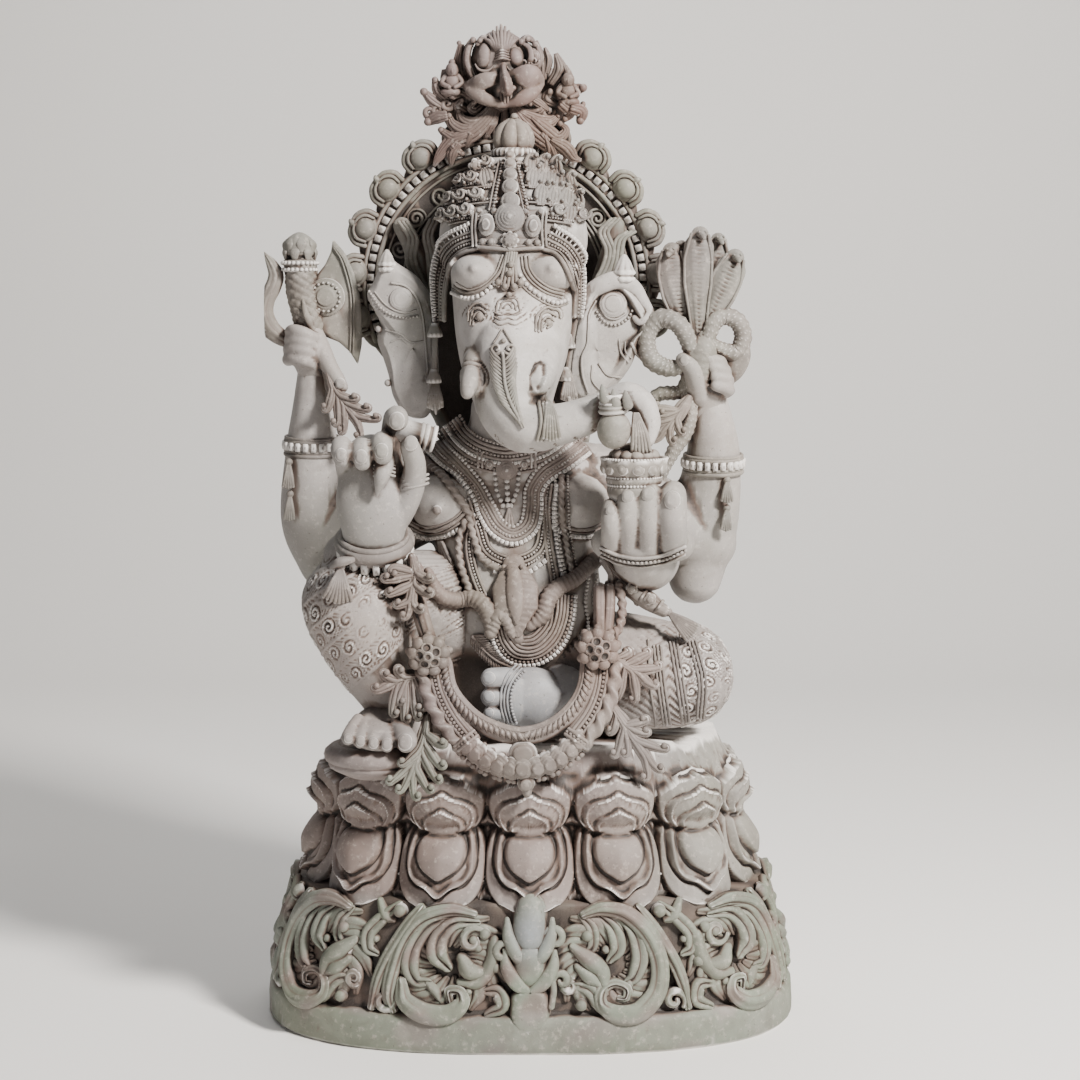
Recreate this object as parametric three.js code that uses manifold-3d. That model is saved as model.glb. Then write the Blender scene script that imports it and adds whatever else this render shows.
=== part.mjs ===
// A seated elephant-headed figure carved from one block of soapstone: an oval scrolled plinth, a double lotus,
// the four-armed figure with its axe, serpent, tusk and bowl of sweets, and an arched back with a lion mask.
// Millimetres, +Z up, the figure faces -Y and the viewer's right is +X. The origin is the middle of the underside.
import * as THREE from "three";
import { mergeVertices } from "three/addons/utils/BufferGeometryUtils.js";
import Module from "manifold-3d";

// Driving dimensions
const BASE_HALF_WIDTH = 324;
const BASE_HALF_DEPTH = 200;
const FRIEZE_FOOT = { a: 312, b: 188 }; // half width and half depth of the scrolled wall at its foot
const FRIEZE_HEAD = { a: 284, b: 168 };
const BASE_SQUARENESS = 2.6; // exponent of the oval plan: 2 is an ellipse, more is squarer
const BAND_TOP = 46; // plain band under the scrolls
const FRIEZE_TOP = 172;
const LOTUS_TOP = 322;
const SEAT_TOP = 350;
const PETALS = 14;
const SCROLLS = 3; // scrolls on each side of the stem
const SCROLL_RADIUS = 60;
const SCROLL_PITCH = 158;
const STEM_HALF = 14; // half the width of wall left for the stem of buds
const AXIS_X = -20; // the figure's own axis stands a little left of the plinth's middle
const ARCH_CENTRE = [-29, 105, 889];
const ARCH_RADIUS = 178; // to the middle of the arch's petals
const ARCH_PETALS = 13;
const STONE = 0xb5aaa4;

const wasm = await Module();
wasm.setup();

const vec = (p) => new THREE.Vector3(...p);
const mix = (a, b, t) => a + (b - a) * t;
const parts = [];

// A closed three.js geometry as a solid, with doubled vertices and empty triangles taken out.
function solidOf(geometry) {
  const g = geometry.index ? geometry.toNonIndexed() : geometry;
  for (const name of ["normal", "uv"]) g.deleteAttribute(name);
  const merged = mergeVertices(g, 1e-3);
  const index = merged.index.array;
  const kept = [];
  for (let i = 0; i < index.length; i += 3) {
    const [a, b, c] = [index[i], index[i + 1], index[i + 2]];
    if (a !== b && b !== c && c !== a) kept.push(a, b, c);
  }
  const mesh = new wasm.Mesh({
    numProp: 3,
    vertProperties: merged.attributes.position.array,
    triVerts: new Uint32Array(kept),
  });
  const made = new wasm.Manifold(mesh);
  if (made.volume() > 0) return made;
  for (let i = 0; i < kept.length; i += 3) [kept[i], kept[i + 1]] = [kept[i + 1], kept[i]];
  return new wasm.Manifold(
    new wasm.Mesh({ numProp: 3, vertProperties: mesh.vertProperties, triVerts: new Uint32Array(kept) }),
  );
}

const add = (geometry) => parts.push(solidOf(geometry));

// Moves every vertex of a geometry by a function of its own place.
function warp(geometry, move) {
  const at = geometry.attributes.position;
  for (let i = 0; i < at.count; i++) at.setXYZ(i, ...move(at.getX(i), at.getY(i), at.getZ(i)));
  return geometry;
}

// A value along a list, smoothly between its entries.
function along(list, t) {
  const f = Math.min(Math.max(t, 0), 1) * (list.length - 1);
  const i = Math.min(Math.floor(f), list.length - 2);
  return mix(list[i], list[i + 1], f - i);
}

// A bent cylinder: a section of radii along a smooth curve. flat squeezes the section towards the side named by up.
function tube(points, radii, { sides = 7, steps = 8, flat = 1, up = [0, 0, 1] } = {}) {
  const curve = new THREE.CatmullRomCurve3(points.map(vec));
  const reference = vec(up);
  return warp(new THREE.CylinderGeometry(1, 1, 1, sides, steps), (x, y, z) => {
    const t = 0.5 - y;
    const forward = curve.getTangent(t);
    const side = new THREE.Vector3().crossVectors(forward, reference).normalize();
    const over = new THREE.Vector3().crossVectors(side, forward);
    const r = along(radii, t);
    return curve
      .getPoint(t)
      .addScaledVector(side, x * r)
      .addScaledVector(over, z * r * flat)
      .toArray();
  });
}

const ball = (centre, [rx, ry, rz], turn = [0, 0, 0], wide = 8, high = 6) =>
  new THREE.SphereGeometry(1, wide, high)
    .rotateX(Math.PI / 2)
    .scale(rx, ry, rz)
    .applyMatrix4(new THREE.Matrix4().makeRotationFromEuler(new THREE.Euler(...turn)))
    .translate(...centre);

// A turned form: [radius, height] pairs from axis to axis, standing on centre, leaning by turn.
const turned = (profile, centre, { sides = 10, turn = [0, 0, 0] } = {}) =>
  new THREE.LatheGeometry(profile.map(([r, z]) => new THREE.Vector2(r, z)), sides)
    .rotateX(Math.PI / 2)
    .applyMatrix4(new THREE.Matrix4().makeRotationFromEuler(new THREE.Euler(...turn)))
    .translate(...centre);

// A flat plate with an outline drawn in x and z, its thickness running back along +Y from y.
function plate(outline, y, thickness, curved = true) {
  const shape = new THREE.Shape();
  shape.moveTo(...outline[0]);
  if (curved) shape.splineThru([...outline.slice(1), outline[0]].map((p) => new THREE.Vector2(...p)));
  else outline.slice(1).forEach((p) => shape.lineTo(...p));
  const options = { depth: thickness, bevelEnabled: false, curveSegments: outline.length * 2 };
  return new THREE.ExtrudeGeometry(shape, options).rotateX(Math.PI / 2).translate(0, y + thickness, 0);
}

// The oval plan: the point of a superellipse at an angle measured from the front.
function oval(a, b, angle) {
  const power = 2 / BASE_SQUARENESS;
  const wave = (v) => Math.sign(v) * Math.abs(v) ** power;
  return [a * wave(Math.sin(angle)), -b * wave(Math.cos(angle))];
}

// The same oval walked by length: share 0 is the front middle, 1 is once round.
const OVAL_SAMPLES = 720;
function ovalWalk(a, b) {
  const points = [];
  const lengths = [0];
  for (let i = 0; i <= OVAL_SAMPLES; i++) {
    points.push(oval(a, b, (i / OVAL_SAMPLES) * 2 * Math.PI));
    if (i) lengths.push(lengths[i - 1] + Math.hypot(points[i][0] - points[i - 1][0], points[i][1] - points[i - 1][1]));
  }
  const total = lengths[OVAL_SAMPLES];
  return {
    total,
    at(share) {
      const wanted = (((share % 1) + 1) % 1) * total;
      const i = Math.min(lengths.findIndex((l) => l >= wanted) || 1, OVAL_SAMPLES);
      const t = (wanted - lengths[i - 1]) / (lengths[i] - lengths[i - 1]);
      return [mix(points[i - 1][0], points[i][0], t), mix(points[i - 1][1], points[i][1], t)];
    },
  };
}

// A closed skin of rings from the floor up: place gives the point for a column and a row.
const skin = (columns, rows, place) =>
  warp(new THREE.CylinderGeometry(1, 1, 1, columns, rows - 1), (x, y, z) => {
    const row = Math.round((y + 0.5) * (rows - 1));
    if (Math.hypot(x, z) < 1e-6) return [0, 0, place(0, row)[2]];
    const column = Math.round((Math.atan2(x, z) / (2 * Math.PI)) * columns + columns) % columns;
    return place(column, row);
  });

// A pointed lobe with its root at -Z and its tip at +Z, domed towards +Y; curl lifts the tip.
const lobe = (width, length, depth, curl = 0, wide = 6, high = 4) =>
  warp(new THREE.SphereGeometry(1, wide, high).rotateX(Math.PI / 2), (x, y, z) => [
    (x * width * (1 + 0.25 * z)) / 2,
    (y * depth) / 2 + curl * Math.max(z, 0) ** 2,
    (z * length) / 2,
  ]);

// Stands a geometry at a place with its +Z along direction and its +Y as near outward as it can be.
function stand(geometry, place, direction, outward) {
  const z = vec(direction).normalize();
  const x = new THREE.Vector3().crossVectors(vec(outward), z).normalize();
  const y = new THREE.Vector3().crossVectors(z, x);
  return geometry.applyMatrix4(new THREE.Matrix4().makeBasis(x, y, z).setPosition(...place));
}

// Fingers or toes side by side: a block whose front edge is scalloped into count round lobes.
function digits(width, depth, height, count, steps = 2) {
  const shape = new THREE.Shape();
  shape.moveTo(-width / 2, depth * 0.5);
  for (let i = 0; i < count; i++) {
    const left = -width / 2 + (width * i) / count;
    const step = width / count;
    shape.lineTo(left + step * 0.14, -depth * (i ? 0.12 : 0.2));
    shape.lineTo(left + step * 0.3, -depth * 0.5);
    shape.lineTo(left + step * 0.7, -depth * 0.5);
  }
  shape.lineTo(width / 2, -depth * 0.15);
  shape.lineTo(width / 2, depth * 0.5);
  return new THREE.ExtrudeGeometry(shape, { depth: height, bevelEnabled: false, steps });
}

// Scrolled plinth: a skin of rings. Each scroll is a patch of the wall whose grid is drawn round into rings, with a
// boss, a groove and a curling ridge; a stem of buds stands between the first pair. The back of the wall is plain.
const SCROLL_STEPS = 8; // columns of one scroll's patch
const FRIEZE_ROWS = 7;
const RINGS = [0, 0.3, 0.62, 1]; // the scroll's rings, as shares of its radius
const BACK_STEPS = 2; // plain columns on each side of the back's middle
const PLINTH_COLUMNS = 2 * (1 + SCROLLS * SCROLL_STEPS + BACK_STEPS);

// Where a grid point of the frieze goes: a length along the wall, a height share from -1 to 1, and how far out.
function friezePoint(column, row, total) {
  const level = row - (FRIEZE_ROWS - 1) / 2;
  const side = column <= PLINTH_COLUMNS / 2 ? 1 : -1;
  const steps = side > 0 ? column : PLINTH_COLUMNS - column;
  const end = STEM_HALF + SCROLLS * SCROLL_PITCH;
  if (steps === 0) return { walked: 0, up: level / 3, out: [8, 12, 6, 17, 8, 20, 12][row] };
  const inside = steps - 1;
  if (inside > SCROLLS * SCROLL_STEPS)
    return { walked: side * mix(end, total / 2, (inside - SCROLLS * SCROLL_STEPS) / BACK_STEPS), up: level / 3, out: 4 };
  const index = Math.min(Math.floor(inside / SCROLL_STEPS), SCROLLS - 1);
  const step = inside - index * SCROLL_STEPS - SCROLL_STEPS / 2;
  const centre = STEM_HALF + SCROLL_PITCH * (index + 0.5);
  if (Math.abs(step) === SCROLL_STEPS / 2)
    return { walked: side * (centre + (step / SCROLL_STEPS) * SCROLL_PITCH), up: level / 3, out: [9, 4, -6, -8, -6, 4, 7][row] };
  const ring = Math.max(Math.abs(step), Math.abs(level));
  const angle = Math.atan2(level, step);
  const curl = Math.atan2(level, index % 2 ? -step : step);
  const opening = curl > -1.9 && curl < -0.5;
  const out = [4, 12, opening ? 10 : -9, opening ? 2 : 14][ring];
  const walked = centre + SCROLL_RADIUS * RINGS[ring] * Math.cos(angle);
  return { walked: side * walked, up: Math.sin(angle) * RINGS[ring], out };
}

const outward = ([x, y], z, out) => {
  const away = 1 + out / Math.hypot(x, y);
  return [x * away, y * away, z];
};

function plinth() {
  const foot = ovalWalk(FRIEZE_FOOT.a, FRIEZE_FOOT.b);
  const head = ovalWalk(FRIEZE_HEAD.a, FRIEZE_HEAD.b);
  const band = ovalWalk(BASE_HALF_WIDTH, BASE_HALF_DEPTH);
  add(
    skin(PLINTH_COLUMNS, FRIEZE_ROWS + 2, (column, row) => {
      const { walked, up, out } = friezePoint(column, Math.max(row - 2, 0), foot.total);
      const share = walked / foot.total;
      if (row < 2) return outward(band.at(share), row ? BAND_TOP - 4 : 0, 0);
      const t = (up + 1) / 2;
      const [fx, fy] = foot.at(share);
      const [hx, hy] = head.at(share);
      return outward([mix(fx, hx, t), mix(fy, hy, t)], mix(BAND_TOP + 4, FRIEZE_TOP, t), row === 2 ? out / 2 : out);
    }),
  );
}

// Double lotus and seat: petals hang below the waist and stand above it, in full on the front and sides, with
// fewer facets behind. Each row of the skin is an oval with a height and an outward shift at four places across a
// petal: its middle, a third, two thirds and the joint with the next.
const LOTUS_ROWS = [
  [246, 140, [168, 168, 168, 168], [0, 0, 0, 0]],
  [262, 158, [179, 184, 200, 196], [6, 3, 0, -12]],
  [262, 158, [200, 202, 212, 212], [3, 1, -3, -15]],
  [258, 154, [228, 228, 230, 232], [7, 5, 0, -13]],
  [246, 142, [256, 256, 257, 258], [0, 0, -1, -4]],
  [250, 146, [276, 276, 276, 276], [8, 6, 0, -9]],
  [250, 148, [318, 314, 302, 290], [2, 2, 1, -7]],
  [242, 136, [324, 324, 324, 324], [0, 0, 0, 0]],
  [230, 126, [350, 350, 350, 350], [0, 0, 0, 0]],
];
const PETAL_STEPS = 6; // columns of one petal on the front and sides
const FULL_PETALS = PETALS / 2; // petals with all their columns; the rest have two columns each

function lotus() {
  const half = (FULL_PETALS * PETAL_STEPS) / 2;
  const columns = 2 * half + 2 * (PETALS - FULL_PETALS);
  const walks = LOTUS_ROWS.map(([a, b]) => ovalWalk(a, b));
  const place = (column, row) => {
    const steps = column <= columns / 2 ? column : columns - column;
    const petals = steps <= half ? steps / PETAL_STEPS : FULL_PETALS / 2 + (steps - half) / 2;
    const across = Math.round(Math.abs(petals - Math.round(petals)) * 6);
    const [, , heights, shifts] = LOTUS_ROWS[row];
    const share = (column <= columns / 2 ? 1 : -1) * (petals / PETALS);
    return outward(walks[row].at(share), heights[across], shifts[across]);
  };
  add(skin(columns, LOTUS_ROWS.length, place));
}

// Body, head and crown: one loft of ellipses, with breasts, brow, trunk and tusks added
const TRUNK_OF_BODY = [
  // height, half width, half depth, forward, sideways
  [SEAT_TOP - 8, 118, 84, 0, 8],
  [405, 112, 86, -8, 8],
  [455, 99, 92, -16, 8],
  [505, 101, 96, -18, 8],
  [555, 92, 82, -10, 8],
  [605, 98, 68, 2, 8],
  [650, 114, 64, 10, 6],
  [676, 98, 66, 2, 2],
  [704, 66, 64, -8, 0],
  [722, 54, 58, -14, 0],
  [752, 52, 66, -26, -2],
  [790, 69, 74, -26, -2],
  [830, 80, 76, -20, -2],
  [900, 88, 80, -8, 0],
  [934, 100, 84, 6, 0],
  [972, 95, 80, 8, 0],
  [1010, 70, 62, 10, 0],
  [1046, 26, 24, 10, 0],
];
const SIDES = 10;

function body() {
  const rows = TRUNK_OF_BODY.length;
  add(
    warp(new THREE.CylinderGeometry(1, 1, 1, SIDES, rows - 1), (x, y, z) => {
      const [height, a, b, forward, sideways] = TRUNK_OF_BODY[Math.round((y + 0.5) * (rows - 1))];
      return [AXIS_X + sideways + x * a, forward - z * b, height];
    }),
  );
  for (const side of [-1, 1]) {
    add(ball([AXIS_X + 8 + side * 58, -44, 622], [40, 32, 32], [0, 0, 0], 6, 4));
    add(ball([AXIS_X + side * 40, -68, 903], [33, 28, 26], [0, 0, 0], 6, 4));
  }
  const trunk = [
    [-20, -62, 886],
    [-20, -98, 834],
    [-20, -124, 786],
    [-16, -146, 748],
    [8, -154, 726],
    [52, -148, 728],
    [94, -136, 746],
    [126, -138, 772],
    [152, -146, 752],
    [150, -156, 722],
    [124, -162, 706],
  ];
  add(tube(trunk, [28, 38, 37, 35, 31, 28, 25, 22, 21, 20, 14], { sides: 6, steps: 12, up: [0.1, 1, 0.1] }));
  add(tube([[-64, -84, 802], [-72, -118, 784], [-74, -140, 764]], [16, 17, 9], { sides: 5, steps: 2 }));
  add(tube([[20, -84, 802], [14, -108, 790], [10, -124, 784]], [18, 17, 15], { sides: 5, steps: 1 }));
}

function ears() {
  add(
    plate(
      [[-96, 905], [-150, 928], [-178, 904], [-197, 868], [-183, 836], [-181, 800], [-160, 764], [-136, 738], [-104, 760], [-80, 830]],
      -6,
      30,
      false,
    ),
  );
  add(
    plate(
      [[50, 890], [90, 900], [116, 906], [140, 880], [150, 848], [136, 820], [126, 786], [106, 762], [78, 750], [44, 790]],
      -6,
      30,
      false,
    ),
  );
}

// Legs: one knee raised with its foot forward, the other folded flat with its foot in the lap
function legs() {
  add(tube([[-50, 0, 450], [-120, -40, 500], [-200, -86, 520]], [72, 70, 50], { sides: 6, steps: 2 }));
  add(
    tube([[-214, -90, 570], [-208, -92, 528], [-188, -92, 470], [-160, -84, 400], [-156, -78, 360]], [30, 63, 56, 38, 33], {
      sides: 8,
      steps: 5,
      up: [0, 1, 0],
    }),
  );
  add(tube([[-156, -60, 372], [-166, -110, 376], [-177, -148, 362]], [30, 40, 42], { sides: 6, steps: 2, flat: 0.62 }));
  add(digits(82, 44, 22, 5, 1).translate(-177, -158, 346));
  add(tube([[30, 0, 440], [110, -20, 460], [186, -44, 428]], [78, 74, 52], { sides: 7, steps: 2 }));
  add(ball([188, -44, 420], [54, 62, 62], [0, 0.3, 0], 8, 5));
  add(tube([[190, -60, 404], [120, -102, 402], [30, -120, 402]], [50, 44, 36], { sides: 7, steps: 2 }));
  add(ball([14, -124, 408], [54, 26, 34], [0, 0, 0], 7, 4));
  add(digits(64, 30, 26, 3, 1).rotateX(-Math.PI / 2).rotateY(-Math.PI / 2).translate(-36, -116, 410));
  add(turned([[0, 0], [60, 0], [64, 12], [52, 28], [0, 28]], [-170, -124, LOTUS_TOP - 6], { sides: 8 }));
}

const ring = (centre, radius, thick, lean = 0, sides = 7) =>
  turned([[0, -thick], [radius + 4, -thick], [radius + 4, thick], [0, thick]], centre, {
    sides,
    turn: [lean, 0, 0],
  });

// A single finger: a short tapering tube.
const finger = (points, r) => tube(points, [r, r, r * 0.6], { sides: 4, steps: 2, up: [0.3, 0.2, 1] });

// The two raised rear arms
function rearArms() {
  const bent = { sides: 6, steps: 2 };
  const raised = { sides: 6, steps: 3, up: [0, 1, 0] };
  add(tube([[-90, 30, 640], [-180, 42, 612], [-258, 56, 570]], [48, 46, 40], bent));
  add(tube([[-256, 58, 546], [-268, 50, 612], [-268, 42, 690], [-262, 30, 806]], [36, 38, 32, 20], raised));
  add(ring([-268, 42, 690], 34, 10, 0.1));
  add(tube([[90, 30, 640], [150, 44, 606], [216, 58, 572]], [50, 50, 42], bent));
  add(tube([[206, 62, 524], [218, 56, 606], [227, 44, 680], [212, 28, 786]], [34, 42, 33, 20], raised));
  add(ring([226, 46, 666], 35, 10, 0.1));
  // The hands: one on the axe with two fingers let down, one on the serpent
  add(digits(40, 34, 40, 2, 1).rotateY(0.4).translate(-268, 20, 794));
  add(finger([[-252, 12, 812], [-238, 8, 792], [-226, 8, 764]], 11));
  add(digits(44, 34, 34, 2, 1).rotateY(-0.6).translate(206, 16, 772));
}

// The two forward arms, the tusk and the bowl of sweets
function forwardArms() {
  const bent = { sides: 6, steps: 2 };
  add(tube([[-90, 10, 640], [-160, 0, 600], [-204, -24, 566]], [44, 40, 34], bent));
  add(tube([[-204, -12, 564], [-194, -80, 576], [-180, -124, 602]], [34, 36, 30], bent));
  add(ring([-181, -116, 590], 42, 13, 0.5, 8));
  add(tube([[-182, -122, 596], [-180, -138, 634], [-177, -138, 690]], [30, 46, 42], { flat: 0.5, sides: 7, steps: 2, up: [0, 1, 0] }));
  add(digits(66, 50, 30, 3, 1).rotateX(0.25).translate(-186, -148, 682));
  add(finger([[-152, -136, 690], [-150, -140, 722], [-150, -160, 738]], 14));
  add(finger([[-138, -134, 644], [-120, -146, 682], [-124, -154, 718]], 13));
  add(tube([[-164, -150, 710], [-98, -142, 718]], [15, 15], { sides: 6, steps: 1 }));

  add(tube([[90, 10, 640], [130, -10, 596], [142, -56, 568]], [46, 42, 36], bent));
  add(tube([[144, -36, 568], [132, -134, 574]], [38, 42], { sides: 6, steps: 1 }));
  add(ring([132, -130, 568], 46, 13, 0.2, 8));
  add(digits(88, 58, 74, 4, 1).rotateX(-0.04).translate(134, -142, 578));
  add(turned([[0, 606], [36, 606], [44, 640], [36, 656], [46, 672], [30, 694], [0, 694]], [128, -128, 0], { sides: 8 }));
}

// Crown ornament: a beaded brim over the brow, a beaded band, the front plate with its column of discs, a finial
function crown() {
  const brim = [];
  for (let i = 0; i <= 8; i++) {
    const angle = mix(-0.62, 0.62, i / 8) * Math.PI;
    brim.push([AXIS_X + 97 * Math.sin(angle), 2 - 84 * Math.cos(angle), 866 + 66 * Math.max(0, Math.cos(angle)) ** 0.7]);
  }
  add(tube(brim, [15, 15], { sides: 4, steps: 8 }));
  // Bosses round the cap
  for (const [reach, height, lean, r] of [
    [92, 974, 0.34, 21],
    [92, 968, 0.6, 20],
  ])
    for (const side of [-1, 1]) {
      const angle = side * lean * Math.PI;
      add(ball([AXIS_X + reach * Math.sin(angle), 8 - reach * 0.86 * Math.cos(angle), height], [r, r, r], [0, 0, 0], 6, 3));
    }
  add(plate([[-54, 934], [-46, 985], [-20, 1012], [6, 985], [14, 934]], -92, 30, false));
  add(ball([AXIS_X, -92, 962], [22, 12, 22], [0, 0, 0], 8, 3));
  add(tube([[AXIS_X, -84, 990], [AXIS_X, -58, 1022], [AXIS_X, -16, 1046]], [15, 10, 14, 9], { sides: 4, steps: 3, up: [1, 0, 0] }));
  add(turned([[0, 1036], [30, 1040], [33, 1050], [24, 1056], [28, 1066], [0, 1086]], [AXIS_X, 8, 0], { sides: 7 }));
}

// The arch behind the figure: a slab whose rim is scalloped into petals, with a raised inner band
function archBack() {
  const [cx, cy, cz] = ARCH_CENTRE;
  const reach = 0.64 * Math.PI; // the arch runs this far down each side from its top
  const around = (radius, share) => {
    const angle = mix(-reach, reach, share);
    return [cx + radius * Math.sin(angle), cz + radius * Math.cos(angle)];
  };
  const outline = [];
  for (let i = 0; i < ARCH_PETALS; i++)
    for (const [across, radius] of [
      [0, ARCH_RADIUS],
      [0.22, ARCH_RADIUS + 23],
      [0.78, ARCH_RADIUS + 23],
    ])
      outline.push(around(radius, (i + across) / ARCH_PETALS));
  outline.push(around(ARCH_RADIUS, 1), [70, 700], [86, SEAT_TOP - 4], [-116, SEAT_TOP - 4], [-110, 700]);
  add(plate(outline, cy - 50, 62, false));
  const band = Array.from({ length: 9 }, (_, i) => {
    const [x, z] = around(148, i / 8);
    return [x, cy - 46, z];
  });
  add(tube(band, [13, 13], { sides: 4, steps: 11, up: [0, 1, 0] }));
}

// A fan of leaves from one root, as a plate: aim is the middle leaf's direction, from +X towards +Z.
function spray([x, y, z], aim, length, count, spread, thickness = 16) {
  const outline = [];
  const point = (reach, angle) => outline.push([x + reach * Math.cos(angle), z + reach * Math.sin(angle)]);
  const half = spread / Math.max(count - 1, 1);
  point(length * 0.15, aim - Math.PI / 2);
  for (let i = 0; i < count; i++) {
    const angle = aim + mix(-spread, spread, i / (count - 1));
    const reach = length * (i % 2 ? 1 : 0.84);
    if (i) point(length * 0.5, angle - half);
    point(reach * 0.9, angle - half * 0.6);
    point(reach, angle + half * 0.2);
  }
  point(length * 0.15, aim + Math.PI / 2);
  add(plate(outline, y - thickness / 2, thickness, false));
}

// Lion mask on the top of the arch, with its crest, attendants and leaves
function lionMask() {
  const x = -31;
  const outline = [];
  for (let i = 0; i <= 12; i++) {
    const angle = mix(-0.68, 0.68, i / 12) * Math.PI;
    const side = Math.abs(angle) / Math.PI;
    const reach = mix(82, 104, Math.min(Math.max((side - 0.27) / 0.24, 0), 1)) - (i % 2 ? 9 : 0);
    outline.push([x + reach * Math.sin(angle), 1118 + reach * Math.cos(angle)]);
  }
  outline.push([x + 40, 1050], [x - 40, 1050]);
  add(plate(outline, 50, 40, false));
  add(ball([x, 54, 1134], [56, 32, 48], [0, 0, 0], 7, 4));
  for (const side of [-1, 1]) {
    add(ball([x + side * 34, 34, 1130], [36, 20, 18], [0, side * 0.4, 0], 6, 4));
    add(ball([x + side * 23, 32, 1162], [15, 16, 16], [0, 0, 0], 6, 3));
    add(ball([x + side * 84, 48, 1130], [18, 18, 28], [0, side * 0.3, 0], 4, 3));
    spray([x + side * 18, 46, 1108], -Math.PI / 2 + side * 0.8, 92, 3, 0.5, 20);
  }
  add(tube([[x, 32, 1160], [x, 18, 1130], [x, 32, 1104]], [8, 15, 12], { sides: 4, steps: 2, up: [1, 0, 0] }));
}

// Axe in the viewer's left rear hand: shaft with its bud, blade and hub on one side, horn on the other
function axe() {
  const x = -281;
  add(turned([[0, 822], [15, 826], [19, 850], [19, 912], [24, 920], [16, 928], [19, 938], [0, 950]], [x, 32, 0], { sides: 7 }));
  add(plate([[-264, 884], [-250, 906], [-240, 944], [-222, 916], [-208, 880], [-204, 840], [-219, 800], [-236, 834], [-264, 850]], 26, 14, false));
  add(ball([-246, 32, 870], [18, 14, 24], [0, 0, 0], 6, 4));
  add(tube([[-284, 32, 842], [-306, 32, 848], [-311, 32, 880], [-303, 32, 906], [-316, 32, 926]], [12, 12, 10, 8, 3], { sides: 4, steps: 4, up: [0, 1, 0] }));
}

// Five-headed serpent in the rear hand on +X: five necks fan out from one root, with two coils and a tail
function serpent() {
  const heads = [[172, 934], [191, 948], [211, 960], [232, 948], [253, 926]];
  heads.forEach(([x, z], i) => {
    const y = i % 2 ? 30 : 16;
    add(tube([[mix(206, x, 0.3), 24, 826], [x, y - 2, z]], [14, 20, 9], { sides: 5, steps: 2, flat: 0.6, up: [0, 1, 0] }));
  });
  const coil = (cx, cz, r, thick, y) => {
    const path = [];
    for (let i = 0; i <= 6; i++) path.push([cx + r * Math.cos((i / 6) * 2 * Math.PI), y + i, cz + r * Math.sin((i / 6) * 2 * Math.PI)]);
    add(tube(path, [thick, thick], { sides: 4, steps: 7, up: [0, 1, 0] }));
  };
  coil(177, 816, 24, 13, 4);
  coil(240, 828, 20, 12, 16);
  add(tube([[196, 12, 790], [172, 16, 756], [158, 20, 720], [140, 22, 672]], [13, 13], { sides: 4, steps: 3, up: [0, 1, 0] }));
}

// Necklaces, belt serpent, garland and the leaf sprays that hang between the limbs
function ornaments() {
  // A hanging loop between two heights: left and right ends, the depth of the ends and of the lowest point
  const loop = (left, right, top, bottom, y0, y1, radii, sides, steps) => {
    const path = [];
    for (let i = 0; i <= 6; i++) {
      const angle = (i / 6) * Math.PI;
      const t = Math.sin(angle);
      path.push([mix(left, right, (1 - Math.cos(angle)) / 2), mix(y0, y1, t), mix(top, bottom, t)]);
    }
    add(tube(path, radii, { sides, steps, up: [0, 1, 0.2] }));
  };
  const beads = (count, low, high) => Array.from({ length: count }, (_, i) => (i % 2 ? high : low));
  loop(-74, 46, 684, 572, -46, -92, [11, 11], 4, 8);
  // Belt serpent with its raised hood
  add(tube([[-104, -56, 556], [-72, -98, 516], [-30, -120, 504], [14, -120, 504], [50, -102, 530], [84, -62, 556]], [14, 15], { sides: 4, steps: 7, up: [0, 1, 0] }));
  add(stand(lobe(52, 100, 30, 8), [-12, -122, 520], [0, -0.1, 1], [0, -1, 0]));
    // Garland: an inner roll and an outer swag of flowers between two rosettes
  for (const place of [[-114, -152, 462], [80, -152, 464]]) add(ball(place, [26, 22, 26], [0, 0, 0], 6, 3));
  loop(-100, 66, 462, 379, -158, -172, [13, 13], 4, 8);
  loop(-126, 92, 452, 342, -156, -178, beads(17, 13, 21), 5, 16);
  add(ball([-8, -180, 320], [14, 12, 16], [0, 0, 0], 5, 3));
  // Cords that carry the garland up the thighs
  add(tube([[-112, -150, 470], [-118, -116, 520], [-128, -92, 566]], [15, 14], { sides: 4, steps: 2 }));
  add(tube([[80, -150, 470], [84, -112, 520], [92, -92, 560]], [17, 19], { sides: 4, steps: 2 }));
  const down = -Math.PI / 2;
  spray([-126, -152, 420], down - 0.12, 128, 3, 0.36);
  spray([98, -156, 420], down + 0.5, 112, 3, 0.5);
  spray([96, -104, 562], -0.42, 108, 3, 0.3, 24);
  spray([-128, -98, 590], down - 0.3, 90, 3, 0.5, 24);
  spray([-236, 16, 776], down + 0.75, 92, 3, 0.35, 20);
  spray([186, 22, 764], down - 0.35, 90, 3, 0.4, 20);
}

plinth();
lotus();
body();
ears();
legs();
rearArms();
forwardArms();
crown();
archBack();
lionMask();
axe();
serpent();
ornaments();

// One block: every form is joined into a single closed body.
const carved = parts.reduce((whole, part) => whole.add(part)).getMesh();
const geometry = new THREE.BufferGeometry();
geometry.setAttribute("position", new THREE.BufferAttribute(new Float32Array(carved.vertProperties), 3));
geometry.setIndex(new THREE.BufferAttribute(new Uint32Array(carved.triVerts), 1));
geometry.computeVertexNormals();

const stone = new THREE.MeshStandardMaterial({ color: STONE, roughness: 0.62, metalness: 0 });
const statue = new THREE.Mesh(geometry, stone);
statue.name = "ganesha_statue";

const model = new THREE.Group();
model.add(statue);
export default model;
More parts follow.
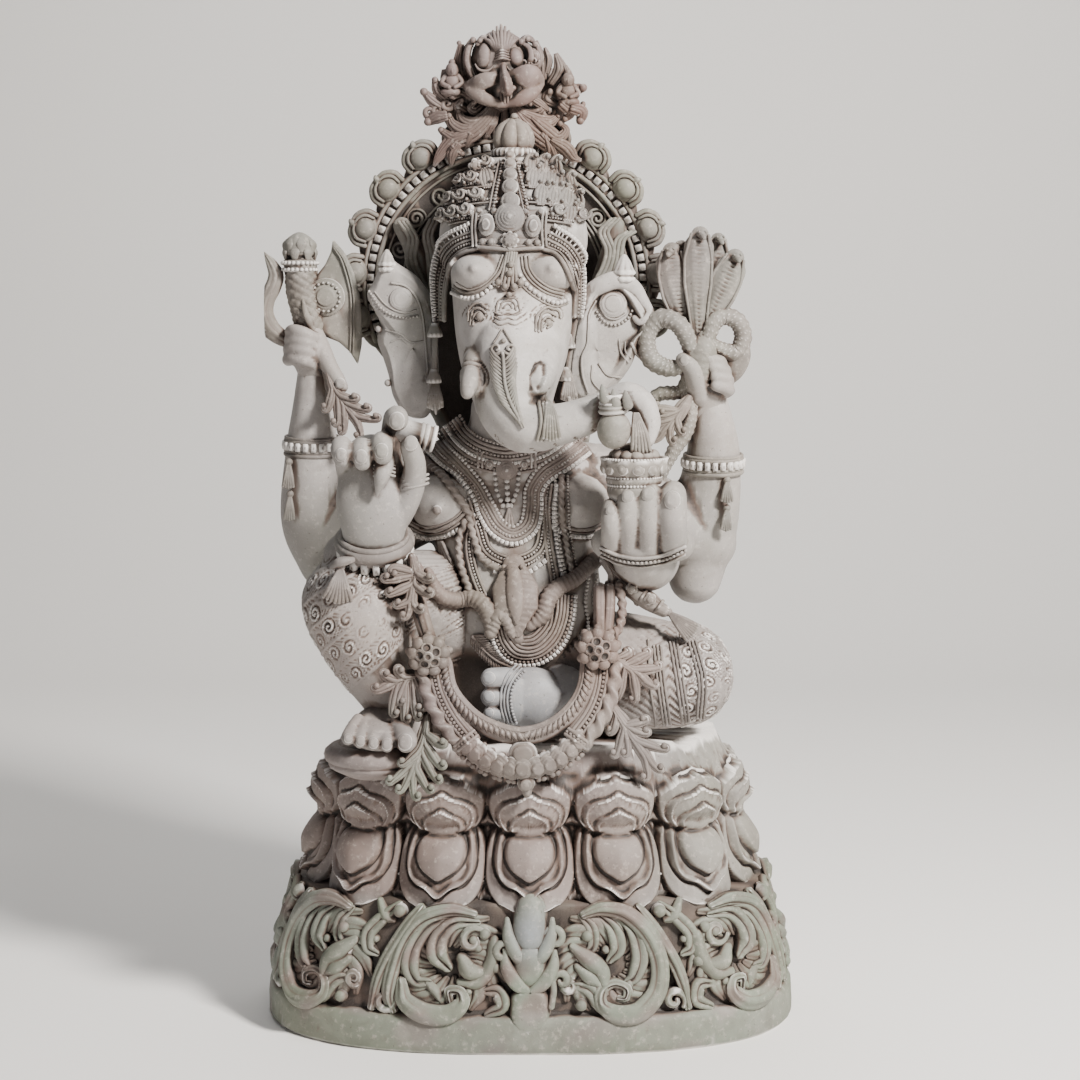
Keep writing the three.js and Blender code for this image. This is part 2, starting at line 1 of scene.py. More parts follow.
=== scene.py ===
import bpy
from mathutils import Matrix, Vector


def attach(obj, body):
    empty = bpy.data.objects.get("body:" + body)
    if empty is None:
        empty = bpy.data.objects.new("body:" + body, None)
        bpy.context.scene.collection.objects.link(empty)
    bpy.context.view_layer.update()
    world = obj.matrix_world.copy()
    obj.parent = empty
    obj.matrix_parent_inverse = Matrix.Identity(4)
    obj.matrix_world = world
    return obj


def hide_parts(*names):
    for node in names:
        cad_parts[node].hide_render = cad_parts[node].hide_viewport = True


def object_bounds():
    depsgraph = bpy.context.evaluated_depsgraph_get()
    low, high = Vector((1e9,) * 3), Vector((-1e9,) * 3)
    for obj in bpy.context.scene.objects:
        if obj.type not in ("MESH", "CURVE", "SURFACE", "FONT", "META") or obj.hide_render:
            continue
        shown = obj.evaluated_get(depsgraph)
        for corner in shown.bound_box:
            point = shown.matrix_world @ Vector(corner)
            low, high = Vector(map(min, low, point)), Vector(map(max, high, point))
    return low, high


bl_info = {
    "name": "Carved Soapstone Figure",
    "version": (1, 0, 0),
    "blender": (4, 5, 0),
    "location": "View3D > Sidebar > Soapstone",
    "description": "Carves the elephant-headed figure on its lotus plinth around the packed block",
    "category": "Object",
}

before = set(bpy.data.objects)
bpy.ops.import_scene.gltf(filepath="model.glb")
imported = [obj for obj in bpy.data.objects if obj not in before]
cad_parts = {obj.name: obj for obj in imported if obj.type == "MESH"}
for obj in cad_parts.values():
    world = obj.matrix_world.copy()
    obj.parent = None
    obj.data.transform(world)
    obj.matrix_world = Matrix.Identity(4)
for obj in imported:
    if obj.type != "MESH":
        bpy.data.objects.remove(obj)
CAD_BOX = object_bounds()

import bpy
import numpy as np
from mathutils import Vector
from mathutils.bvhtree import BVHTree

MM = 0.001
TAU = 2 * np.pi
FRONT = (0, -1, 0)


# Toolkit: all lengths are millimetres until a mesh is made.

def unit(v):
    """Each vector divided by its own length."""
    v = np.asarray(v, float)
    return v / np.maximum(np.linalg.norm(v, axis=-1, keepdims=True), 1e-9)


def ease(t):
    """The smooth step 3t² − 2t³ of t held between 0 and 1."""
    t = np.clip(t, 0, 1)
    return t * t * (3 - 2 * t)


def along(points, count):
    """Points at equal steps on a Catmull-Rom spline through the given ones; columns after the third ride
    along."""
    p = np.asarray(points, float)
    p = np.vstack([2 * p[0] - p[1], p, 2 * p[-1] - p[-2]])
    t = np.linspace(0, len(p) - 3, max(64, count * 3))
    i = np.clip(t.astype(int), 0, len(p) - 4)
    f = (t - i)[:, None]
    a, b, c, d = p[i], p[i + 1], p[i + 2], p[i + 3]
    q = 0.5 * (2 * b + (c - a) * f + (2 * a - 5 * b + 4 * c - d) * f**2 + (3 * b - a - 3 * c + d) * f**3)
    s = np.r_[0, np.cumsum(np.linalg.norm(np.diff(q[:, :3], axis=0), axis=1))]
    even = np.linspace(0, s[-1], count)
    return np.column_stack([np.interp(even, s, column) for column in q.T])


def length_of(points):
    """Running length along a line of points, from 0."""
    return np.r_[0, np.cumsum(np.linalg.norm(np.diff(points[:, :3], axis=0), axis=1))]


def frames(path, up):
    """Tangent, side = tangent × up, and rise = side × tangent at each point of a path."""
    tangent = unit(np.gradient(path, axis=0))
    side = unit(np.cross(tangent, np.broadcast_to(np.asarray(up, float), tangent.shape)))
    return tangent, side, np.cross(side, tangent)


def stretched(values, count):
    """Values read at equal steps, so that there are count of them from the first to the last."""
    return np.interp(np.linspace(0, 1, count), np.linspace(0, 1, len(values)), values)


def across_of(line):
    """The direction across a line of pixels at each of its points: its tangent turned a quarter."""
    return unit(np.gradient(line, axis=0))[:, ::-1] * [1, -1]


def ring_round(centre, radius, count=60):
    """A closed level ring of points round a centre."""
    a = np.linspace(0, TAU, count)
    return np.column_stack([centre[0] + radius * np.cos(a), centre[1] + radius * np.sin(a),
                            np.full(count, centre[2])])


def spokes(count, start=0.0, level=False):
    """Directions at equal turns round a circle that faces the front, or lies level."""
    for k in range(count):
        a = k * TAU / count + start
        yield np.array((np.cos(a), np.sin(a), 0) if level else (np.cos(a), 0, np.sin(a)))


class Carving:
    """Gathers the sheets of one piece as arrays of points and triangles."""

    def __init__(self):
        self.points, self.faces, self.count = [], [], 0

    def block(self, points, faces, turn=True):
        """Adds points and triangles; a block whose signed volume is negative is turned to face outwards."""
        if turn:
            a, b, c = (points[faces[:, k]] - points.mean(axis=0) for k in range(3))
            if np.einsum("ij,ij->", a, np.cross(b, c)) < 0:
                faces = faces[:, ::-1]
        self.points.append(points)
        self.faces.append(faces + self.count)
        self.count += len(points)
        return self

    def sheet(self, grid, wrap=True, loop=False):
        """Adds a grid of points (rows × columns × 3); wrap joins the last column to the first, loop the
        last row to the first, and a row drawn together to one point becomes a closed pole."""
        rows, cols = grid.shape[:2]
        index = np.arange(rows * cols).reshape(rows, cols)
        pole = np.ptp(grid, axis=1).max(axis=1) < 1e-6
        index[pole] = index[pole][:, :1]
        if wrap:
            index = np.hstack([index, index[:, :1]])
        if loop:
            index = np.vstack([index, index[:1]])
        a, b, c, d = index[:-1, :-1], index[:-1, 1:], index[1:, 1:], index[1:, :-1]
        faces = np.concatenate([np.stack(t, -1).reshape(-1, 3) for t in ((a, b, c), (a, c, d))])
        kept = (faces[:, 0] != faces[:, 1]) & (faces[:, 1] != faces[:, 2]) & (faces[:, 2] != faces[:, 0])
        return self.block(grid.reshape(-1, 3), faces[kept])

    def scatter(self, shape, centres, axes):
        """Adds one copy of a small shape at each centre: its three coordinates run along the three axes
        there."""
        points, faces = shape
        placed = centres[:, None] + np.einsum("vk,nkc->nvc", points, axes)
        step = len(points) * np.arange(len(centres))[:, None, None]
        flip = np.linalg.det(axes[0]) < 0
        self.faces.append(((faces[:, ::-1] if flip else faces)[None] + step).reshape(-1, 3) + self.count)
        self.points.append(placed.reshape(-1, 3))
        self.count += placed.shape[0] * placed.shape[1]
        return self

    def arrays(self):
        """All points and triangles, without the points that no triangle uses."""
        points, faces = np.concatenate(self.points), np.concatenate(self.faces)
        used, faces = np.unique(faces, return_inverse=True)
        return points[used], faces.reshape(-1, 3)

    def mesh(self, name):
        """The gathered arrays as a smooth-shaded Blender mesh in metres."""
        points, faces = self.arrays()
        mesh = bpy.data.meshes.new(name)
        mesh.vertices.add(len(points))
        mesh.vertices.foreach_set("co", (points * MM).astype(np.float32).ravel())
        mesh.loops.add(faces.size)
        mesh.loops.foreach_set("vertex_index", faces.astype(np.int32).ravel())
        mesh.polygons.add(len(faces))
        mesh.polygons.foreach_set("loop_start", np.arange(0, faces.size, 3, dtype=np.int32))
        mesh.polygons.foreach_set("use_smooth", np.ones(len(faces), bool))
        mesh.update(calc_edges=True)
        return mesh

    # Shapes

    def tube(self, points, radii, around=10, step=3.0, flat=1.0, up=FRONT, relief=None, blunt=1.0):
        """A round profile carried along a path: centre(s) + r(s)·(side·cos a + rise·flat·sin a), r eased
        to a point over the last radius at each end; relief(s, a) in mm is added to r."""
        rough = np.asarray(points, float)
        radii = stretched(radii, len(rough))
        count = max(4, int(length_of(rough)[-1] / step) + 2)
        line = along(np.column_stack([rough, radii, np.broadcast_to(up, rough.shape)]), count)
        path, r = line[:, :3], np.maximum(line[:, 3], 0.05)
        tangent, side, rise = frames(path, line[:, 4:])
        s = length_of(path)
        bend = np.array([0, 0.38, 0.71, 0.92])
        cap = np.sqrt(1 - bend**2)
        first = path[0] - tangent[0] * r[0] * blunt * cap[:, None]
        last = path[-1] + tangent[-1] * r[-1] * blunt * cap[::-1, None]
        path = np.vstack([first, path, last])
        side, rise = (np.vstack([v[:1].repeat(4, 0), v, v[-1:].repeat(4, 0)]) for v in (side, rise))
        s = np.r_[np.zeros(4), s, np.full(4, s[-1])]
        full = np.r_[r[0] * np.sin(np.arccos(cap)), r, r[-1] * np.sin(np.arccos(cap[::-1]))]
        a = np.arange(around) * TAU / around
        width = np.broadcast_to(full[:, None], (len(s), around))
        if relief is not None:
            inner = np.minimum(1, full / np.r_[np.full(4, r[0]), r, np.full(4, r[-1])])
            width = width + relief(s[:, None], a[None]) * inner[:, None]
        return self.sheet(path[:, None] + width[..., None]
                          * (side[:, None] * np.cos(a)[:, None] + rise[:, None] * flat * np.sin(a)[:, None]))

    def ball(self, centre, radii, around=16, rings=9, axes=np.eye(3), relief=None):
        """An ellipsoid: centre + radii·(cos b·cos a, cos b·sin a, sin b) along its own axes; relief(a, b)
        scales it."""
        a = (np.arange(around) * TAU / around)[None]
        b = np.linspace(-np.pi / 2, np.pi / 2, rings)[:, None]
        shape = np.stack([np.cos(b) * np.cos(a), np.cos(b) * np.sin(a), np.sin(b) + 0 * a], -1)
        if relief is not None:
            shape = shape * relief(a, b)[..., None]
        shape[[0, -1]] = shape[[0, -1]].mean(axis=1, keepdims=True)
        return self.sheet(np.asarray(centre, float) + (shape * np.asarray(radii,
                                                                          float)) @ np.asarray(axes, float))

    def turned(self, profile, centre, axis=(0, 0, 1), around=24, relief=None):
        """A profile of (radius, height) turned round an axis through centre."""
        profile = np.asarray(profile, float)
        axis = unit(axis)
        side = unit(np.cross(axis, (0.31, 0.95, 0.02)))
        other = np.cross(axis, side)
        a = (np.arange(around) * TAU / around)[None]
        r = profile[:, :1] + (0 if relief is None else relief(profile[:, :1], a))
        grid = (np.asarray(centre, float) + profile[:, 1, None, None] * axis
                + r[..., None] * (np.cos(a)[..., None] * side + np.sin(a)[..., None] * other))
        return self.sheet(grid)

    def beads(self, path, radius, gap=2.0, up=FRONT, shape="round", squash=(1, 1, 1), lift=0.0):
        """Small bosses at equal steps along a path, squashed (along, across, out of the stone)."""
        path = np.asarray(path, float)
        reach = length_of(path)[-1]
        count = max(2, int(reach / (radius * gap)) + 1)
        line = along(np.column_stack([path, np.broadcast_to(up, path.shape)]), count)
        spots = line[:, :3]
        tangent, side, rise = frames(spots, line[:, 3:])
        axes = np.stack([tangent, side, rise], 1) * (np.asarray(squash, float) * radius)[None, :, None]
        return self.scatter(SMALL[shape], spots + rise * lift, axes)

    def dome(self, centre, facing, radius, height, edge=None, terraces=((1, 1),), around=32,
             rings=10, sink=3.0):
        """A boss on a wall: rim radius·edge(a); one terrace is a round dome, more are steps of (share of
        radius, share of height), each (1 − share^k)^½ with k 2 for a dome and 14 for a step; it closes
        behind the wall."""
        facing = unit(facing)
        side = unit(np.cross(facing, (0.02, 0.03, 1)))
        other = np.cross(facing, side)
        a = (np.arange(around) * TAU / around)[None]
        share = np.linspace(0, 1, rings)[:, None]
        rim = np.ones_like(a) if edge is None else edge(a)
        power = 2 if len(terraces) == 1 else 14
        rise = sum(part * np.sqrt(np.clip(1 - (share / reach) ** power, 0, 1)) for reach, part in terraces)
        rise = rise * height + 0 * a
        r = share * radius * rim
        rise[-1] = -sink * 0.3
        grid = np.concatenate([np.stack([r * np.cos(a), r * np.sin(a), rise], -1), np.zeros((1, around, 3))])
        grid[-1, :, 2] = -sink
        return self.sheet(np.asarray(centre, float) + grid @ np.stack([side, other, facing]))


def small_ball(around, rings):
    """Points and triangles of a little ball of radius 1."""
    c = Carving().ball((0, 0, 0), (1, 1, 1), around, rings)
    return c.arrays()


def small_block(chamfer=0.72):
    """Points and triangles of a little pillow: a square foot and a smaller square top."""
    low = np.array([[-1, -1, -1], [1, -1, -1], [1, 1, -1], [-1, 1, -1]], float)
    top = low * [chamfer, chamfer, -1]
    grid = np.stack([np.zeros((4, 3)) + [0, 0, -1], low, top, np.zeros((4, 3)) + [0, 0, 1.15]])
    return Carving().sheet(grid).arrays()


SMALL = {"round": small_ball(6, 5), "fine": small_ball(8, 7), "block": small_block()}


def melted(carving, voxel, smooth, keep=1.0):
    """One skin over overlapping closed sheets: rebuilt on a grid of cubes of side voxel, smoothed, and
    thinned to a share of its triangles. Returns points (mm), triangles and outward normals."""
    thing = bpy.data.objects.new("melt", carving.mesh("melt"))
    bpy.context.scene.collection.objects.link(thing)
    if voxel:
        remesh = thing.modifiers.new("skin", "REMESH")
        remesh.mode = "VOXEL"
        remesh.voxel_size = voxel * MM
    if keep < 1:
        thing.modifiers.new("thin", "DECIMATE").ratio = keep
    if smooth:
        soft = thing.modifiers.new("soft", "SMOOTH")
        soft.factor, soft.iterations = 0.5, smooth
    done = thing.evaluated_get(bpy.context.evaluated_depsgraph_get()).to_mesh()
    done.calc_loop_triangles()
    points = np.empty(len(done.vertices) * 3, np.float32)
    done.vertices.foreach_get("co", points)
    normals = np.empty(len(done.vertices) * 3, np.float32)
    done.vertex_normals.foreach_get("vector", normals)
    faces = np.empty(len(done.loop_triangles) * 3, np.int32)
    done.loop_triangles.foreach_get("vertices", faces)
    thing.to_mesh_clear()
    bpy.data.objects.remove(thing)
    points, normals = points.reshape(-1, 3).astype(float) / MM, normals.reshape(-1, 3).astype(float)
    return points, faces.reshape(-1, 3), normals


def hex_colour(text):
    """An sRGB hex colour as linear red, green, blue and 1."""
    value = np.array([int(text[i:i + 2], 16) for i in (1, 3, 5)]) / 255
    return (*np.where(value <= 0.04045, value / 12.92, ((value + 0.055) / 1.055) ** 2.4), 1.0)


PIECES = []
THINNING = 0.72   # share of triangles left in every piece, on top of the piece's own
MARGIN = 0.2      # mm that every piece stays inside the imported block's box


def finish_piece(name, carving, keep=1.0):
    """Thins the carving to keep·THINNING of its triangles, the flat places first, holds it inside the
    packed block's own box, makes the object at the origin, gives it the stone, and lets it ride and stand
    for the block."""
    points, faces, _ = melted(carving, 0, 0, keep * THINNING)
    low, high = np.array(CAD_BOX) / MM
    carving = Carving().block(np.clip(points, low + MARGIN, high - MARGIN), faces)
    piece = bpy.data.objects.new(name, carving.mesh(name))
    bpy.context.scene.collection.objects.link(piece)
    piece.data.materials.append(bpy.data.materials["carved_soapstone"])
    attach(piece, "root")
    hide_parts("ganesha_statue")
    PIECES.append(piece)
    return piece


def rough(points, wavelength, seed=1):
    """Gentle unevenness between −1 and 1: the sum of nine plane waves of about one wavelength, each in a
    set random direction."""
    draw = np.random.default_rng(seed)
    waves = unit(draw.normal(size=(9, 3))) * TAU / (wavelength * draw.uniform(0.7, 1.5, (9, 1)))
    return np.sin(points @ waves.T + draw.uniform(0, TAU, 9)).sum(axis=-1) / 5


def curl(centre, start, end, first, last, count=22):
    """A flat spiral round centre from angle start to end (degrees) and radius first to last."""
    t = np.linspace(0, 1, count)
    a, r = np.radians(start + (end - start) * t), first + (last - first) * t
    return np.column_stack([centre[0] + r * np.cos(a), centre[1] + r * np.sin(a)])


def ribs(depth, count=3):
    """Ridges along a carved stem: relief of depth·cos(2·count·(a − 90°)), with a ridge along its crest."""
    return lambda s, a: depth * np.cos(2 * count * (a - np.pi / 2)) + 0 * s


# The plinth

SQUARENESS = 2.6   # exponent of the oval plan
WALL_LOW, WALL_HIGH = (312, 188), (284, 168)   # half width and half depth of the scrolled wall, foot and head
WALL_FOOT, WALL_HEAD = 46, 172
SCROLL_PITCH = 158   # mm from one scroll's eye to the next, along the wall
STEM_HALF = 14       # half width kept free for the hanging stem at the front


def oval(a, b, angle):
    """A point of the squarish oval of half widths a and b; angle runs from the front centre towards +X."""
    s, c = np.sin(angle), np.cos(angle)
    power = 2 / SQUARENESS
    return np.stack([a * np.sign(s) * np.abs(s) ** power, -b * np.sign(c) * np.abs(c) ** power], -1)


ANGLES = np.linspace(-np.pi, np.pi, 4801)
WALK = np.r_[0, np.cumsum(np.linalg.norm(np.diff(oval(298, 178, ANGLES), axis=0), axis=1))]
ROUND = WALK[-1]   # length round the middle of the wall
WALK = WALK - ROUND / 2


def facing_of(angle, a=298, b=178):
    """The level outward direction of the oval at an angle: its tangent turned a quarter."""
    tangent = oval(a, b, angle + 1e-3) - oval(a, b, angle - 1e-3)
    return np.column_stack([unit(np.stack([tangent[..., 1], -tangent[..., 0]], -1)), 0 * angle])


def on_wall(spots, out=0.0):
    """Wall coordinates (distance from the front centre, height) as points and outward directions."""
    spots = np.asarray(spots, float)
    angle = np.interp(spots[:, 0], WALK, ANGLES)
    share = ((spots[:, 1] - WALL_FOOT) / (WALL_HEAD - WALL_FOOT))[:, None]
    half = np.array(WALL_LOW) * (1 - share) + np.array(WALL_HIGH) * share
    points = np.column_stack([oval(half[:, 0], half[:, 1], angle), spots[:, 1]])
    facing = facing_of(angle)
    return points + facing * np.reshape(out, (-1, 1)), facing


def vine(c, spots, radii, out=4.0, groove=0.9, around=20, flat=1.1, relief=None):
    """A ribbed stem along wall coordinates, half sunk in the wall."""
    points, facing = on_wall(spots, out)
    c.tube(points, radii, around, 3.0, flat, facing, relief or (ribs(groove) if groove else None))


def scooped(depth):
    """A leaf worked hollow: relief of −depth·exp(−((a − 90°)/0.55)²), a trough along the crest with a rim
    each side."""
    return lambda s, a: -depth * np.exp(-((a - np.pi / 2) / 0.55) ** 2) + 0 * s


# Parts of two scrolls and of the stem beside them, as pixels of the photograph: (kind, line, radii in mm)
SCROLL_A = (
    ("ribbed",
     [(586, 915), (606, 909), (630, 914), (650, 934), (659, 962), (654, 990), (636, 1009), (616, 1012),
      (600, 1003), (600, 989), (612, 982), (625, 987), (623, 997), (616, 997)],
     (4, 8, 10, 11, 11, 12, 13, 12, 8, 7, 5, 5, 4, 3)),
    ("scooped", [(621, 917), (636, 931), (641, 956), (634, 976), (624, 983)], (3, 9, 11, 9, 4)),
    ("scooped", [(603, 917), (616, 930), (619, 948), (610, 960)], (3, 9, 10.5, 5)),
    ("scooped", [(584, 917), (594, 929), (594, 946), (585, 955)], (4, 8, 7, 4)),
    ("scooped", [(571, 984), (588, 988), (600, 1005), (606, 1013)], (4, 9, 9, 4)),
    ("smooth", [(573, 946), (590, 960), (601, 972), (604, 992)], (5, 11, 10, 5)),
    ("smooth", [(578, 966), (590, 976), (600, 984)], (6, 10, 6)),
    ("knob", [(589, 936)], (8,)),
    ("knob", [(584, 957)], (8,)),
    ("knob", [(628, 984)], (6,)),
    ("knob", [(607, 950)], (6,)),
    ("knob", [(580, 1003)], (8,)),
    ("knob", [(617, 997)], (5,)),
    ("curl", [(569, 984)], (10, 60)),
    ("curl", [(584, 957)], (8, 200)),
)
SCROLL_B = (
    ("ribbed",
     [(398, 1012), (392, 996), (394, 970), (402, 940), (418, 920), (446, 911), (472, 915)],
     (4, 8, 9, 9, 9, 8, 4)),
    ("ribbed",
     [(404, 982), (410, 1000), (430, 1011), (452, 1011), (465, 1000), (462, 989), (451, 989), (453, 999)],
     (6, 11, 13, 12, 9, 6, 5, 4)),
    ("scooped",
     [(452, 919), (428, 926), (414, 944), (410, 966), (418, 981), (430, 982)],
     (3, 8, 10, 11, 8, 5)),
    ("scooped", [(476, 923), (452, 924), (438, 938), (437, 954), (448, 966)], (4, 8, 11, 13, 7)),
    ("smooth", [(494, 942), (492, 962), (480, 980), (462, 982)], (8, 9, 9, 6)),
    ("smooth", [(462, 958), (470, 970), (484, 972)], (7, 11, 8)),
    ("scooped", [(484, 990), (499, 990), (503, 1004), (490, 1012)], (4, 9, 9, 5)),
    ("smooth", [(430, 984), (438, 992), (444, 1001)], (5, 7, 4)),
    ("knob", [(473, 940)], (7,)),
    ("knob", [(484, 934)], (8,)),
    ("knob", [(496, 966)], (8,)),
    ("knob", [(466, 960)], (6,)),
    ("knob", [(478, 948)], (6,)),
    ("knob", [(470, 990)], (6,)),
    ("curl", [(472, 940)], (16, 20)),
)
STEM = (
    ("ribbed", [(684, 1011), (681, 985), (673, 960), (656, 928), (644, 910)], (4, 7, 8, 8, 5)),
    ("scooped", [(668, 908), (684, 922), (697, 938), (695, 953), (686, 958)], (4, 8, 9, 8, 4)),
    ("smooth", [(690, 906), (682, 920), (672, 924)], (4, 7, 4)),
    ("knob", [(666, 914)], (9,)),
    ("knob", [(689, 944)], (5,)),
    ("curl", [(671, 1002)], (13, 320)),
)
HOME_A, HOME_B = np.array((610.7, 960)), np.array((449.3, 960))   # pixels of the two scrolls' eyes
PIXEL = (1.152, 1.17)   # mm to a pixel on the wall, across and up


def scroll(c, parts, home, middle, side):
    """Lays the parts of a scroll on the wall round its middle: side turns it over from left to right."""
    flip = side if home[0] > 530 else -side
    for kind, line, sizes in parts:
        spots = (np.array(line) - home) * (PIXEL[0] * flip, -PIXEL[1]) + (middle, 109)
        if kind == "knob":
            (point,), (facing,) = on_wall(spots, sizes[0] * 0.5)
            c.dome(point, facing, sizes[0], sizes[0] * 1.2, around=16, rings=6)
        elif kind == "curl":
            size, start = sizes
            vine(c, curl(spots[0], start * flip, (start + 400) * flip, size, 3), (3, 5, 5, 4, 3),
                 size * 0.4, 0.4, 12)
        else:
            most = max(sizes)
            relief = {"ribbed": ribs(1.3), "scooped": scooped(most * 0.62), "smooth": ribs(0.5, 2)}[kind]
            vine(c, spots, sizes, most * 0.5, 0, 24 if kind == "ribbed" else 20, relief=relief)


def leaves_behind(c, middle, side):
    """A wheel of low leaves round a scroll's eye, under the scroll: each leaf runs outwards and bends
    with it."""
    for k in range(15):
        start = k * TAU / 15 + 0.2
        reach, bend = np.array((20, 34, 48, 62)), np.array((0, 0.18, 0.42, 0.75))
        spots = np.column_stack([middle + side * 1.12 * reach * np.cos(start + bend),
                                 106 + reach * np.sin(start + bend)])
        spots[:, 1] = np.clip(spots[:, 1], 54, 169)
        vine(c, spots, (4, 8, 9, 4), 1.5, 0, 12, 0.9, scooped(3.5))


def stem_of_buds(c):
    """The hanging stem at the front: a smooth bulb in a leaf cup, one more pointed cup below it, and a
    block."""
    def hang(spots, radii, out, around=18, flat=1.0, groove=0.0):
        vine(c, spots, radii, out, groove, around, flat)
    hang([(1, 50), (1, 84), (1, 120), (1, 168)], (26, 22, 22, 24), -8, 24, 0.75)
    hang([(0, 116), (0, 126), (0, 142), (0, 158), (0, 172)], (4, 15, 20, 19, 15), 7, 28, 0.85)
    for top, tip, half, out in ((158, 106, 27, 12), (122, 76, 29, 12)):
        for side in (-1, 1):
            hang([(side * half, top), (side * half * 0.9, top * 0.6 + tip * 0.4),
                  (side * half * 0.5, top * 0.2 + tip * 0.8), (side * 1, tip)], (3, 8, 9, 5), out, 14, 1.0)
    hang([(0, 78), (0, 92), (0, 112)], (8, 19, 21), 4, 24, 0.85)
    hang([(0, 46), (0, 58), (0, 70), (0, 80)], (23, 23, 22, 12), 1, 24, 0.85)
    hang(curl((29, 137), 150, -240, 12, 3), (4, 5, 5, 4, 3), 12, 12)
    hang(curl((-31, 121), 30, 420, 11, 3), (3, 5, 5, 4, 3), 12, 12)
    hang(np.vstack([[(24, 58), (27, 76)], curl((36, 88), 190, -160, 10, 3)]), (4, 5, 5, 5, 4, 3), 9, 12)


def plinth(sizes):
    """The oval block: a worn plain band, a wall that leans in above it, and scrolls of ribbed stems on
    the wall."""
    c = Carving()
    reach = np.array([sizes.width, sizes.depth]) / MM / 2
    angle = np.interp(np.linspace(-ROUND / 2, ROUND / 2, 420, endpoint=False), WALK, ANGLES)
    rows = [(0, 0, 0), (0.6, 0.6, 0), (0.985, 0.98, 0), (1, 1, 5), (1, 1, 16), (1, 1, 28), (0.998, 0.998, 38),
            (0.985, 0.982, 44), (0.968, 0.95, 46)]
    rows = [(reach[0] * a, reach[1] * b, z) for a, b, z in rows]
    rows += [(*(np.array(WALL_LOW) * (1 - t) + np.array(WALL_HIGH) * t), 47 + 125 * t)
             for t in np.linspace(0, 1, 30)] + [(230, 130, 172), (0, 0, 172)]
    grid = np.array([np.column_stack([oval(a, b, angle), np.full(len(angle), z)]) for a, b, z in rows])
    band = ease((grid[..., 2] - 2) / 4)
    wear = np.abs(rough(grid, 70, 3)) * 1.6 + np.abs(rough(grid * [1, 1, 3], 16, 4)) * 0.7
    chips = np.clip(rough(grid, 42, 9) - 0.72, 0, 1) * 12 * ease((grid[..., 2] - 26) / 10)
    chips *= (grid[..., 2] < 60) * (grid[..., 0] > 40)
    facing = facing_of(angle)
    grid[3:-2] -= ((wear + chips) * band)[3:-2, :, None] * facing
    c.sheet(grid)

    half_pitch = SCROLL_PITCH / 2
    for side in (-1, 1):
        for number in range(4):   # the last one on each side is only its main stem, round the corner
            middle = side * (STEM_HALF + half_pitch * (2 * number + 1))
            parts, home = (SCROLL_A, HOME_A) if (side > 0) == (number % 2 == 0) else (SCROLL_B, HOME_B)
            scroll(c, parts if number < 3 else parts[:1], home, middle, side)
            if number < 3:
                leaves_behind(c, middle, side)
                scroll(c, STEM, HOME_A, middle, side)
    stem_of_buds(c)
    finish_piece("plinth_scrolls", c, 0.75)


# The lotus

# Each oval of the loft: half width, half depth, then its heights and its outward shifts at a petal's middle,
# a third and two thirds of the way to its joint, and at the joint
LOTUS = [
    (252, 146, (154, 154, 156, 160), (2, 2, 0, -6)),
    (264, 160, (164, 165, 172, 180), (8, 7, 2, -9)),
    (263, 159, (188, 190, 196, 202), (7, 5, -1, -13)),
    (257, 153, (222, 222, 225, 229), (8, 6, 0, -12)),
    (246, 142, (256, 256, 257, 258), (0, 0, -1, -4)),
    (250, 146, (276, 276, 276, 276), (8, 6, 0, -9)),
    (250, 148, (318, 314, 302, 290), (2, 2, 1, -7)),
    (242, 136, (324, 324, 324, 324), (0, 0, 0, 0)),
    (230, 126, (350, 350, 350, 350), (0, 0, 0, 0)),
]
PETALS = 14
WAIST = 257
PETAL_HALF = 52   # mm from a petal's middle to its joint, along the wall


def shield(across, down, half, length, tip, wave, power=3.0, widest=0.0, crown=400.0):
    """How far inside a petal's outline a spot is, in mm: |across/half|^power + |fall|^power < 1, where
    fall runs from 0 at the widest level to 1 at the foot, and to −1 at crown mm over it; the foot has a
    point of tip mm and dips of wave mm beside it."""
    foot = length + tip * np.exp(-(across / 8) ** 2) - wave * np.exp(-((np.abs(across) - 17) / 9) ** 2)
    fall = np.where(down > widest, (down - widest) / (foot - widest), (widest - down) / crown)
    share = (np.abs(across / half) ** power + np.clip(fall, 0, 3) ** power) ** (1 / power)
    return (1 - share) * min(half, length)


def lip(inside, height, rim, cut):
    """A layer's edge: it steps up by height, with a rim of rim mm just inside and a cut of cut mm just
    outside."""
    return (height * ease((inside + 0.8) / 2.2) + rim * np.exp(-((inside - 2.6) / 1.9) ** 2)
            - cut * np.exp(-((inside + 2.2) / 2.0) ** 2))


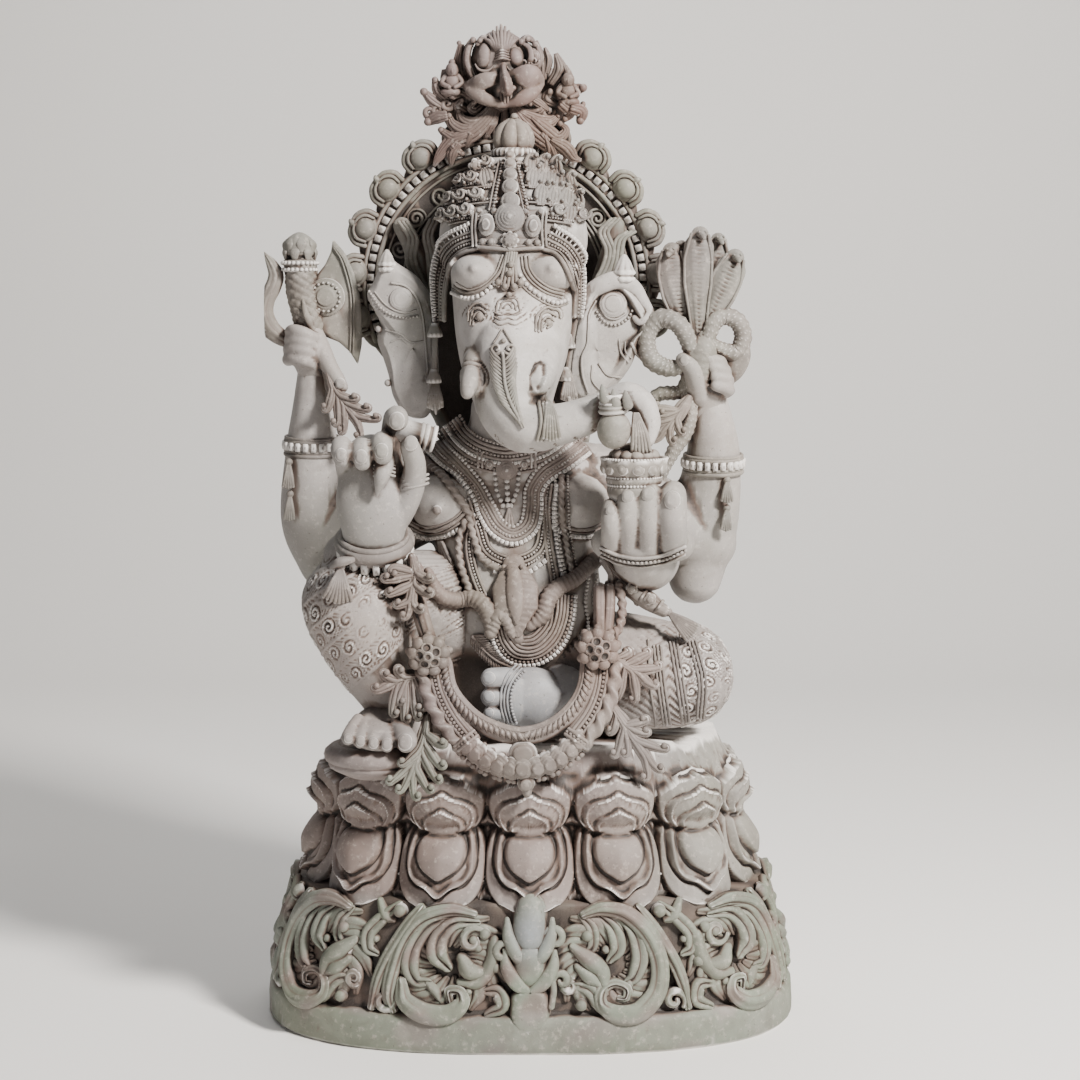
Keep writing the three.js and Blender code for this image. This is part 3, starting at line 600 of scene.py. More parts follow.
def lotus():
    """Two rings of petals on a loft of ovals: each petal is a set of shields one on the other, worked as a
    height on the loft from the distance inside each shield's outline."""
    c = Carving()
    total = ROUND * 0.85
    edge = np.linspace(0, 1, 420)
    places = np.sort(np.r_[-edge[::-1] * 0.55, edge[1:] * 0.55, np.linspace(0.55, 1.45, 120)[1:-1]])
    walk = places * total / 2
    angle = np.interp(walk / total * ROUND, np.r_[WALK, WALK[1:] + ROUND], np.r_[ANGLES, ANGLES[1:] + TAU])
    turn = walk / total * PETALS - 0.13 * np.sin(TAU * walk / total)
    phase = (turn + 0.5) % 1 - 0.5
    third = np.abs(phase) * 6
    low = np.clip(third.astype(int), 0, 2)
    part = ease(third - low) * 0.5 + (third - low) * 0.5
    loft = []
    for a, b, z, out in LOTUS:
        z, out = np.asarray(z, float), np.asarray(out, float)
        loft.append(np.stack([np.full(len(angle), a), np.full(len(angle), b),
                              z[low] * (1 - part) + z[low + 1] * part,
                              out[low] * (1 - part) + out[low + 1] * part], -1))
    loft = np.array(loft)
    rows = np.array([0, 0.25, 0.5, 0.75, *np.linspace(1, 6, 108), 6.25, 6.5, 6.75, 7, 7.3, 7.6, 8])
    below = np.clip(rows.astype(int), 0, len(LOTUS) - 2)
    f = (rows - below)[:, None, None]
    pad = np.concatenate([2 * loft[:1] - loft[1:2], loft, 2 * loft[-1:] - loft[-2:-1]])
    p0, p1, p2, p3 = (pad[below + k] for k in range(4))
    smooth = 0.5 * (2 * p1 + (p2 - p0) * f + (2 * p0 - 5 * p1 + 4 * p2 - p3) * f**2
                    + (3 * p1 - p0 - 3 * p2 + p3) * f**3)
    field = 0.55 * smooth + 0.45 * (p1 * (1 - f) + p2 * f)
    half = field[..., :2]
    z = field[..., 2]
    across = phase * 2 * PETAL_HALF
    across = np.broadcast_to(across, z.shape)
    waist = WAIST - 6 + 11 * np.abs(2 * phase) ** 2
    down, up = waist - z, z - waist
    # Lower petals: three shields, the outer two with a curled lip at the foot
    outer = shield(across, down, 52, 91, 3, 0, 2.8, 52, 66)
    middle = shield(across, down, 40, 68, 5, 4, 2.3, 36, 58)
    bulb = shield(across, down, 28, 48, 4, 0, 2.1, 22, 27)
    foot = ease((down - 42) / 14)
    low_petal = (lip(outer, 8, 1.0, 4) + lip(middle, 3.5, 1.6, 4.5) + lip(bulb, 2.6, 0.4, 4)
                 + 7 * np.sqrt(np.clip(bulb / 27, 0, 1)) - 3 * ease((middle - 2) / 8) * ease(-bulb / 6)
                 + 5 * np.exp(-((middle - 4) / 4) ** 2) * np.exp(-(across / 24) ** 2) * foot
                 + 5 * np.exp(-((outer - 4) / 4) ** 2) * np.exp(-(across / 34) ** 2) * foot)
    leaf = 15 * (1 - (down - 70) / 38)
    between = PETAL_HALF - np.abs(across)
    low_petal += np.where((outer < 0) & (down > 62), 4 * ease((leaf - between) / 3)
                          + 2 * np.exp(-(between / 1.8) ** 2), 0)
    # Upper petals: domes with two ridged arches, each with a peak, and a pointed leaf between the domes
    dome = shield(across, up, 50, 60, 5, 0, 2.3, 24, 32)
    arch = shield(across, up, 39, 44, 6, 0, 2.0, 17, 26)
    inner = shield(across, up, 24, 26, 5, 0, 2.0, 8, 17)
    high_petal = (lip(dome, 7, 0.8, 4) + lip(arch, 2.2, 2.4, 2) + lip(inner, 2, 2.2, 1.6)
                  + 8 * np.sqrt(np.clip(dome / 48, 0, 1)))
    spread = np.abs(across) / np.maximum(up, 6)
    veins = np.exp(-((spread * 3.2 - np.round(spread * 3.2)) / 0.07) ** 2)
    high_petal += 0.5 * veins * (dome > 4)
    leaf = 18 * (1 - (up - 22) / 46)
    high_petal += np.where((dome < 0) & (up > 20), 4 * ease((leaf - between) / 3)
                           + 2 * np.exp(-(between / 2) ** 2), 0)
    blend = ease((up + 4) / 8)
    relief = low_petal * (1 - blend) * ease((rows[:, None] - 0.2) / 0.5) + high_petal * blend
    relief = relief * (1 - ease((rows[:, None] - 6) / 0.4)) - 3
    relief += 3 * np.exp(-((up - 4) / 5) ** 2) - 4 * np.exp(-((up + 3) / 3) ** 2)
    worn = np.abs(rough(np.stack([half[..., 0] * angle, z, z], -1), 30, 5))
    relief += np.where(rows[:, None] > 6.2, -2.5 * worn, -0.35 * worn)
    facing = facing_of(angle)[None]
    plan = oval(half[..., 0], half[..., 1], np.broadcast_to(angle, z.shape))
    grid = np.concatenate([plan, z[..., None]], -1) + facing * (field[..., 3] + relief)[..., None]
    broken = ease((grid[..., 0] - 120) / 60) * (rows[:, None] > 6.3)
    grid[..., 2] -= broken * np.abs(rough(grid, 60, 12)) * 7
    inner_rows = np.array([0.8, 0.5, 0.2, 0])[:, None, None]
    top = grid[-1:] * (inner_rows * [1, 1, 0] + [0, 0, 1])
    top[..., 2] -= np.abs(rough(top, 40, 8)) * 2
    grid = np.concatenate([(grid[:1] * [0, 0, 1]), grid, top[:3], top[3:] * 0 + [0, 0, 348]])
    c.sheet(grid)
    pad = [(0, 314), (32, 316), (46, 323), (53, 327), (55, 331), (54, 333), (58, 336), (60, 341), (58, 348),
           (52, 353), (44, 355),
           (42, 354), (39, 356), (0, 357)]
    c.turned(pad, (-182, -124, 0), around=56,
             relief=lambda r, a: 0.5 * np.cos(36 * a) * (r > 52))
    finish_piece("lotus", c, 0.55)


# Places taken from the photograph: the camera that took it stands at CAMERA, tilted down by TILT

CAMERA = np.array((12.0, -2600.0, 880.0))
TILT = np.radians(6.5934)
FOCUS = 2144.53   # focal length in pixels
FRAME = 1080      # pixels along each side of the frame
PIXEL_MM = 1.17   # mm to a pixel on the figure


def sight(spots):
    """Direction from the camera through pixels (u, v), scaled so that its depth part is 1."""
    spots = np.asarray(spots, float)
    u, v = (spots[:, 0] - FRAME / 2) / FOCUS, (FRAME / 2 - spots[:, 1]) / FOCUS
    ahead = np.column_stack([u, np.cos(TILT) + v * np.sin(TILT), v * np.cos(TILT) - np.sin(TILT)])
    return ahead / ahead[:, 1:2]


def seen(spots):
    """Pixels with a depth, (u, v, y), as points in mm."""
    spots = np.asarray(spots, float)
    return CAMERA + sight(spots) * (spots[:, 2:3] - CAMERA[1])


TREES = {}


def tree_of(name):
    """The ray tree of a finished piece, kept by name."""
    if name not in TREES:
        TREES[name] = BVHTree.FromObject(bpy.data.objects[name], bpy.context.evaluated_depsgraph_get())
    return TREES[name]


def hung(line, first, last=None):
    """A line of pixels as points in mm, their depth running evenly from first to last."""
    return seen(np.column_stack([line, np.linspace(first, first if last is None else last, len(line))]))


def keep_tree(name, points, faces):
    """Keeps a ray tree of points and triangles by name."""
    TREES[name] = BVHTree.FromPolygons((points * MM).tolist(), faces.tolist())


def skin(soft, voxel, smooth, tree=None):
    """Overlapping sheets melted into one skin, as a new carving; a ray tree of it may be kept by name."""
    points, faces, _ = melted(soft, voxel, smooth)
    if tree:
        keep_tree(tree, points, faces)
    return Carving().block(points, faces)


def laid(names, spots, lift=0.0, step=2.0, calm=3, depth=None):
    """A line through pixels (u, v), laid on the front of the named pieces as the camera sees them and
    lifted by lift mm; where it misses them it keeps the depth beside it. Returns points and smoothed
    normals."""
    spots = np.asarray(spots, float)
    line = spots[:1]
    if len(spots) > 1:
        flat = np.column_stack([spots[:, :2], np.zeros(len(spots))])
        line = along(flat, max(3, int(length_of(flat)[-1] * PIXEL_MM / step) + 2))
    ways = sight(line)
    deep, normals = np.full(len(line), np.nan), np.tile(np.array(FRONT, float), (len(line), 1))
    trees = [tree_of(name) for name in names]
    for i, way in enumerate(ways):
        ray = Vector(way).normalized()
        hits = [tree.ray_cast(Vector(CAMERA * MM), ray) for tree in trees]
        hits = [hit for hit in hits if hit[0] is not None]
        if hits:
            nearest = min(hits, key=lambda hit: hit[3])
            deep[i], normals[i] = nearest[0][1] / MM, nearest[1]
    found = ~np.isnan(deep)
    if depth is not None:
        depth = stretched(np.ravel(depth), len(line))
    if found.any():
        deep = np.interp(np.arange(len(deep)), np.flatnonzero(found), deep[found])
        deep = deep if depth is None else np.minimum(deep, depth)
    else:
        deep = np.full(len(line), -20.0) if depth is None else depth
    if calm > 1 and len(line) > 2 * calm:
        window = np.ones(2 * calm + 1) / (2 * calm + 1)
        pad = np.pad(deep, calm, mode="edge")
        deep = np.convolve(pad, window, "valid")
        normals = unit(np.stack([np.convolve(np.pad(n, calm, mode="edge"), window, "valid")
                                 for n in normals.T], -1)
                       + np.array(FRONT) * 0.15)
    return CAMERA + ways * (deep - CAMERA[1])[:, None] + normals * lift, normals


# The figure's flesh

AXIS = -20   # the figure's own axis stands a little left of the plinth's middle


def loft(c, rows, around=64, power=2.2):
    """Ovals joined along a line: each row is (x, y, z, half width, half depth), its plan |x/a|^power +
    |y/b|^power = 1, and the rows between follow a spline."""
    line = along(rows, 60)
    angle = np.arange(around) * TAU / around
    e = 2 / power
    plan = np.stack([np.sign(np.sin(angle)) * np.abs(np.sin(angle)) ** e,
                     -np.sign(np.cos(angle)) * np.abs(np.cos(angle)) ** e], -1)
    grid = np.zeros((len(line) + 2, around, 3))
    grid[1:-1] = line[:, None, :3]
    grid[1:-1, :, :2] += line[:, None, 3:5] * plan
    grid[0], grid[-1] = line[0, :3], line[-1, :3]
    c.sheet(grid)


def limb_coordinates(points, path, up):
    """For each point the nearest place on a limb's axis: distance along it, angle round it from the side
    direction, and distance off it."""
    line = along(path, 70)[:, :3]
    tangent, side, rise = frames(line, up)
    near = np.empty(len(points), int)
    for start in range(0, len(points), 20000):
        part = points[start:start + 20000]
        near[start:start + 20000] = np.argmin(((part[:, None] - line[None]) ** 2).sum(-1), axis=1)
    off = points - line[near]
    s = length_of(line)[near] + np.einsum("ij,ij->i", off, tangent[near])
    across, out = np.einsum("ij,ij->i", off, side[near]), np.einsum("ij,ij->i", off, rise[near])
    return s, np.arctan2(out, across), np.hypot(across, out)


def ridge(distance, width):
    """A rounded ridge: exp(−(distance/width)²)."""
    return np.exp(-(distance / width) ** 2)


def whorl(x, y, radius, pitch=6.0, turn=1):
    """A carved spiral about the middle: cos(2π·r/pitch − turn·angle), fading out at its radius."""
    r = np.hypot(x, y)
    return np.cos(TAU * r / pitch - turn * np.arctan2(y, x)) * ease((radius - r) / 3)


def whorl_row(along_band, across_band, cell, height, pitch=5.5):
    """A row of spirals down a band, each in its own cell and turning the other way from its neighbour,
    with the corners between them filled by slanting leaves."""
    number = np.floor(along_band / cell)
    x = along_band - (number + 0.5) * cell
    turn = np.where(number % 2 == 0, 1, -1)
    sway = turn * cell * 0.12
    inside = np.hypot(x, across_band - sway) / (cell * 0.48)
    leaf = np.cos(TAU * (along_band + 1.3 * np.abs(across_band)) / (pitch * 1.1))
    return np.where(inside < 1, whorl(x, across_band - sway, cell * 0.48, pitch, turn), 0.35 * leaf) * height


TORSO = [(-12, 0, 342, 118, 84), (-12, -8, 405, 112, 86), (-14, -16, 455, 101, 92),
         (-14, -18, 505, 102, 96), (-15, -10, 555, 98, 84), (-18, 0, 600, 108, 72), (-24, 8, 645, 118, 66),
         (-22, 2, 676, 102, 66), (-20, -8, 704, 68, 64), (-20, -14, 722, 54, 58), (-20, -18, 752, 50, 50)]


ARMS = (   # line and radii of each upper arm and its forearm: the raised pair, then the pair in front
    ([(-84, 30, 644), (-180, 42, 612), (-258, 56, 570)], (50, 46, 40)),
    ([(-256, 58, 546), (-270, 52, 600), (-270, 44, 680), (-266, 36, 746), (-263, 28, 806)],
     (34, 40, 33, 25, 18)),
    ([(84, 30, 644), (150, 44, 606), (216, 58, 572)], (52, 50, 42)),
    ([(206, 62, 526), (216, 58, 596), (226, 46, 676), (220, 34, 730), (212, 28, 776)],
     (34, 43, 34, 27, 21)),
    ([(-84, 10, 644), (-158, 0, 604), (-204, -22, 566)], (46, 41, 34)),
    ([(-204, -10, 562), (-196, -78, 572), (-182, -114, 590)], (34, 36, 27)),
    ([(84, 10, 644), (130, -8, 598), (142, -52, 566)], (48, 43, 36)),
    ([(144, -34, 566), (136, -90, 568), (132, -118, 576)], (38, 40, 35)),
)


def torso():
    """Body, neck and four arms: a loft of ovals and round limbs melted into one skin."""
    c = Carving()
    loft(c, TORSO)
    for side in (-1, 1):
        c.ball((-24 + side * 78, -42, 628), (42, 36, 37), 28, 16)
        c.ball((-24 + side * 84, -78, 628), (6, 5, 6), 12, 8)
        c.ball((-18 + side * 84, 20, 660), (46, 48, 38), 24, 14)
    c.ball((-12, -26, 480), (92, 92, 66), 36, 20)
    for line, radii in ARMS:
        c.tube(line, radii, 26, 7)
    points, faces, normals = melted(c, 3.6, 5)
    # Navel
    dent = ridge(np.hypot(points[:, 0] + 14, points[:, 2] - 474), 7) * (points[:, 1] < -60)
    points -= normals * (dent * 6)[:, None]
    finish_piece("torso", Carving().block(points, faces), 0.5)


HEAD = [(-20, -10, 706, 46, 50), (-20, -18, 728, 46, 52), (-20, -38, 748, 47, 62), (-21, -52, 772, 54, 82),
        (-20, -48, 800, 63, 84), (-20, -38, 836, 69, 79), (-20, -26, 881, 73, 73), (-20, -8, 908, 78, 80),
        (-20, 6, 936, 89, 84), (-20, 8, 972, 85, 78), (-20, 10, 1008, 66, 58), (-20, 10, 1040, 30, 28)]
TRUNK = [(-21, -92, 812), (-23, -106, 776), (-22, -120, 746), (-4, -134, 726), (33, -140, 729),
         (68, -140, 740), (92, -138, 751), (112, -142, 762), (130, -148, 752), (138, -154, 730),
         (135, -160, 712)]
TRUNK_RADII = (46, 43, 38, 31, 24.5, 21.5, 19, 17, 15, 12, 8)


LEFT_SOCKET = [(-58, -96, 800), (-64, -118, 786), (-67, -134, 774)]
LEFT_TUSK = [(-65, -116, 794), (-68, -138, 782), (-70, -148, 772), (-71, -152, 766)]
RIGHT_SOCKET = [(12, -96, 800), (12, -116, 786), (9, -132, 776)]


def head(sizes):
    """Face, trunk and tusks: the head's ovals, brow bosses, cheeks and a tapering trunk melted into one
    skin, then cut with folds round the trunk, lids round the eyes and waves on the brow."""
    c = Carving()
    loft(c, HEAD)
    for side in (-1, 1):
        c.ball((AXIS + side * 42, -66, 901), (31, 31, 24), 30, 18)
        c.ball((AXIS + side * 45, -95, 907), (6, 5, 6), 12, 8)
        c.ball((AXIS + side * 40, -88, 853), (8, 7, 6), 16, 10)
    c.tube(TRUNK, TRUNK_RADII, 36, 6)
    c.tube(LEFT_SOCKET, (20, 17, 13), 24, 4)
    c.tube(LEFT_TUSK, (10, 10.5, 10, 8), 22, 4)
    c.tube(RIGHT_SOCKET, (22, 20, 16), 24, 4)
    c.ball((-2, -104, 742), (20, 26, 16), 24, 12)
    points, faces, normals = melted(c, 2.3, 5)
    x, y, z = points.T
    s, a, off = limb_coordinates(points, np.array(TRUNK), (0, -1, 0.4))
    on_trunk = ease((60 - off) / 8) * ease((s - 70) / 25) * (y < -60)
    fold = ridge((s + 4 * np.sin(2 * a)) % 21 - 10, 1.3) * on_trunk * (np.sin(a) < 0.3)
    cuts = sizes.folds / MM * fold
    for side, tilt in ((-1, 0.25), (1, -0.25)):
        across, rise = side * (x - AXIS) - 40, z - 852
        across, rise = across + tilt * rise, rise - tilt * across * 0.4
        around = np.hypot(across, rise * 1.25)
        fan = (around > 7) * (around < 22) * (y < -60) * ease((rise + 6) / 6)
        cuts += ridge((around - 8) % 4.6 - 2.3, 1.0) * fan
        cuts += 1.6 * ridge(around - 7, 1.5) * (y < -60)
    swirl = np.hypot((x + 24), (z - 868) * 1.25)
    between = (y < -70) * (z < 876) * (z > 838)
    cuts += 0.8 * ridge(swirl % 7 - 3.5, 1.1) * ease((24 - np.abs(x + 24)) / 5) * between
    ring = np.hypot(x + 68, z - 782)
    lip_of_socket = (ring > 13) * (ring < 23) * (y < -95)
    cuts += 1.6 * ridge((ring - 14) % 4.4 - 2.2, 1.1) * lip_of_socket * ease((z - 770) / 8)
    points -= normals * cuts[:, None]
    across, rise = (x - 10 - 0.22 * (z - 786)) / 11, (z - 786) / 18
    broken = np.maximum(np.abs(across) + 0.35 * np.abs(rise),
                        np.abs(rise) + 0.3 * np.abs(across) * np.sign(rise))
    socket = ease((1 - broken) * 3) * (y < -95)
    points += np.outer(socket * (5 + 0.8 * rough(points, 14, 41)), (-0.35, 1, 0))
    finish_piece("head", Carving().block(points, faces), 0.65)


LEFT_EAR = [(-174, 920), (-190, 891), (-197, 876), (-188, 857), (-181, 841), (-185, 823), (-180, 806),
            (-172, 780), (-166, 753), (-150, 731), (-124, 731), (-112, 774), (-112, 823), (-116, 865),
            (-134, 896), (-156, 912)]
RIGHT_EAR = [(46, 817), (54, 849), (72, 877), (90, 892), (112, 895), (133, 872), (146, 844), (136, 826),
             (129, 808), (121, 789), (104, 767), (85, 752), (58, 748), (44, 774)]
EARS = {"left": LEFT_EAR, "right": RIGHT_EAR}   # outlines seen from the front, (x, z)


# Pixels, kind, size and lift in mm
EAR_LINES = (
    ([(392, 283), (405, 286), (416, 297), (422, 314), (425, 340), (427, 365), (428, 384)], "rib", 1.8, 0.8),
    ([(370, 292), (380, 307), (392, 315), (405, 318), (417, 316)], "fine", 2.0, 1.2),
    ([(375, 292), (384, 303), (394, 310), (405, 313), (416, 310)], "rib", 1.2, 0.5),
    ([(386, 330), (400, 334), (411, 342), (423, 341)], "rib", 1.1, 0.3),
    ([(391, 342), (402, 338), (413, 344)], "rib", 1.0, 0.3),
    ([(597, 312), (605, 322), (616, 325), (627, 319), (632, 311)], "fine", 2.2, 1.2),
    ([(600, 308), (607, 317), (616, 319), (625, 314)], "rib", 1.6, 0.8),
    ([(595, 301), (589, 314), (588, 330), (587, 344), (582, 358), (583, 376), (588, 392)], "rib", 1.9, 0.8),
    ([(619, 340), (621, 352), (628, 362)], "rib", 1.6, 0.6),
    ([(625, 342), (626, 352), (631, 358)], "rib", 1.3, 0.6),
    ([(599, 364), (607, 375), (620, 377)], "rib", 1.6, 0.6),
    ([(592, 366), (592, 380), (600, 390)], "rib", 1.4, 0.6),
    ([(632, 344), (635, 352), (640, 357)], "rib", 2.4, 1.0),
)
# Pixels of the right ear's rolled rim
EAR_RIM = [(586, 306), (592, 294), (604, 286), (618, 282), (632, 289), (643, 302), (648, 314), (641, 322),
           (636, 317)]
EAR_PEARLS = ((379, 329, 2), (388, 383, 2))   # pixel and depth
EAR_BUDS = ((387, 266, 1.0), (624, 275, 1.25))   # pixel and scale
# Radius and height in mm
BUD = [(0, -8), (9, -7), (11, -3), (8.5, -1), (11.5, 2), (9, 6), (6, 13), (2.4, 19), (0, 20)]


def ears():
    """Two broad ears: a smooth convex front drawn in from the outline, the right one sunk inside a rolled
    rim, with cut lines, a ringed disc, bead rows and a bud on top; plain behind."""
    c = Carving()
    for name, outline in EARS.items():
        outline = np.array(outline, float)
        closed = np.vstack([outline[-2:], outline, outline[:3]])
        ring = along(np.column_stack([closed, np.zeros(len(closed))]), 360)
        first = np.argmin(np.hypot(*(ring[:120, :2] - outline[0]).T))
        last = 220 + np.argmin(np.hypot(*(ring[220:, :2] - outline[0]).T))
        ring = ring[first:last, :2]
        middle = ring.mean(axis=0) + (8 if name == "left" else -8, -12)
        share = (1 - np.linspace(0, 1, 44) ** 1.15)[:, None]
        plan = middle + (ring - middle)[None] * share[..., None]
        inset = np.hypot(*(ring - middle).T)[None] * (1 - share)
        rise = 15 * np.sqrt(np.clip(inset / 9, 0, 1)) + 5 * ease(inset / 50)
        if name == "right":
            rise -= 9 * ease((inset - 9) / 8) * ease((plan[..., 0] - 62) / 20) * ease((plan[...,
                                                                                            1] - 770) / 30)
        uneven = rough(np.stack([plan[..., 0], plan[..., 1], 0 * inset], -1), 46, 17)
        rise += 1.2 * uneven * ease((inset - 6) / 10)
        front = np.stack([plan[..., 0], 10 - rise, plan[..., 1]], -1)
        back = np.stack([plan[::-4, :, 0], 20 + 3 * np.sqrt(np.clip(inset[::-4] / 12, 0, 1)),
                         plan[::-4, :, 1]], -1)
        front[-1], back[0] = front[-1].mean(axis=0), back[0].mean(axis=0)
        c.sheet(np.concatenate([front[::-1], back[::-1]]))
    keep_tree("flap", *c.arrays())
    on = ["flap"]
    for line, kind, size, lift in EAR_LINES:
        strap(c, on, line, ((0, kind, size, lift),), calm=2)
    boss(c, on, (401, 299), 14, 2.6, ((1, 0.5), (0.82, 0.3), (0.6, 0.2)), lift=0.2, around=40, rings=22)
    boss(c, on, (613, 304), 17, 4, ((1, 0.4), (0.85, 0.3), (0.6, 0.3)), lift=0.5, around=40, rings=22)
    rim, _ = laid(on, EAR_RIM, 3, calm=4)
    c.tube(rim, (6, 10, 11, 11, 10, 9, 7, 5, 3.5), 22, 3, 0.7)
    for u, v, y in EAR_PEARLS:
        c.ball(seen([(u, v, y)])[0], (4.5, 4.5, 4.5), 14, 9)
    for u, v, size in EAR_BUDS:
        bud = np.array(BUD) * size
        c.turned(bud, seen([(u, v, 0)])[0], around=32, relief=lambda r, a: 0.6 * np.cos(8 * a) * (r > 4))
    finish_piece("ears", c, 0.8)


RAISED = [(-50, 0, 450), (-120, -40, 500), (-200, -86, 520)]   # thigh up to the raised knee
SHIN = [(-214, -90, 570), (-209, -92, 528), (-190, -92, 470), (-162, -84, 400), (-156, -78, 360)]
FOLDED = [(40, -26, 424), (110, -54, 426), (184, -58, 422)]


HEMS = (27, 53, 79, 105, 131, 157)   # mm down the shin


def legs(sizes):
    """Both legs in patterned cloth, melted into one skin: the raised knee and shin with rows of spirals,
    and the folded leg with ringed bands, leaf bands and spirals, all cut by their place along and round
    each limb."""
    c = Carving()
    limb = dict(around=28, step=7)
    c.tube(RAISED, (72, 71, 52), **limb)
    c.tube(SHIN, (30, 62, 57, 38, 33), **limb)
    c.tube(FOLDED, (74, 72, 61), **limb)
    c.ball((184, -50, 424), (60, 58, 62), 30, 18)
    points, faces, normals = melted(c, 2.1, 7)
    x, y, z = points.T
    s, a, _ = limb_coordinates(points, SHIN, (-0.2, -1, 0))
    girth = a * 52
    slant = s + 0.35 * girth
    hem = sum(ridge(slant - k, 1.4) for k in HEMS)
    cell = (slant - 27) % 26 - 13
    rows_of = whorl_row(girth + 1000 + 9 * np.floor((slant - 27) / 26), cell, 21, 1.3, 5.2)
    shin_cloth = 1.2 * hem + np.where(slant < 24, 0.5 * np.cos(TAU * (s + 6 * np.sin(girth / 9)) / 7),
                                      np.where((slant < 157) & (np.abs(cell) < 11), rows_of, 0.2))
    s, a, _ = limb_coordinates(points, [(-30, 0, 424), *FOLDED, (250, -60, 420)], (0, -1, 0.3))
    girth = a * 58
    lean = s + (z - 424) * 0.12
    chevron = np.cos(TAU * (girth / 11 + np.abs(lean - 204) / 12))
    panel = whorl_row(girth + 1003, lean - 229, 23, 1.8, 6.2)
    knee = whorl_row(girth + 1015, (lean - 243) % 25 - 12.5, 24, 1.5, 5.8)
    thigh = 0.6 * np.cos(TAU * (girth + 0.9 * s) / 9)
    folded_cloth = np.where(lean < 192, thigh,
                            np.where(lean < 216, chevron, np.where(lean < 242, panel, knee)))
    cloth = np.where(x < -78, shin_cloth, folded_cloth)
    plain = ease((30 - y) / 20) * np.where(x < -78, 1, ease((x - 20) / 20))
    wear = 0.75 + 0.45 * rough(points, 60, 19)
    points += normals * (cloth * plain * wear * sizes.cloth / MM)[:, None]
    finish_piece("legs", Carving().block(points, faces), 0.65)


# Carving laid on by places in the photograph: every list of (u, v) below is a line of pixels there

def dense(spots, gap=2.0):
    """A spline through pixels, with one point every gap pixels or so."""
    spots = np.asarray(spots, float)
    flat = np.column_stack([spots[:, :2], np.zeros(len(spots))])
    return along(flat, max(5, int(length_of(flat)[-1] / gap) + 2))[:, :2]


def twist(depth, pitch, strands=2):
    """The relief of a rope: depth·cos(strands·a − 2π·s/pitch)."""
    return lambda s, a: depth * np.cos(strands * a - TAU * s / pitch)


def strap(c, names, spots, rows, calm=3, depth=None, spread=(1,)):
    """Rows side by side along one line of pixels, laid on the named pieces as the camera sees them: each
    row is (pixels across, kind, size in mm, lift in mm), and spread scales the pixels across from end to
    end."""
    line = dense(spots)
    normal = across_of(line) * stretched(spread, len(line))[:, None]
    for across, kind, size, lift in rows:
        path, facing = laid(names, line + normal * across, lift, calm=calm, depth=depth)
        if kind == "rib":
            c.tube(path, (size,), 7, 2.6, up=facing)
        elif kind == "rope":
            c.tube(path, (size,), 12, size * 0.5, up=facing, relief=twist(size * 0.22, size * 2.4))
        elif kind == "band":
            c.tube(path, (size,), 14, 4, 0.4, facing)
        else:
            c.beads(path, size, 2.05, facing, kind)


def boss(c, names, spot, radius, height, terraces=((1, 1),), edge=None, lift=0.0, around=32,
         depth=None, rings=10):
    """A round boss laid on the named pieces at one pixel; radius and height in mm."""
    point, facing = laid(names, [spot], lift, depth=depth)
    c.dome(point[0], unit(facing[0] + np.array(FRONT) * 0.6), radius, height, edge, terraces, around, rings)


MEDALLION = ((1, 0.35), (0.8, 0.2), (0.6, 0.2), (0.4, 0.15), (0.2, 0.1))


def scallops(count, depth=0.1):
    """An edge of rounded lobes: 1 + depth·|cos(count·a/2)|."""
    return lambda a: 1 - depth + 2 * depth * np.abs(np.cos(count * a / 2))


def frond(c, line, radii, depth, veins=2, knob=0.0, names=None, lift=2.0):
    """A ribbed leaf along a line of pixels, from depth[0] to depth[1] or laid on named pieces: strands
    side by side that spread with its half width (radii, in mm) and meet at its tip, where a knob of that
    radius may sit."""
    spots = dense(line, 3)
    share = np.linspace(0, 1, len(spots))
    half = stretched(radii, len(spots))
    normal = across_of(spots)
    strands = veins + 2
    thick = half * 1.45 / strands
    for k in np.linspace(-1, 1, strands):
        path = spots + normal * (k * (half - thick) / PIXEL_MM)[:, None]
        if names is None:
            deep = np.linspace(depth[0], depth[-1], len(spots)) + half * 0.35 * k ** 2 - half * 0.3
            points = seen(np.column_stack([path, deep]))
        else:
            points, _ = laid(names, path, lift, calm=2)
        c.tube(points, np.interp(np.linspace(0, 1, 9), share, thick), 9, 2.8)
    if knob:
        tip = (seen([(*spots[-1], depth[-1])]) if names is None else laid(names, [spots[-1]], lift)[0])[0]
        c.ball(tip + (0, -knob * 0.5, 0), (knob,) * 3, 12, 8)


LOBE_SHAPE = ((0, 0.35, 0.62, 0.85, 1), (0.5, 0.9, 1.5, 0.95, 0.5))   # share of its length, share of the size


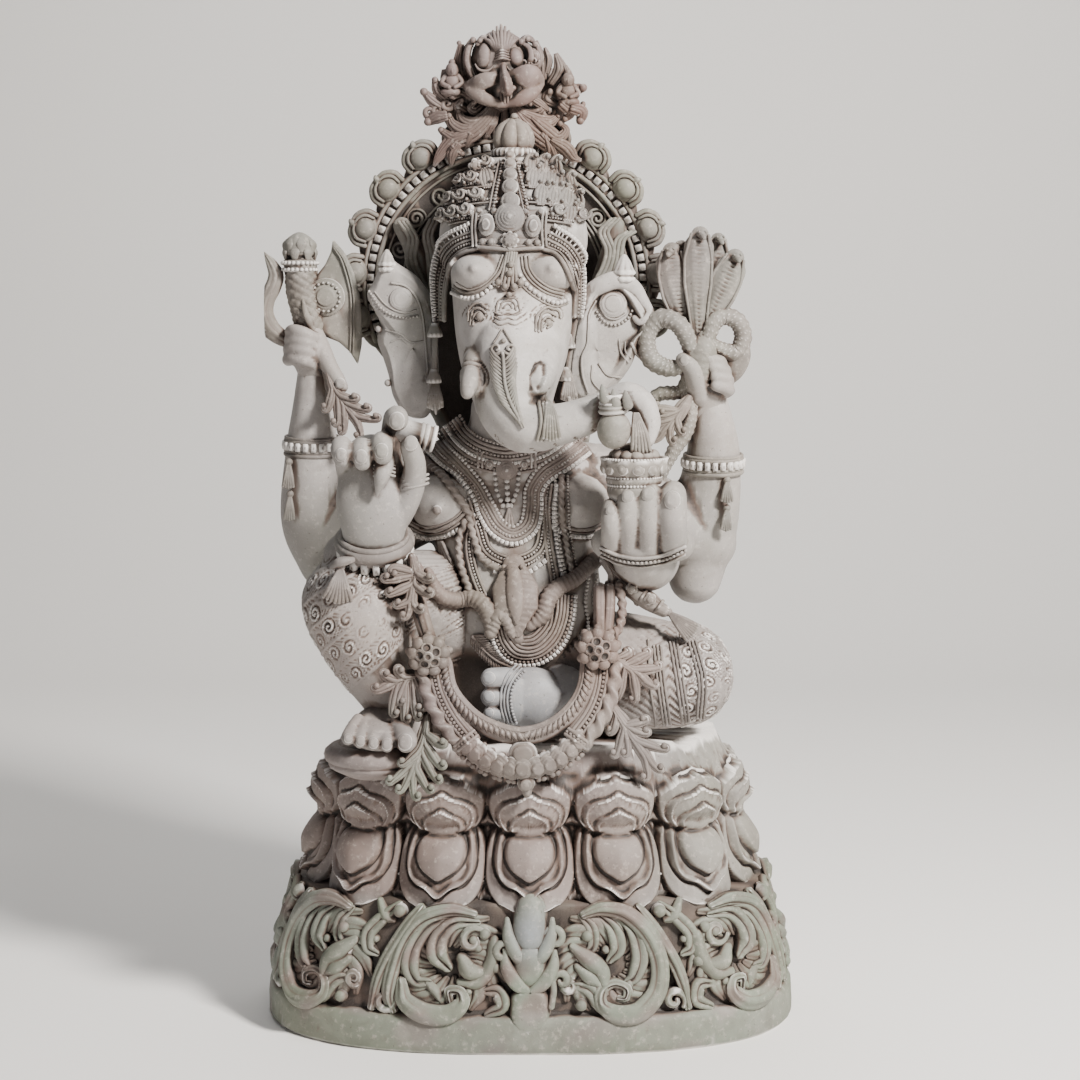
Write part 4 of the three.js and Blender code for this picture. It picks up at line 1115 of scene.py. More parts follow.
def spray(c, stem, lobes, depth, size=4.0, names=None, lift=4.0, hook=4.0):
    """A leaf spray: a veined body along the stem, and over it strands that part one by one to curled,
    knobbed tips; each lobe is (share of the stem where it parts, its tip pixel)."""
    line = dense(stem, 3)
    reach = len(line) - 1
    frond(c, stem, (size * 0.9, size * 2.0, size * 2.2, size * 1.6, size * 0.7), depth, 3, 0,
          names, lift * 0.5)
    for share, tip in lobes:
        tip = np.array(tip, float)
        last = max(1, int(share * reach))
        start = line[:last + 1:max(1, last // 3)]
        if len(start) < 2:
            start = line[:2]
        across = unit((start[-1] - start[-2])[::-1] * [1, -1])
        side = np.sign((tip - start[-1]) @ across) or 1
        start = start + across * side * size * 0.28 * np.linspace(0.2, 1, len(start))[:, None]
        way = unit(tip - start[-1])
        turned = np.array([-way[1], way[0]])
        turned = turned * (1 if (turned @ across) * side > 0 else -1)
        sweep = np.radians(np.array([0, 70, 140, 210]))
        centre = tip + turned * hook * 0.8
        swirl = (centre - turned[None] * np.cos(sweep)[:,
                                                       None] * hook * np.array([0.8, 0.75, 0.6, 0.4])[:, None]
                 + way[None] * np.sin(sweep)[:, None] * hook * 0.8)
        path = np.vstack([start, (start[-1] + tip) / 2 - across * side, swirl])
        places = np.linspace(0, 1, len(path))
        radii = size * np.interp(places, *LOBE_SHAPE)
        lobe = (depth[0] - 4, depth[1] - 4) if names is None else None
        frond(c, path, np.interp(np.linspace(0, 1, 12), places, radii), lobe, 1, size * 0.8, names, lift)


ARCH_CENTRE = np.array((-29, 889))
ARCH_SWING = 0.64 * np.pi


def arch_path(radius, y, start=-1.0, end=1.0, count=90):
    """Points on the arch's circle at one radius; start and end are shares of its swing either side of the
    top."""
    angle = np.linspace(start, end, count) * ARCH_SWING
    return np.column_stack([ARCH_CENTRE[0] + radius * np.sin(angle), np.full(count, y),
                            ARCH_CENTRE[1] + radius * np.cos(angle)])


PETAL_TIP = [(0, 12, 10), (1, 16, 13), (3, 18.5, 10)]   # mm along the ring, outwards and to the front
# Share of the swing, distance from the middle, size
ARCH_SPIRALS = ((0.16, 138, 12), (0.32, 136, 13), (0.47, 138, 13), (0.62, 139, 12), (0.76, 140, 11))
RIBBON_BACKS = ([(402, 226), (414, 250), (424, 290)], [(616, 226), (612, 250), (598, 284)])   # pixels


def arch():
    """The arch behind the head on its slab: lotus petals with curled tips round it, a ring of square
    beads between two ridges, and a sunk panel of spirals; the back is plain."""
    c = Carving()
    angle = np.linspace(-1, 1, 241) * ARCH_SWING
    rim = 181 + 10 * np.abs(np.sin((angle / ARCH_SWING * 6.5 + 0.5) * np.pi)) ** 0.7
    outline = np.column_stack([ARCH_CENTRE[0] + rim * np.sin(angle), ARCH_CENTRE[1] + rim * np.cos(angle)])
    foot = along([(*outline[-1], 0), (74, 700, 0), (84, 520, 0), (86, 346, 0)], 40)[1:, :2]
    left = along([(-116, 346, 0), (-116, 520, 0), (-112, 700, 0), (*outline[0], 0)], 40)[:-1, :2]
    sole = np.linspace((86, 346), (-116, 346), 20)[1:-1]
    outline = np.vstack([outline, foot, sole, left])
    middle = np.array((-18, 760))
    rows = [(0.02, 72), (0.5, 72), (0.8, 71), (0.86, 70), (0.9, 66), (0.97, 64), (0.99, 66), (1, 72), (1, 90),
            (1, 104), (0.985, 112), (0.96, 115), (0.6, 116), (0.02, 116)]
    grid = np.array([np.column_stack([middle[0] + (outline[:, 0] - middle[0]) * share,
                                      np.full(len(outline), y),
                                      middle[1] + (outline[:, 1] - middle[1]) * share]) for share, y in rows])
    grid[[0, -1]] = grid[[0, -1]].mean(axis=1, keepdims=True)
    grid[..., 1] -= (grid[..., 1] > 80) * (grid[..., 1] < 112) * np.abs(rough(grid, 40, 21)) * 1.5
    c.sheet(grid)
    for radius, size in ((160, 3.4), (176, 3.4)):
        c.tube(arch_path(radius, 62, -0.98, 0.98), (size,), 10, 4)
    c.beads(arch_path(168, 61, -0.97, 0.97, 160), 5.2, 2.3, shape="block", squash=(0.9, 0.95, 0.7))
    c.tube(arch_path(151, 65, -0.9, 0.9), (2.0,), 8, 4)
    petals = 13
    for number in range(petals):
        turn = (number - 6) / 6.5 * ARCH_SWING * 0.965
        out = np.array((np.sin(turn), 0, np.cos(turn)))
        along_ring = np.array((np.cos(turn), 0, -np.sin(turn)))
        front = np.array(FRONT, float)
        base = np.array((ARCH_CENTRE[0], 64, ARCH_CENTRE[1])) + out * 189

        def at(spots, base=base, out=out, along_ring=along_ring, front=front):
            spots = np.asarray(spots, float)
            return base + spots[:, :1] * along_ring + spots[:, 1:2] * out + spots[:, 2:3] * front
        axes = np.stack([along_ring, front, out])
        c.ball(at([(0, -1, 2)])[0], (19, 12, 17), 28, 16, axes)
        c.ball(at([(0, -2, 9)])[0], (13.5, 9, 12.5), 24, 14, axes)
        lip_line = [(-20, -9, 5), (-20, 3, 7), (-12, 12, 8), (-3, 15, 9)]
        for side in (-1, 1):
            c.tube(at(np.array(lip_line) * [side, 1, 1]), (3.6, 4.0, 3.8, 2.6), 12, 3, up=front)
            c.tube(at(np.array([(-15, -8, 10), (-15, 2, 12), (-9, 9, 13), (-2, 11, 14)]) * [side, 1, 1]),
                   (2.0, 2.4, 2.2, 1.6), 10, 3, up=front)
        c.tube(at(PETAL_TIP), (5, 3.6, 1.4), 12, 2, up=front)
    inner = []
    for side in (-1, 1):
        for number, (share, radius, size) in enumerate(ARCH_SPIRALS):
            turn = side * share * ARCH_SWING
            centre = ARCH_CENTRE + radius * np.array((np.sin(turn), np.cos(turn)))
            swirl = curl(centre, 90 + 90 * side, 90 + side * 640 * (1 if number % 2 else -1), size, 2, 34)
            inner.append(np.column_stack([swirl[:, 0], np.full(len(swirl), 69.0), swirl[:, 1]]))
    for path in inner:
        c.tube(path, (1.6, 2.2, 2.4, 2.0), 7, 2.4)
    for side in (-1, 1):
        for radius in (118, 123, 128):
            c.tube(arch_path(radius, 69, *sorted((side * 0.2, side * 0.8)), 30), (1.6,), 6, 4)
    ribbons = [[(399, 222), (409, 238), (407, 258), (413, 276), (424, 296)],
               [(430, 220), (424, 236), (428, 256), (430, 290)],
               [(611, 219), (600, 232), (606, 250), (602, 268), (591, 286)],
               [(627, 232), (616, 240), (612, 262), (606, 284)]]
    for path in ribbons:
        for shift in (0, 4, 8):
            c.tube(hung(dense(path) + [shift, 0], 42), (2.2, 3.2, 3.2, 2.2), 9, 3)
    for spots in RIBBON_BACKS:
        c.tube(hung(dense(spots), 52), (11, 13, 9), 16, 5, 0.5)
    finish_piece("arch", c, 0.72)


MASK_LEAVES = (   # line of pixels, radii in mm, veins, knob: below the face, then beside it
    ([(495, 103), (487, 117), (472, 131), (454, 141), (441, 154), (434, 166)], (5, 10, 13, 12, 8, 2), 4, 0),
    ([(484, 119), (472, 123), (462, 119), (459, 111)], (4, 8, 7, 4), 2, 3.5),
    ([(474, 128), (462, 130), (452, 124), (449, 116)], (4, 8, 7, 4), 2, 4),
    ([(466, 134), (454, 138), (446, 134), (441, 130)], (4, 7, 6, 4), 2, 4),
    ([(470, 134), (467, 142), (465, 149)], (5, 6, 2), 1, 0),
    ([(458, 144), (452, 154), (451, 166)], (5, 7, 2), 2, 0),
    ([(452, 146), (458, 152), (462, 154)], (4, 6, 4), 1, 3.5),
    ([(486, 104), (476, 112), (470, 108), (474, 103)], (4, 7, 5, 3), 1, 3.5),
    ([(466, 112), (458, 106), (462, 100)], (5, 7, 3), 1, 3),
    ([(498, 106), (492, 122), (485, 138)], (4, 7, 3), 2, 0),
    ([(511, 103), (522, 120), (536, 133), (553, 146), (566, 158)], (5, 10, 13, 12, 4), 4, 0),
    ([(520, 112), (536, 121), (550, 122), (558, 116)], (4, 9, 9, 4), 3, 3),
    ([(532, 118), (546, 130), (558, 138), (566, 130), (560, 124)], (4, 9, 9, 6, 3), 2, 4),
    ([(542, 134), (552, 146), (557, 162)], (4, 7, 2), 2, 0),
    ([(552, 140), (566, 148), (574, 158), (581, 160)], (4, 8, 8, 2), 2, 0),
    ([(545, 136), (549, 150), (545, 156)], (3, 6, 4), 1, 3),
    ([(516, 106), (530, 112), (541, 108), (537, 101), (530, 104)], (4, 7, 7, 5, 3), 1, 3.5),
    ([(528, 96), (540, 104), (548, 110)], (4, 6, 3), 2, 0),
    ([(504, 106), (505, 122)], (3, 6), 2, 0),
    ([(463, 84), (459, 66), (461, 45)], (7, 8, 4), 2, 0),
    ([(470, 64), (466, 54), (471, 41)], (5, 6, 3), 1, 0),
    ([(456, 92), (446, 80), (444, 70)], (6, 8, 3), 2, 0),
    ([(448, 100), (438, 90), (435, 80)], (6, 8, 4), 2, 4),
    ([(444, 108), (432, 100), (424, 92)], (6, 8, 4), 2, 5),
    ([(446, 116), (436, 118), (428, 122)], (6, 8, 5), 2, 5),
    ([(470, 100), (462, 92), (452, 96)], (6, 8, 5), 2, 4),
    ([(541, 78), (540, 60), (535, 42)], (7, 8, 4), 2, 0),
    ([(546, 72), (548, 60), (545, 48)], (5, 6, 2), 1, 0),
    ([(552, 84), (560, 70), (556, 54)], (7, 9, 3), 2, 0),
    ([(562, 92), (568, 78), (565, 66)], (6, 7, 3), 2, 0),
    ([(570, 100), (576, 90), (583, 88)], (7, 8, 5), 2, 5),
    ([(572, 108), (582, 112), (580, 121)], (7, 8, 5), 2, 5),
    ([(562, 104), (570, 112), (565, 119)], (7, 8, 4), 2, 4),
    ([(556, 104), (546, 98), (550, 92)], (5, 7, 4), 1, 4),
)


# Pixels with depth, radii, flatness
MASK_FLESH = (
    ([(500, 60, 46), (500, 98, 42)], (36, 18), 0.7),
    ([(498, 77, 24), (487, 80, 20), (476, 83, 24), (464, 84, 38)], (7, 10, 9, 2), 0.5),
    ([(463, 85, 38), (472, 92, 26), (485, 99, 20), (503, 105, 22)], (2, 7, 8, 5), 0.7),
    ([(509, 76, 24), (522, 76, 19), (533, 76, 22), (542, 80, 34)], (6, 13, 13, 5), 0.5),
    ([(543, 84, 36), (532, 92, 24), (521, 99, 20), (507, 105, 22)], (3, 9, 9, 4), 0.7),
)
MASK_NOSE = [(502, 58, 28), (503.5, 70, 18), (505.5, 80, 9), (507, 89, 8)]   # pixels with depth
MASK_EYES = ((484.5, 56, 16.5, -0.12), (515.5, 58, 13.5, 0.35))   # pixel, half height in mm, lean
# Pixels with depth
MASK_HORNS = (
    [(472, 76, 34), (467, 62, 32), (468, 50, 32), (473, 41, 34)],
    [(478, 44, 30), (484, 38, 30), (491, 42, 30)],
    [(526, 66, 32), (531, 58, 28), (529, 48, 30), (522, 43, 30)],
    [(536, 70, 36), (540, 58, 34), (537, 46, 34)],
    [(534, 66, 32), (536, 56, 30), (533, 50, 30)],
    [(520, 43, 30), (527, 38, 30), (534, 42, 32)],
)
# Pixel and radius in mm
MASK_KNOBS = ((473, 40, 4), (480, 41, 3.6), (487, 41, 3), (521, 42, 4), (528, 39, 4), (535, 44, 4),
              (459, 43, 3))
MASK_SITTERS = ((452, 78, -1), (568, 88, 1))   # pixel and side
MASK_WHORLS = ((438, 110), (447, 104), (548, 112), (576, 104), (430, 112), (472, 94))   # pixels


def lion_mask():
    """The lion mask over the arch: cheeks, mouth, hoods and a wedge of a nose melted into one skin, then
    round eyes under lid lines, the fluted crest, teeth, and veined leaves and little seated forms round
    it."""
    c = Carving()
    c.ball((-31, 74, 1110), (80, 17, 62), 40, 22)
    for line, radii, flat in MASK_FLESH:
        c.tube(seen(line), radii, 22, 3, flat)
    c.tube(seen(MASK_NOSE), (3, 5, 8, 9), 4, 3, 1.1)
    c = skin(c, 1.9, 2)
    for u, v, tall, lean in MASK_EYES:
        axes = np.array(((np.cos(lean), 0, np.sin(lean)), FRONT, (-np.sin(lean), 0, np.cos(lean))))
        middle = seen([(u, v, 30)])[0]
        c.ball(middle, (9.5, 11, tall), 30, 22, axes)
        for k in range(5):
            share = -0.42 + 0.22 * k
            wide = np.sqrt(1 - share ** 2)
            a = np.linspace(-1.15, 1.15, 14)
            path = np.column_stack([9.7 * wide * np.sin(a), -11.2 * wide * np.cos(a),
                                    tall * share - 2.5 * np.cos(a)])
            c.tube(middle + path @ axes, (0.6, 1.3, 1.3, 0.6), 8, 2)
        c.tube(hung(curl((u, v), 165, 15, 9.5, 9.5, 12) + [0, tall * 0.35], 24), (0.8, 2.4, 0.8), 9, 2)
    for line in MASK_HORNS:
        c.tube(seen(line), (3.4, 4.2, 4, 2.6), 14, 2.4, relief=ribs(0.5, 4))
    for u, v, size in MASK_KNOBS:
        c.ball(seen([(u, v, 28)])[0], (size,) * 3, 12, 8)
    for u, v in ((524, 63), (534, 61)):
        c.tube(hung(curl((u, v), 0, 400, 5, 1.5), 27), (1.8, 1.2), 7, 2.4)
    for share in np.linspace(-1, 1, 9):
        c.tube(seen([(502 + 2 * share, 56, 26), (501.5 + 9 * share, 46 - 2 * abs(share), 18 + 3 * abs(share)),
                     (501 + 16 * share, 23 + 16 * abs(share), 26)]), (1.6, 3.2, 3.6, 1.6), 10, 2)
    for k in range(4):
        c.tube(seen([(494 + 0.6 * k, 61 - 2.6 * k, 22), (502, 58 - 2.6 * k, 15),
                     (510 - 0.6 * k, 60 - 2.6 * k, 22)]),
               (1.0, 1.7, 1.0), 8, 2)
    for side in (-1, 1):
        c.ball(seen([(508 + 4.5 * side, 88, 12)])[0], (4.5, 5, 3.5), 12, 8)
    for k in range(4):
        c.tube(seen([(501 + 3.2 * k, 93, 22), (501.5 + 3.2 * k, 103, 20)]), (2.2, 1.7), 8, 2)
    for line, radii, veins, knob in MASK_LEAVES:
        below = line[-1][1] > 105
        frond(c, line, radii, (36, 46) if below else (50, 42), veins, knob)
    for u, v, lean in MASK_SITTERS:
        for du, dv, y, size in ((0, -8, 38, (8, 8, 9)), (0, -15, 40, (4.5, 5, 5)), (0, -7, 31, (1.6, 2, 3)),
                                (0, 4, 42, (10, 9, 12)), (lean, 14, 40, (13, 9, 6))):
            c.ball(seen([(u + du, v + dv, y)])[0], size, 18, 12)
        for k in (-1, 1):
            c.tube(seen([(u + 6 * k, v - 2, 40), (u + 10 * k, v + 5, 38), (u + 3 * k, v + 9, 32)]),
                   (3.6, 3.4, 2.8), 10, 3)
    for u, v in MASK_WHORLS:
        c.tube(hung(curl((u, v), 0, 420, 7, 1.5, 16), 48), (3.4, 4, 3.0, 2.4), 10, 3)
    finish_piece("lion_mask", c, 0.75)


CROWN_EDGE = [(437, 318), (439, 292), (448, 268), (460, 255), (480, 249), (500, 251), (512, 252),
              (524, 251), (541, 250), (557, 259), (570, 276), (578, 296), (579, 312)]


COLUMN_DISCS = ((204, 11.5), (191, 10), (180.5, 8.6), (171.5, 7.4), (164, 6.4))   # pixel row and radius in mm
COLUMN_EDGES = ([(494, 212), (498, 190), (504, 164)], [(527, 210), (522, 188), (516, 164)])   # pixels
BEAD_TIERS = ((216, 60), (200, 66), (184, 58), (170, 46))   # pixel row, pixels to each side
# Radius and height in mm
FINIAL = [(0, 1020), (36, 1022), (38, 1030), (28, 1036), (23, 1040), (26, 1043), (26, 1048), (23, 1051),
          (0, 1052)]
# Pixels of each band, its bells and its tassel
SIDE_BANDS = (
    (((437, 312), (435, 345), (434, 378)), ((435, 330), (434, 376)), (435, 400)),
    (((577, 308), (571, 345), (567, 376)), ((568, 341), (566, 374)), (569, 392)),
)
BELL = [(0, 9), (4, 8), (6, 3), (8.5, -3), (9, -8), (6, -9), (0, -9)]   # radius and height in mm


def crown():
    """The crown: a band of beads and ribs round the brow, tiers of curled buds on the dome, the column of
    discs up the front with the round boss, and the lobed finial."""
    c = Carving()
    on = ["head"]
    left = [(445, 320), (446, 292), (451, 273), (462, 257), (480, 250)]
    right = [(541, 251), (556, 259), (566, 275), (571, 294), (571, 316)]
    rows = ((1.5, "rib", 3.0, 3), (5, "rib", 1.6, 3.5), (8.2, "fine", 1.9, 4.5), (11.5, "rib", 1.8, 4.5),
            (15, "fine", 2.0, 5), (18.5, "rib", 1.8, 5), (25.5, "block", 2.4, 6))
    for path, spread in ((left, (0.42, 0.55, 0.9, 1.05)), (right, (1.05, 0.9, 0.55, 0.42))):
        strap(c, on, path, rows, spread=spread)
        line = dense(path, 2.6)
        normal = across_of(line) * stretched(spread, len(line))[:, None]
        for spot, way in zip(line[2:-1], normal[2:-1]):
            teeth, facing = laid(on, [spot + way * 20, spot + way * 22, spot + way * 24], 5, calm=0)
            c.tube(teeth, (1.3,), 6, 2, up=facing)
    strap(c, on, CROWN_EDGE[4:9], ((1, "rib", 2.8, 5), (4, "rib", 1.4, 5)))
    for v in (217, 226, 235, 244):
        strap(c, on, [(483, v), (510, v), (537, v)], ((0, "band", 9, 0),))
    boss(c, on, (510, 219), 18, 9, MEDALLION, lift=6, around=40, rings=26)
    boss(c, on, (510, 242), 10.5, 7, ((1, 0.5), (0.6, 0.5)), scallops(8), 7)
    for u, v in ((488, 226), (532, 227)):
        boss(c, on, (u, v), 10, 8, ((1, 0.5), (0.55, 0.5)), lambda a: 1 + 0.35 * np.abs(np.sin(a)) ** 3, 6)
        for k in (-1, 1):
            boss(c, on, (u + 4 * k, v + 17), 4.5, 5, lift=6, around=12, rings=6)
            boss(c, on, (u + 7 * k, v - 13), 4, 5, lift=6, around=12, rings=6)
    for u in (477, 543):
        strap(c, on, [(u, 247), (u - 1, 230), (u, 214)], ((-1.6, "rib", 1.8, 7), (1.8, "rib", 1.8, 7)))
    for v, r in COLUMN_DISCS:
        boss(c, on, (510.5, v), r, 7, ((1, 0.6), (0.6, 0.4)), lift=6 + (204 - v) * 0.16, around=24)
    for path in COLUMN_EDGES:
        strap(c, on, path, ((0, "fine", 2.2, 6), (4, "rib", 1.3, 5)))
    tiers = (((208, 0), (444, 456, 468, 556, 567, 578)), ((194, 0), (452, 464, 478, 541, 553, 565, 577)),
             ((178, 0), (462, 474, 487, 533, 545, 557, 569)), ((164, 0), (476, 488, 531, 543, 555)))
    for (v, _), places in tiers:
        for u in places:
            drop = abs(u - 511) ** 2 / 620
            spot = (u, v + drop)
            side = 1 if u > 511 else -1
            spot = np.array(spot)
            if (u + v) % 2:
                frond(c, [spot + (-side, 10), spot, spot + (side * 1.5, -8), spot + (side * 5, -11)],
                      (5, 9.5, 9.5, 6, 2.5), None, 2, 0, on, 3)
                boss(c, on, (u + side * 5, v + drop - 9), 3.6, 7, lift=6, around=12, rings=6)
            else:
                boss(c, on, spot, 8.5, 7, ((1, 0.7), (0.7, 0.3)), scallops(5, 0.16), 2, 20, rings=8)
                swirl, facing = laid(on, curl(spot, 90 - 90 * side, 90 + 330 * side, 6, 1.2, 14), 9, calm=1)
                c.tube(swirl, (2.0, 1.4), 8, 2.4, up=facing)
            boss(c, on, (u - side * 6, v + drop + 5), 3.0, 6, lift=5, around=12, rings=6)
    for v, reach in BEAD_TIERS:
        for side in (-1, 1):
            path = [(511 + side * x, v + x * x / 620) for x in (14, reach * 0.45, reach * 0.75, reach)]
            strap(c, on, path if side > 0 else path[::-1], ((0, "fine", 1.7, 4), (-3, "rib", 1.4, 3.5)))
    c.turned(FINIAL,
             (AXIS, 6, 0), around=64, relief=lambda r,
             a: 1.4 * np.cos(24 * a) * (r > 24) * (r < 27) + 1.2 * np.cos(16 * a) * (r > 34))
    c.beads(ring_round((AXIS, 6, 1030), 37), 2.2, 2.1, up=(0, 0, 1), shape="fine")
    root = np.array((AXIS, 6, 0))
    for way in spokes(7, -0.9, level=True):
        c.tube([root + way * 10 + (0, 0, 1046), root + way * 18 + (0, 0, 1058),
                root + way * 15 + (0, 0, 1073),
                root + way * 4 + (0, 0, 1084)], (6.5, 9.5, 8, 4), 20, 3, 0.8, way)
    c.ball((AXIS, 6, 1064), (15, 15, 20), 24, 14)
    c.ball((AXIS + 1, 2, 1088), (4.5, 4.5, 4.5), 12, 8)
    # Bands and bells beside the face
    for spots, bells, foot in SIDE_BANDS:
        c.tube(hung(dense(spots), -12, -28), (4, 3.6, 3.4), 10, 3, relief=ribs(0.5, 3))
        for u, v in bells:
            c.turned(BELL, seen([(u, v, -26)])[0], around=20,
                     relief=lambda r, a: 0.4 * np.cos(10 * a) * (r > 5))
        for k in range(-3, 4):
            c.tube(seen([(foot[0] + k * 0.8, foot[1] - 16, -28), (foot[0] + k * 2.0, foot[1], -36),
                         (foot[0] + k * 2.4, foot[1] + 10 - abs(k) * 1.2, -34)]), (2.2, 2.8, 2.0), 8, 3)
        c.tube(seen([(foot[0], foot[1] + 6, -36), (foot[0] + 1, foot[1] + 14, -36)]), (3, 1), 8, 2)
    finish_piece("crown", c, 0.75)


BROW_RIMS = (
    ([(506, 257), (499, 274), (485, 288), (469, 293), (455, 286)],
     [(495, 284), (484, 294), (469, 299), (454, 293)]),
    ([(525, 257), (527, 270), (535, 281), (548, 290), (562, 294)],
     [(520, 276), (528, 287), (541, 297), (555, 303), (566, 300)]),
)


# Pixel and radius in mm
BROW_BUDS = ((511, 266, 5), (510, 275, 5), (499, 284, 4.6), (520, 284, 4.6), (505, 288, 4.4),
             (514, 288, 4.4), (509, 295, 3.4))
BROW_ARCS = ((4, 304, 308), (8, 301, 310), (12, 298, 311))   # half width, top and foot in pixels
TRUNK_LEAF = [(503, 354), (504, 366), (505, 384), (510, 402), (520, 421)]   # pixels of its midrib
# Radius and height in mm
BULB_NECK = [(0, -8), (16, -7), (17.5, -4), (15.5, -1.5), (17, 1), (15.5, 3.5), (16, 6), (0, 7)]
BULB_CAP = [(0, 2), (14, 3), (15, 9), (18, 15), (16, 16), (11, 12), (0, 11)]   # radius and height in mm
BULB_TIPS = ((603, 385), (614, 390), (626, 391))   # pixels


def face_carving():
    """Fine carving on the face: rims and beads round the brow bosses, the pendant between them, lids, the
    leaf down the trunk, the tassel band and the collared bulb that the trunk holds."""
    c = Carving()
    on = ["head"]
    for rim, string in BROW_RIMS:
        strap(c, on, rim, ((0, "rib", 2.2, 1.2), (3.6, "rib", 1.6, 1.0), (-3.6, "rib", 1.5, 0.8)), calm=2)
        strap(c, on, string, ((0, "round", 3.1, 2.4), (-3.6, "rib", 1.2, 1.0)), calm=2)
    for shift in (-2, -1, 0, 1, 2):
        strap(c, on, [(512 + shift * 2.2, 252), (510 + shift * 2.6, 266), (509 + shift * 3.6, 280),
                      (508 + shift * 4.4, 287)],
              ((0, "rib", 2.2, 3.4 - abs(shift) * 0.6),))
    for u, v, r in BROW_BUDS:
        boss(c, on, (u, v), r, 6, lift=3.4, around=14, rings=7)
    for wide, top, low in BROW_ARCS:
        strap(c, on, [(508 - wide, low), (508 - wide * 0.75, top + 2), (508, top),
                      (508 + wide * 0.75, top + 2),
                      (508 + wide, low)], ((0, "rib", 1.1, 0.3),), calm=1)
    for v in (314, 319, 324):
        strap(c, on, [(494, v - 2), (501, v + 1.5), (508, v - 1), (515, v + 1.5), (522, v - 2)],
              ((0, "rib", 1.1, 0.3),), calm=1)
    lids = ([(474, 325), (475, 316), (480, 313), (484, 318)],
            [(471, 325), (473, 312), (479, 308), (486, 313)],
            [(469, 321), (470, 309), (479, 303), (488, 309)],
            [(541, 331), (542, 322), (547, 317), (553, 321)],
            [(538, 332), (540, 318), (547, 312), (556, 316)],
            [(535, 331), (537, 315), (546, 308), (557, 311), (560, 318)],
            [(543, 327), (548, 322), (552, 324), (547, 328)])
    for lid in lids:
        strap(c, on, lid, ((0, "rib", 1.7, 1.2),), calm=1)
    for spot in ((480, 317), (548, 323)):
        boss(c, on, spot, 5, 3.5, lift=0.5, around=18, rings=8)
    spine = dense(TRUNK_LEAF, 4.1)
    widths = 12.5 * np.interp(np.linspace(0, 1, len(spine)), [0, 0.25, 0.7, 1], [0.9, 1, 0.7, 0.12])
    strap(c, on, spine, ((0, "rib", 2.2, 2.8),))
    normal = across_of(spine)
    tangent = unit(np.gradient(spine, axis=0))
    for spot, way, ahead, width in zip(spine, normal, tangent, widths):
        for side in (-1, 1):
            path = [spot + way * side * 1.2 + ahead * 7, spot + way * side * width * 0.6 + ahead * 2,
                    spot + way * side * width - ahead * 6]
            points, facing = laid(on, path, 2.0, calm=0)
            c.tube(points, (1.2, 2.5, 1.5), 9, 2, up=facing)
    for side in (-1, 1):
        strap(c, on, curl((503.5 + side * 6.5, 349), 90 + side * 60, 90 - side * 330, 6.5, 1.5, 14),
              ((0, "rib", 1.9, 2),), calm=1)
        strap(c, on, [(503 + side * 9, 343), (503 + side * 5, 337), (503 + side * 1, 330)],
              ((0, "rib", 1.3, 1.0),), calm=1)
    boss(c, on, (503.5, 341), 3.5, 4, around=12, rings=6)
    # The tassel band on the trunk, the held bulb, and the fan at the trunk's end
    for u in (537, 541, 545):
        strap(c, on, [(u + 1, 402), (u + 3, 410), (u + 4, 424), (u, 440)], ((0, "rib", 2.2, 1.6),), calm=1)
    for k in range(6):
        strap(c, on, [(547 + k * 0.4, 404), (546 + k * 1.9, 416), (543 + k * 3.2, 439 - abs(k - 2.5))],
              ((0, "rib", 2.4, 2.8),), calm=1)
    bulb = seen([(614, 430, -166)])[0]
    c.ball(bulb, (19.5, 18, 22), 32, 20)
    neck = seen([(613, 407, -164)])[0]
    lean = (-0.06, -0.1, 1)
    c.turned(BULB_NECK, neck, lean, 32)
    c.turned(BULB_CAP, neck, lean, 36)
    for u, v in BULB_TIPS:
        c.tube(seen([(u + 2, v + 14, -178), (u, v + 6, -180), (u - 1, v, -178)]), (6, 4.5, 1.4), 12, 2, 0.6)
    for k in range(6):
        c.tube(seen([(634 + k * 0.8, 414, -166), (633 + k * 2.6, 434, -170),
                     (632 + k * 3.6, 453 - abs(k - 2.5), -166)]),
               (2.0, 2.8, 2.2), 8, 3)
    finish_piece("face_carving", c, 0.8)


AXE_BLADE = [(316, 276), (325, 265), (331, 252), (333, 239), (345, 253), (354, 272), (360, 296), (362, 320),
             (362, 344), (358, 365), (350, 352), (339, 342), (326, 337), (316, 332)]
SHAFT = [(301, 268, 32), (302, 290, 32), (306, 310, 30), (309, 330, 28), (309, 346, 28)]


# Radius and height in mm
AXE_KNOB = [(0, -6), (19, -5), (20.5, -2), (19, 1), (20, 3), (21.5, 6), (20, 9), (15, 11), (14, 13),
            (18.5, 17), (20, 24), (18, 31), (13, 37), (7, 41), (3, 43), (0, 43.5)]
KNOB_LEAVES = ((17, 7, 0), (26, 7, 0.5))   # level in mm, number, turn
AXE_TONGUE = [(303, 300, 12), (305, 311, 9), (309, 322, 8), (312, 330, 11)]   # pixels with depth
# Pixels with depth
HORN = [(293, 343, 34), (282, 338, 32), (270, 328, 32), (264, 314, 32), (266, 300, 32), (273, 287, 32),
        (276, 275, 32), (271, 263, 32), (264, 253, 32)]
HORN_RADII = (7, 10, 12, 12, 11, 10, 9.5, 6.5, 1.5)


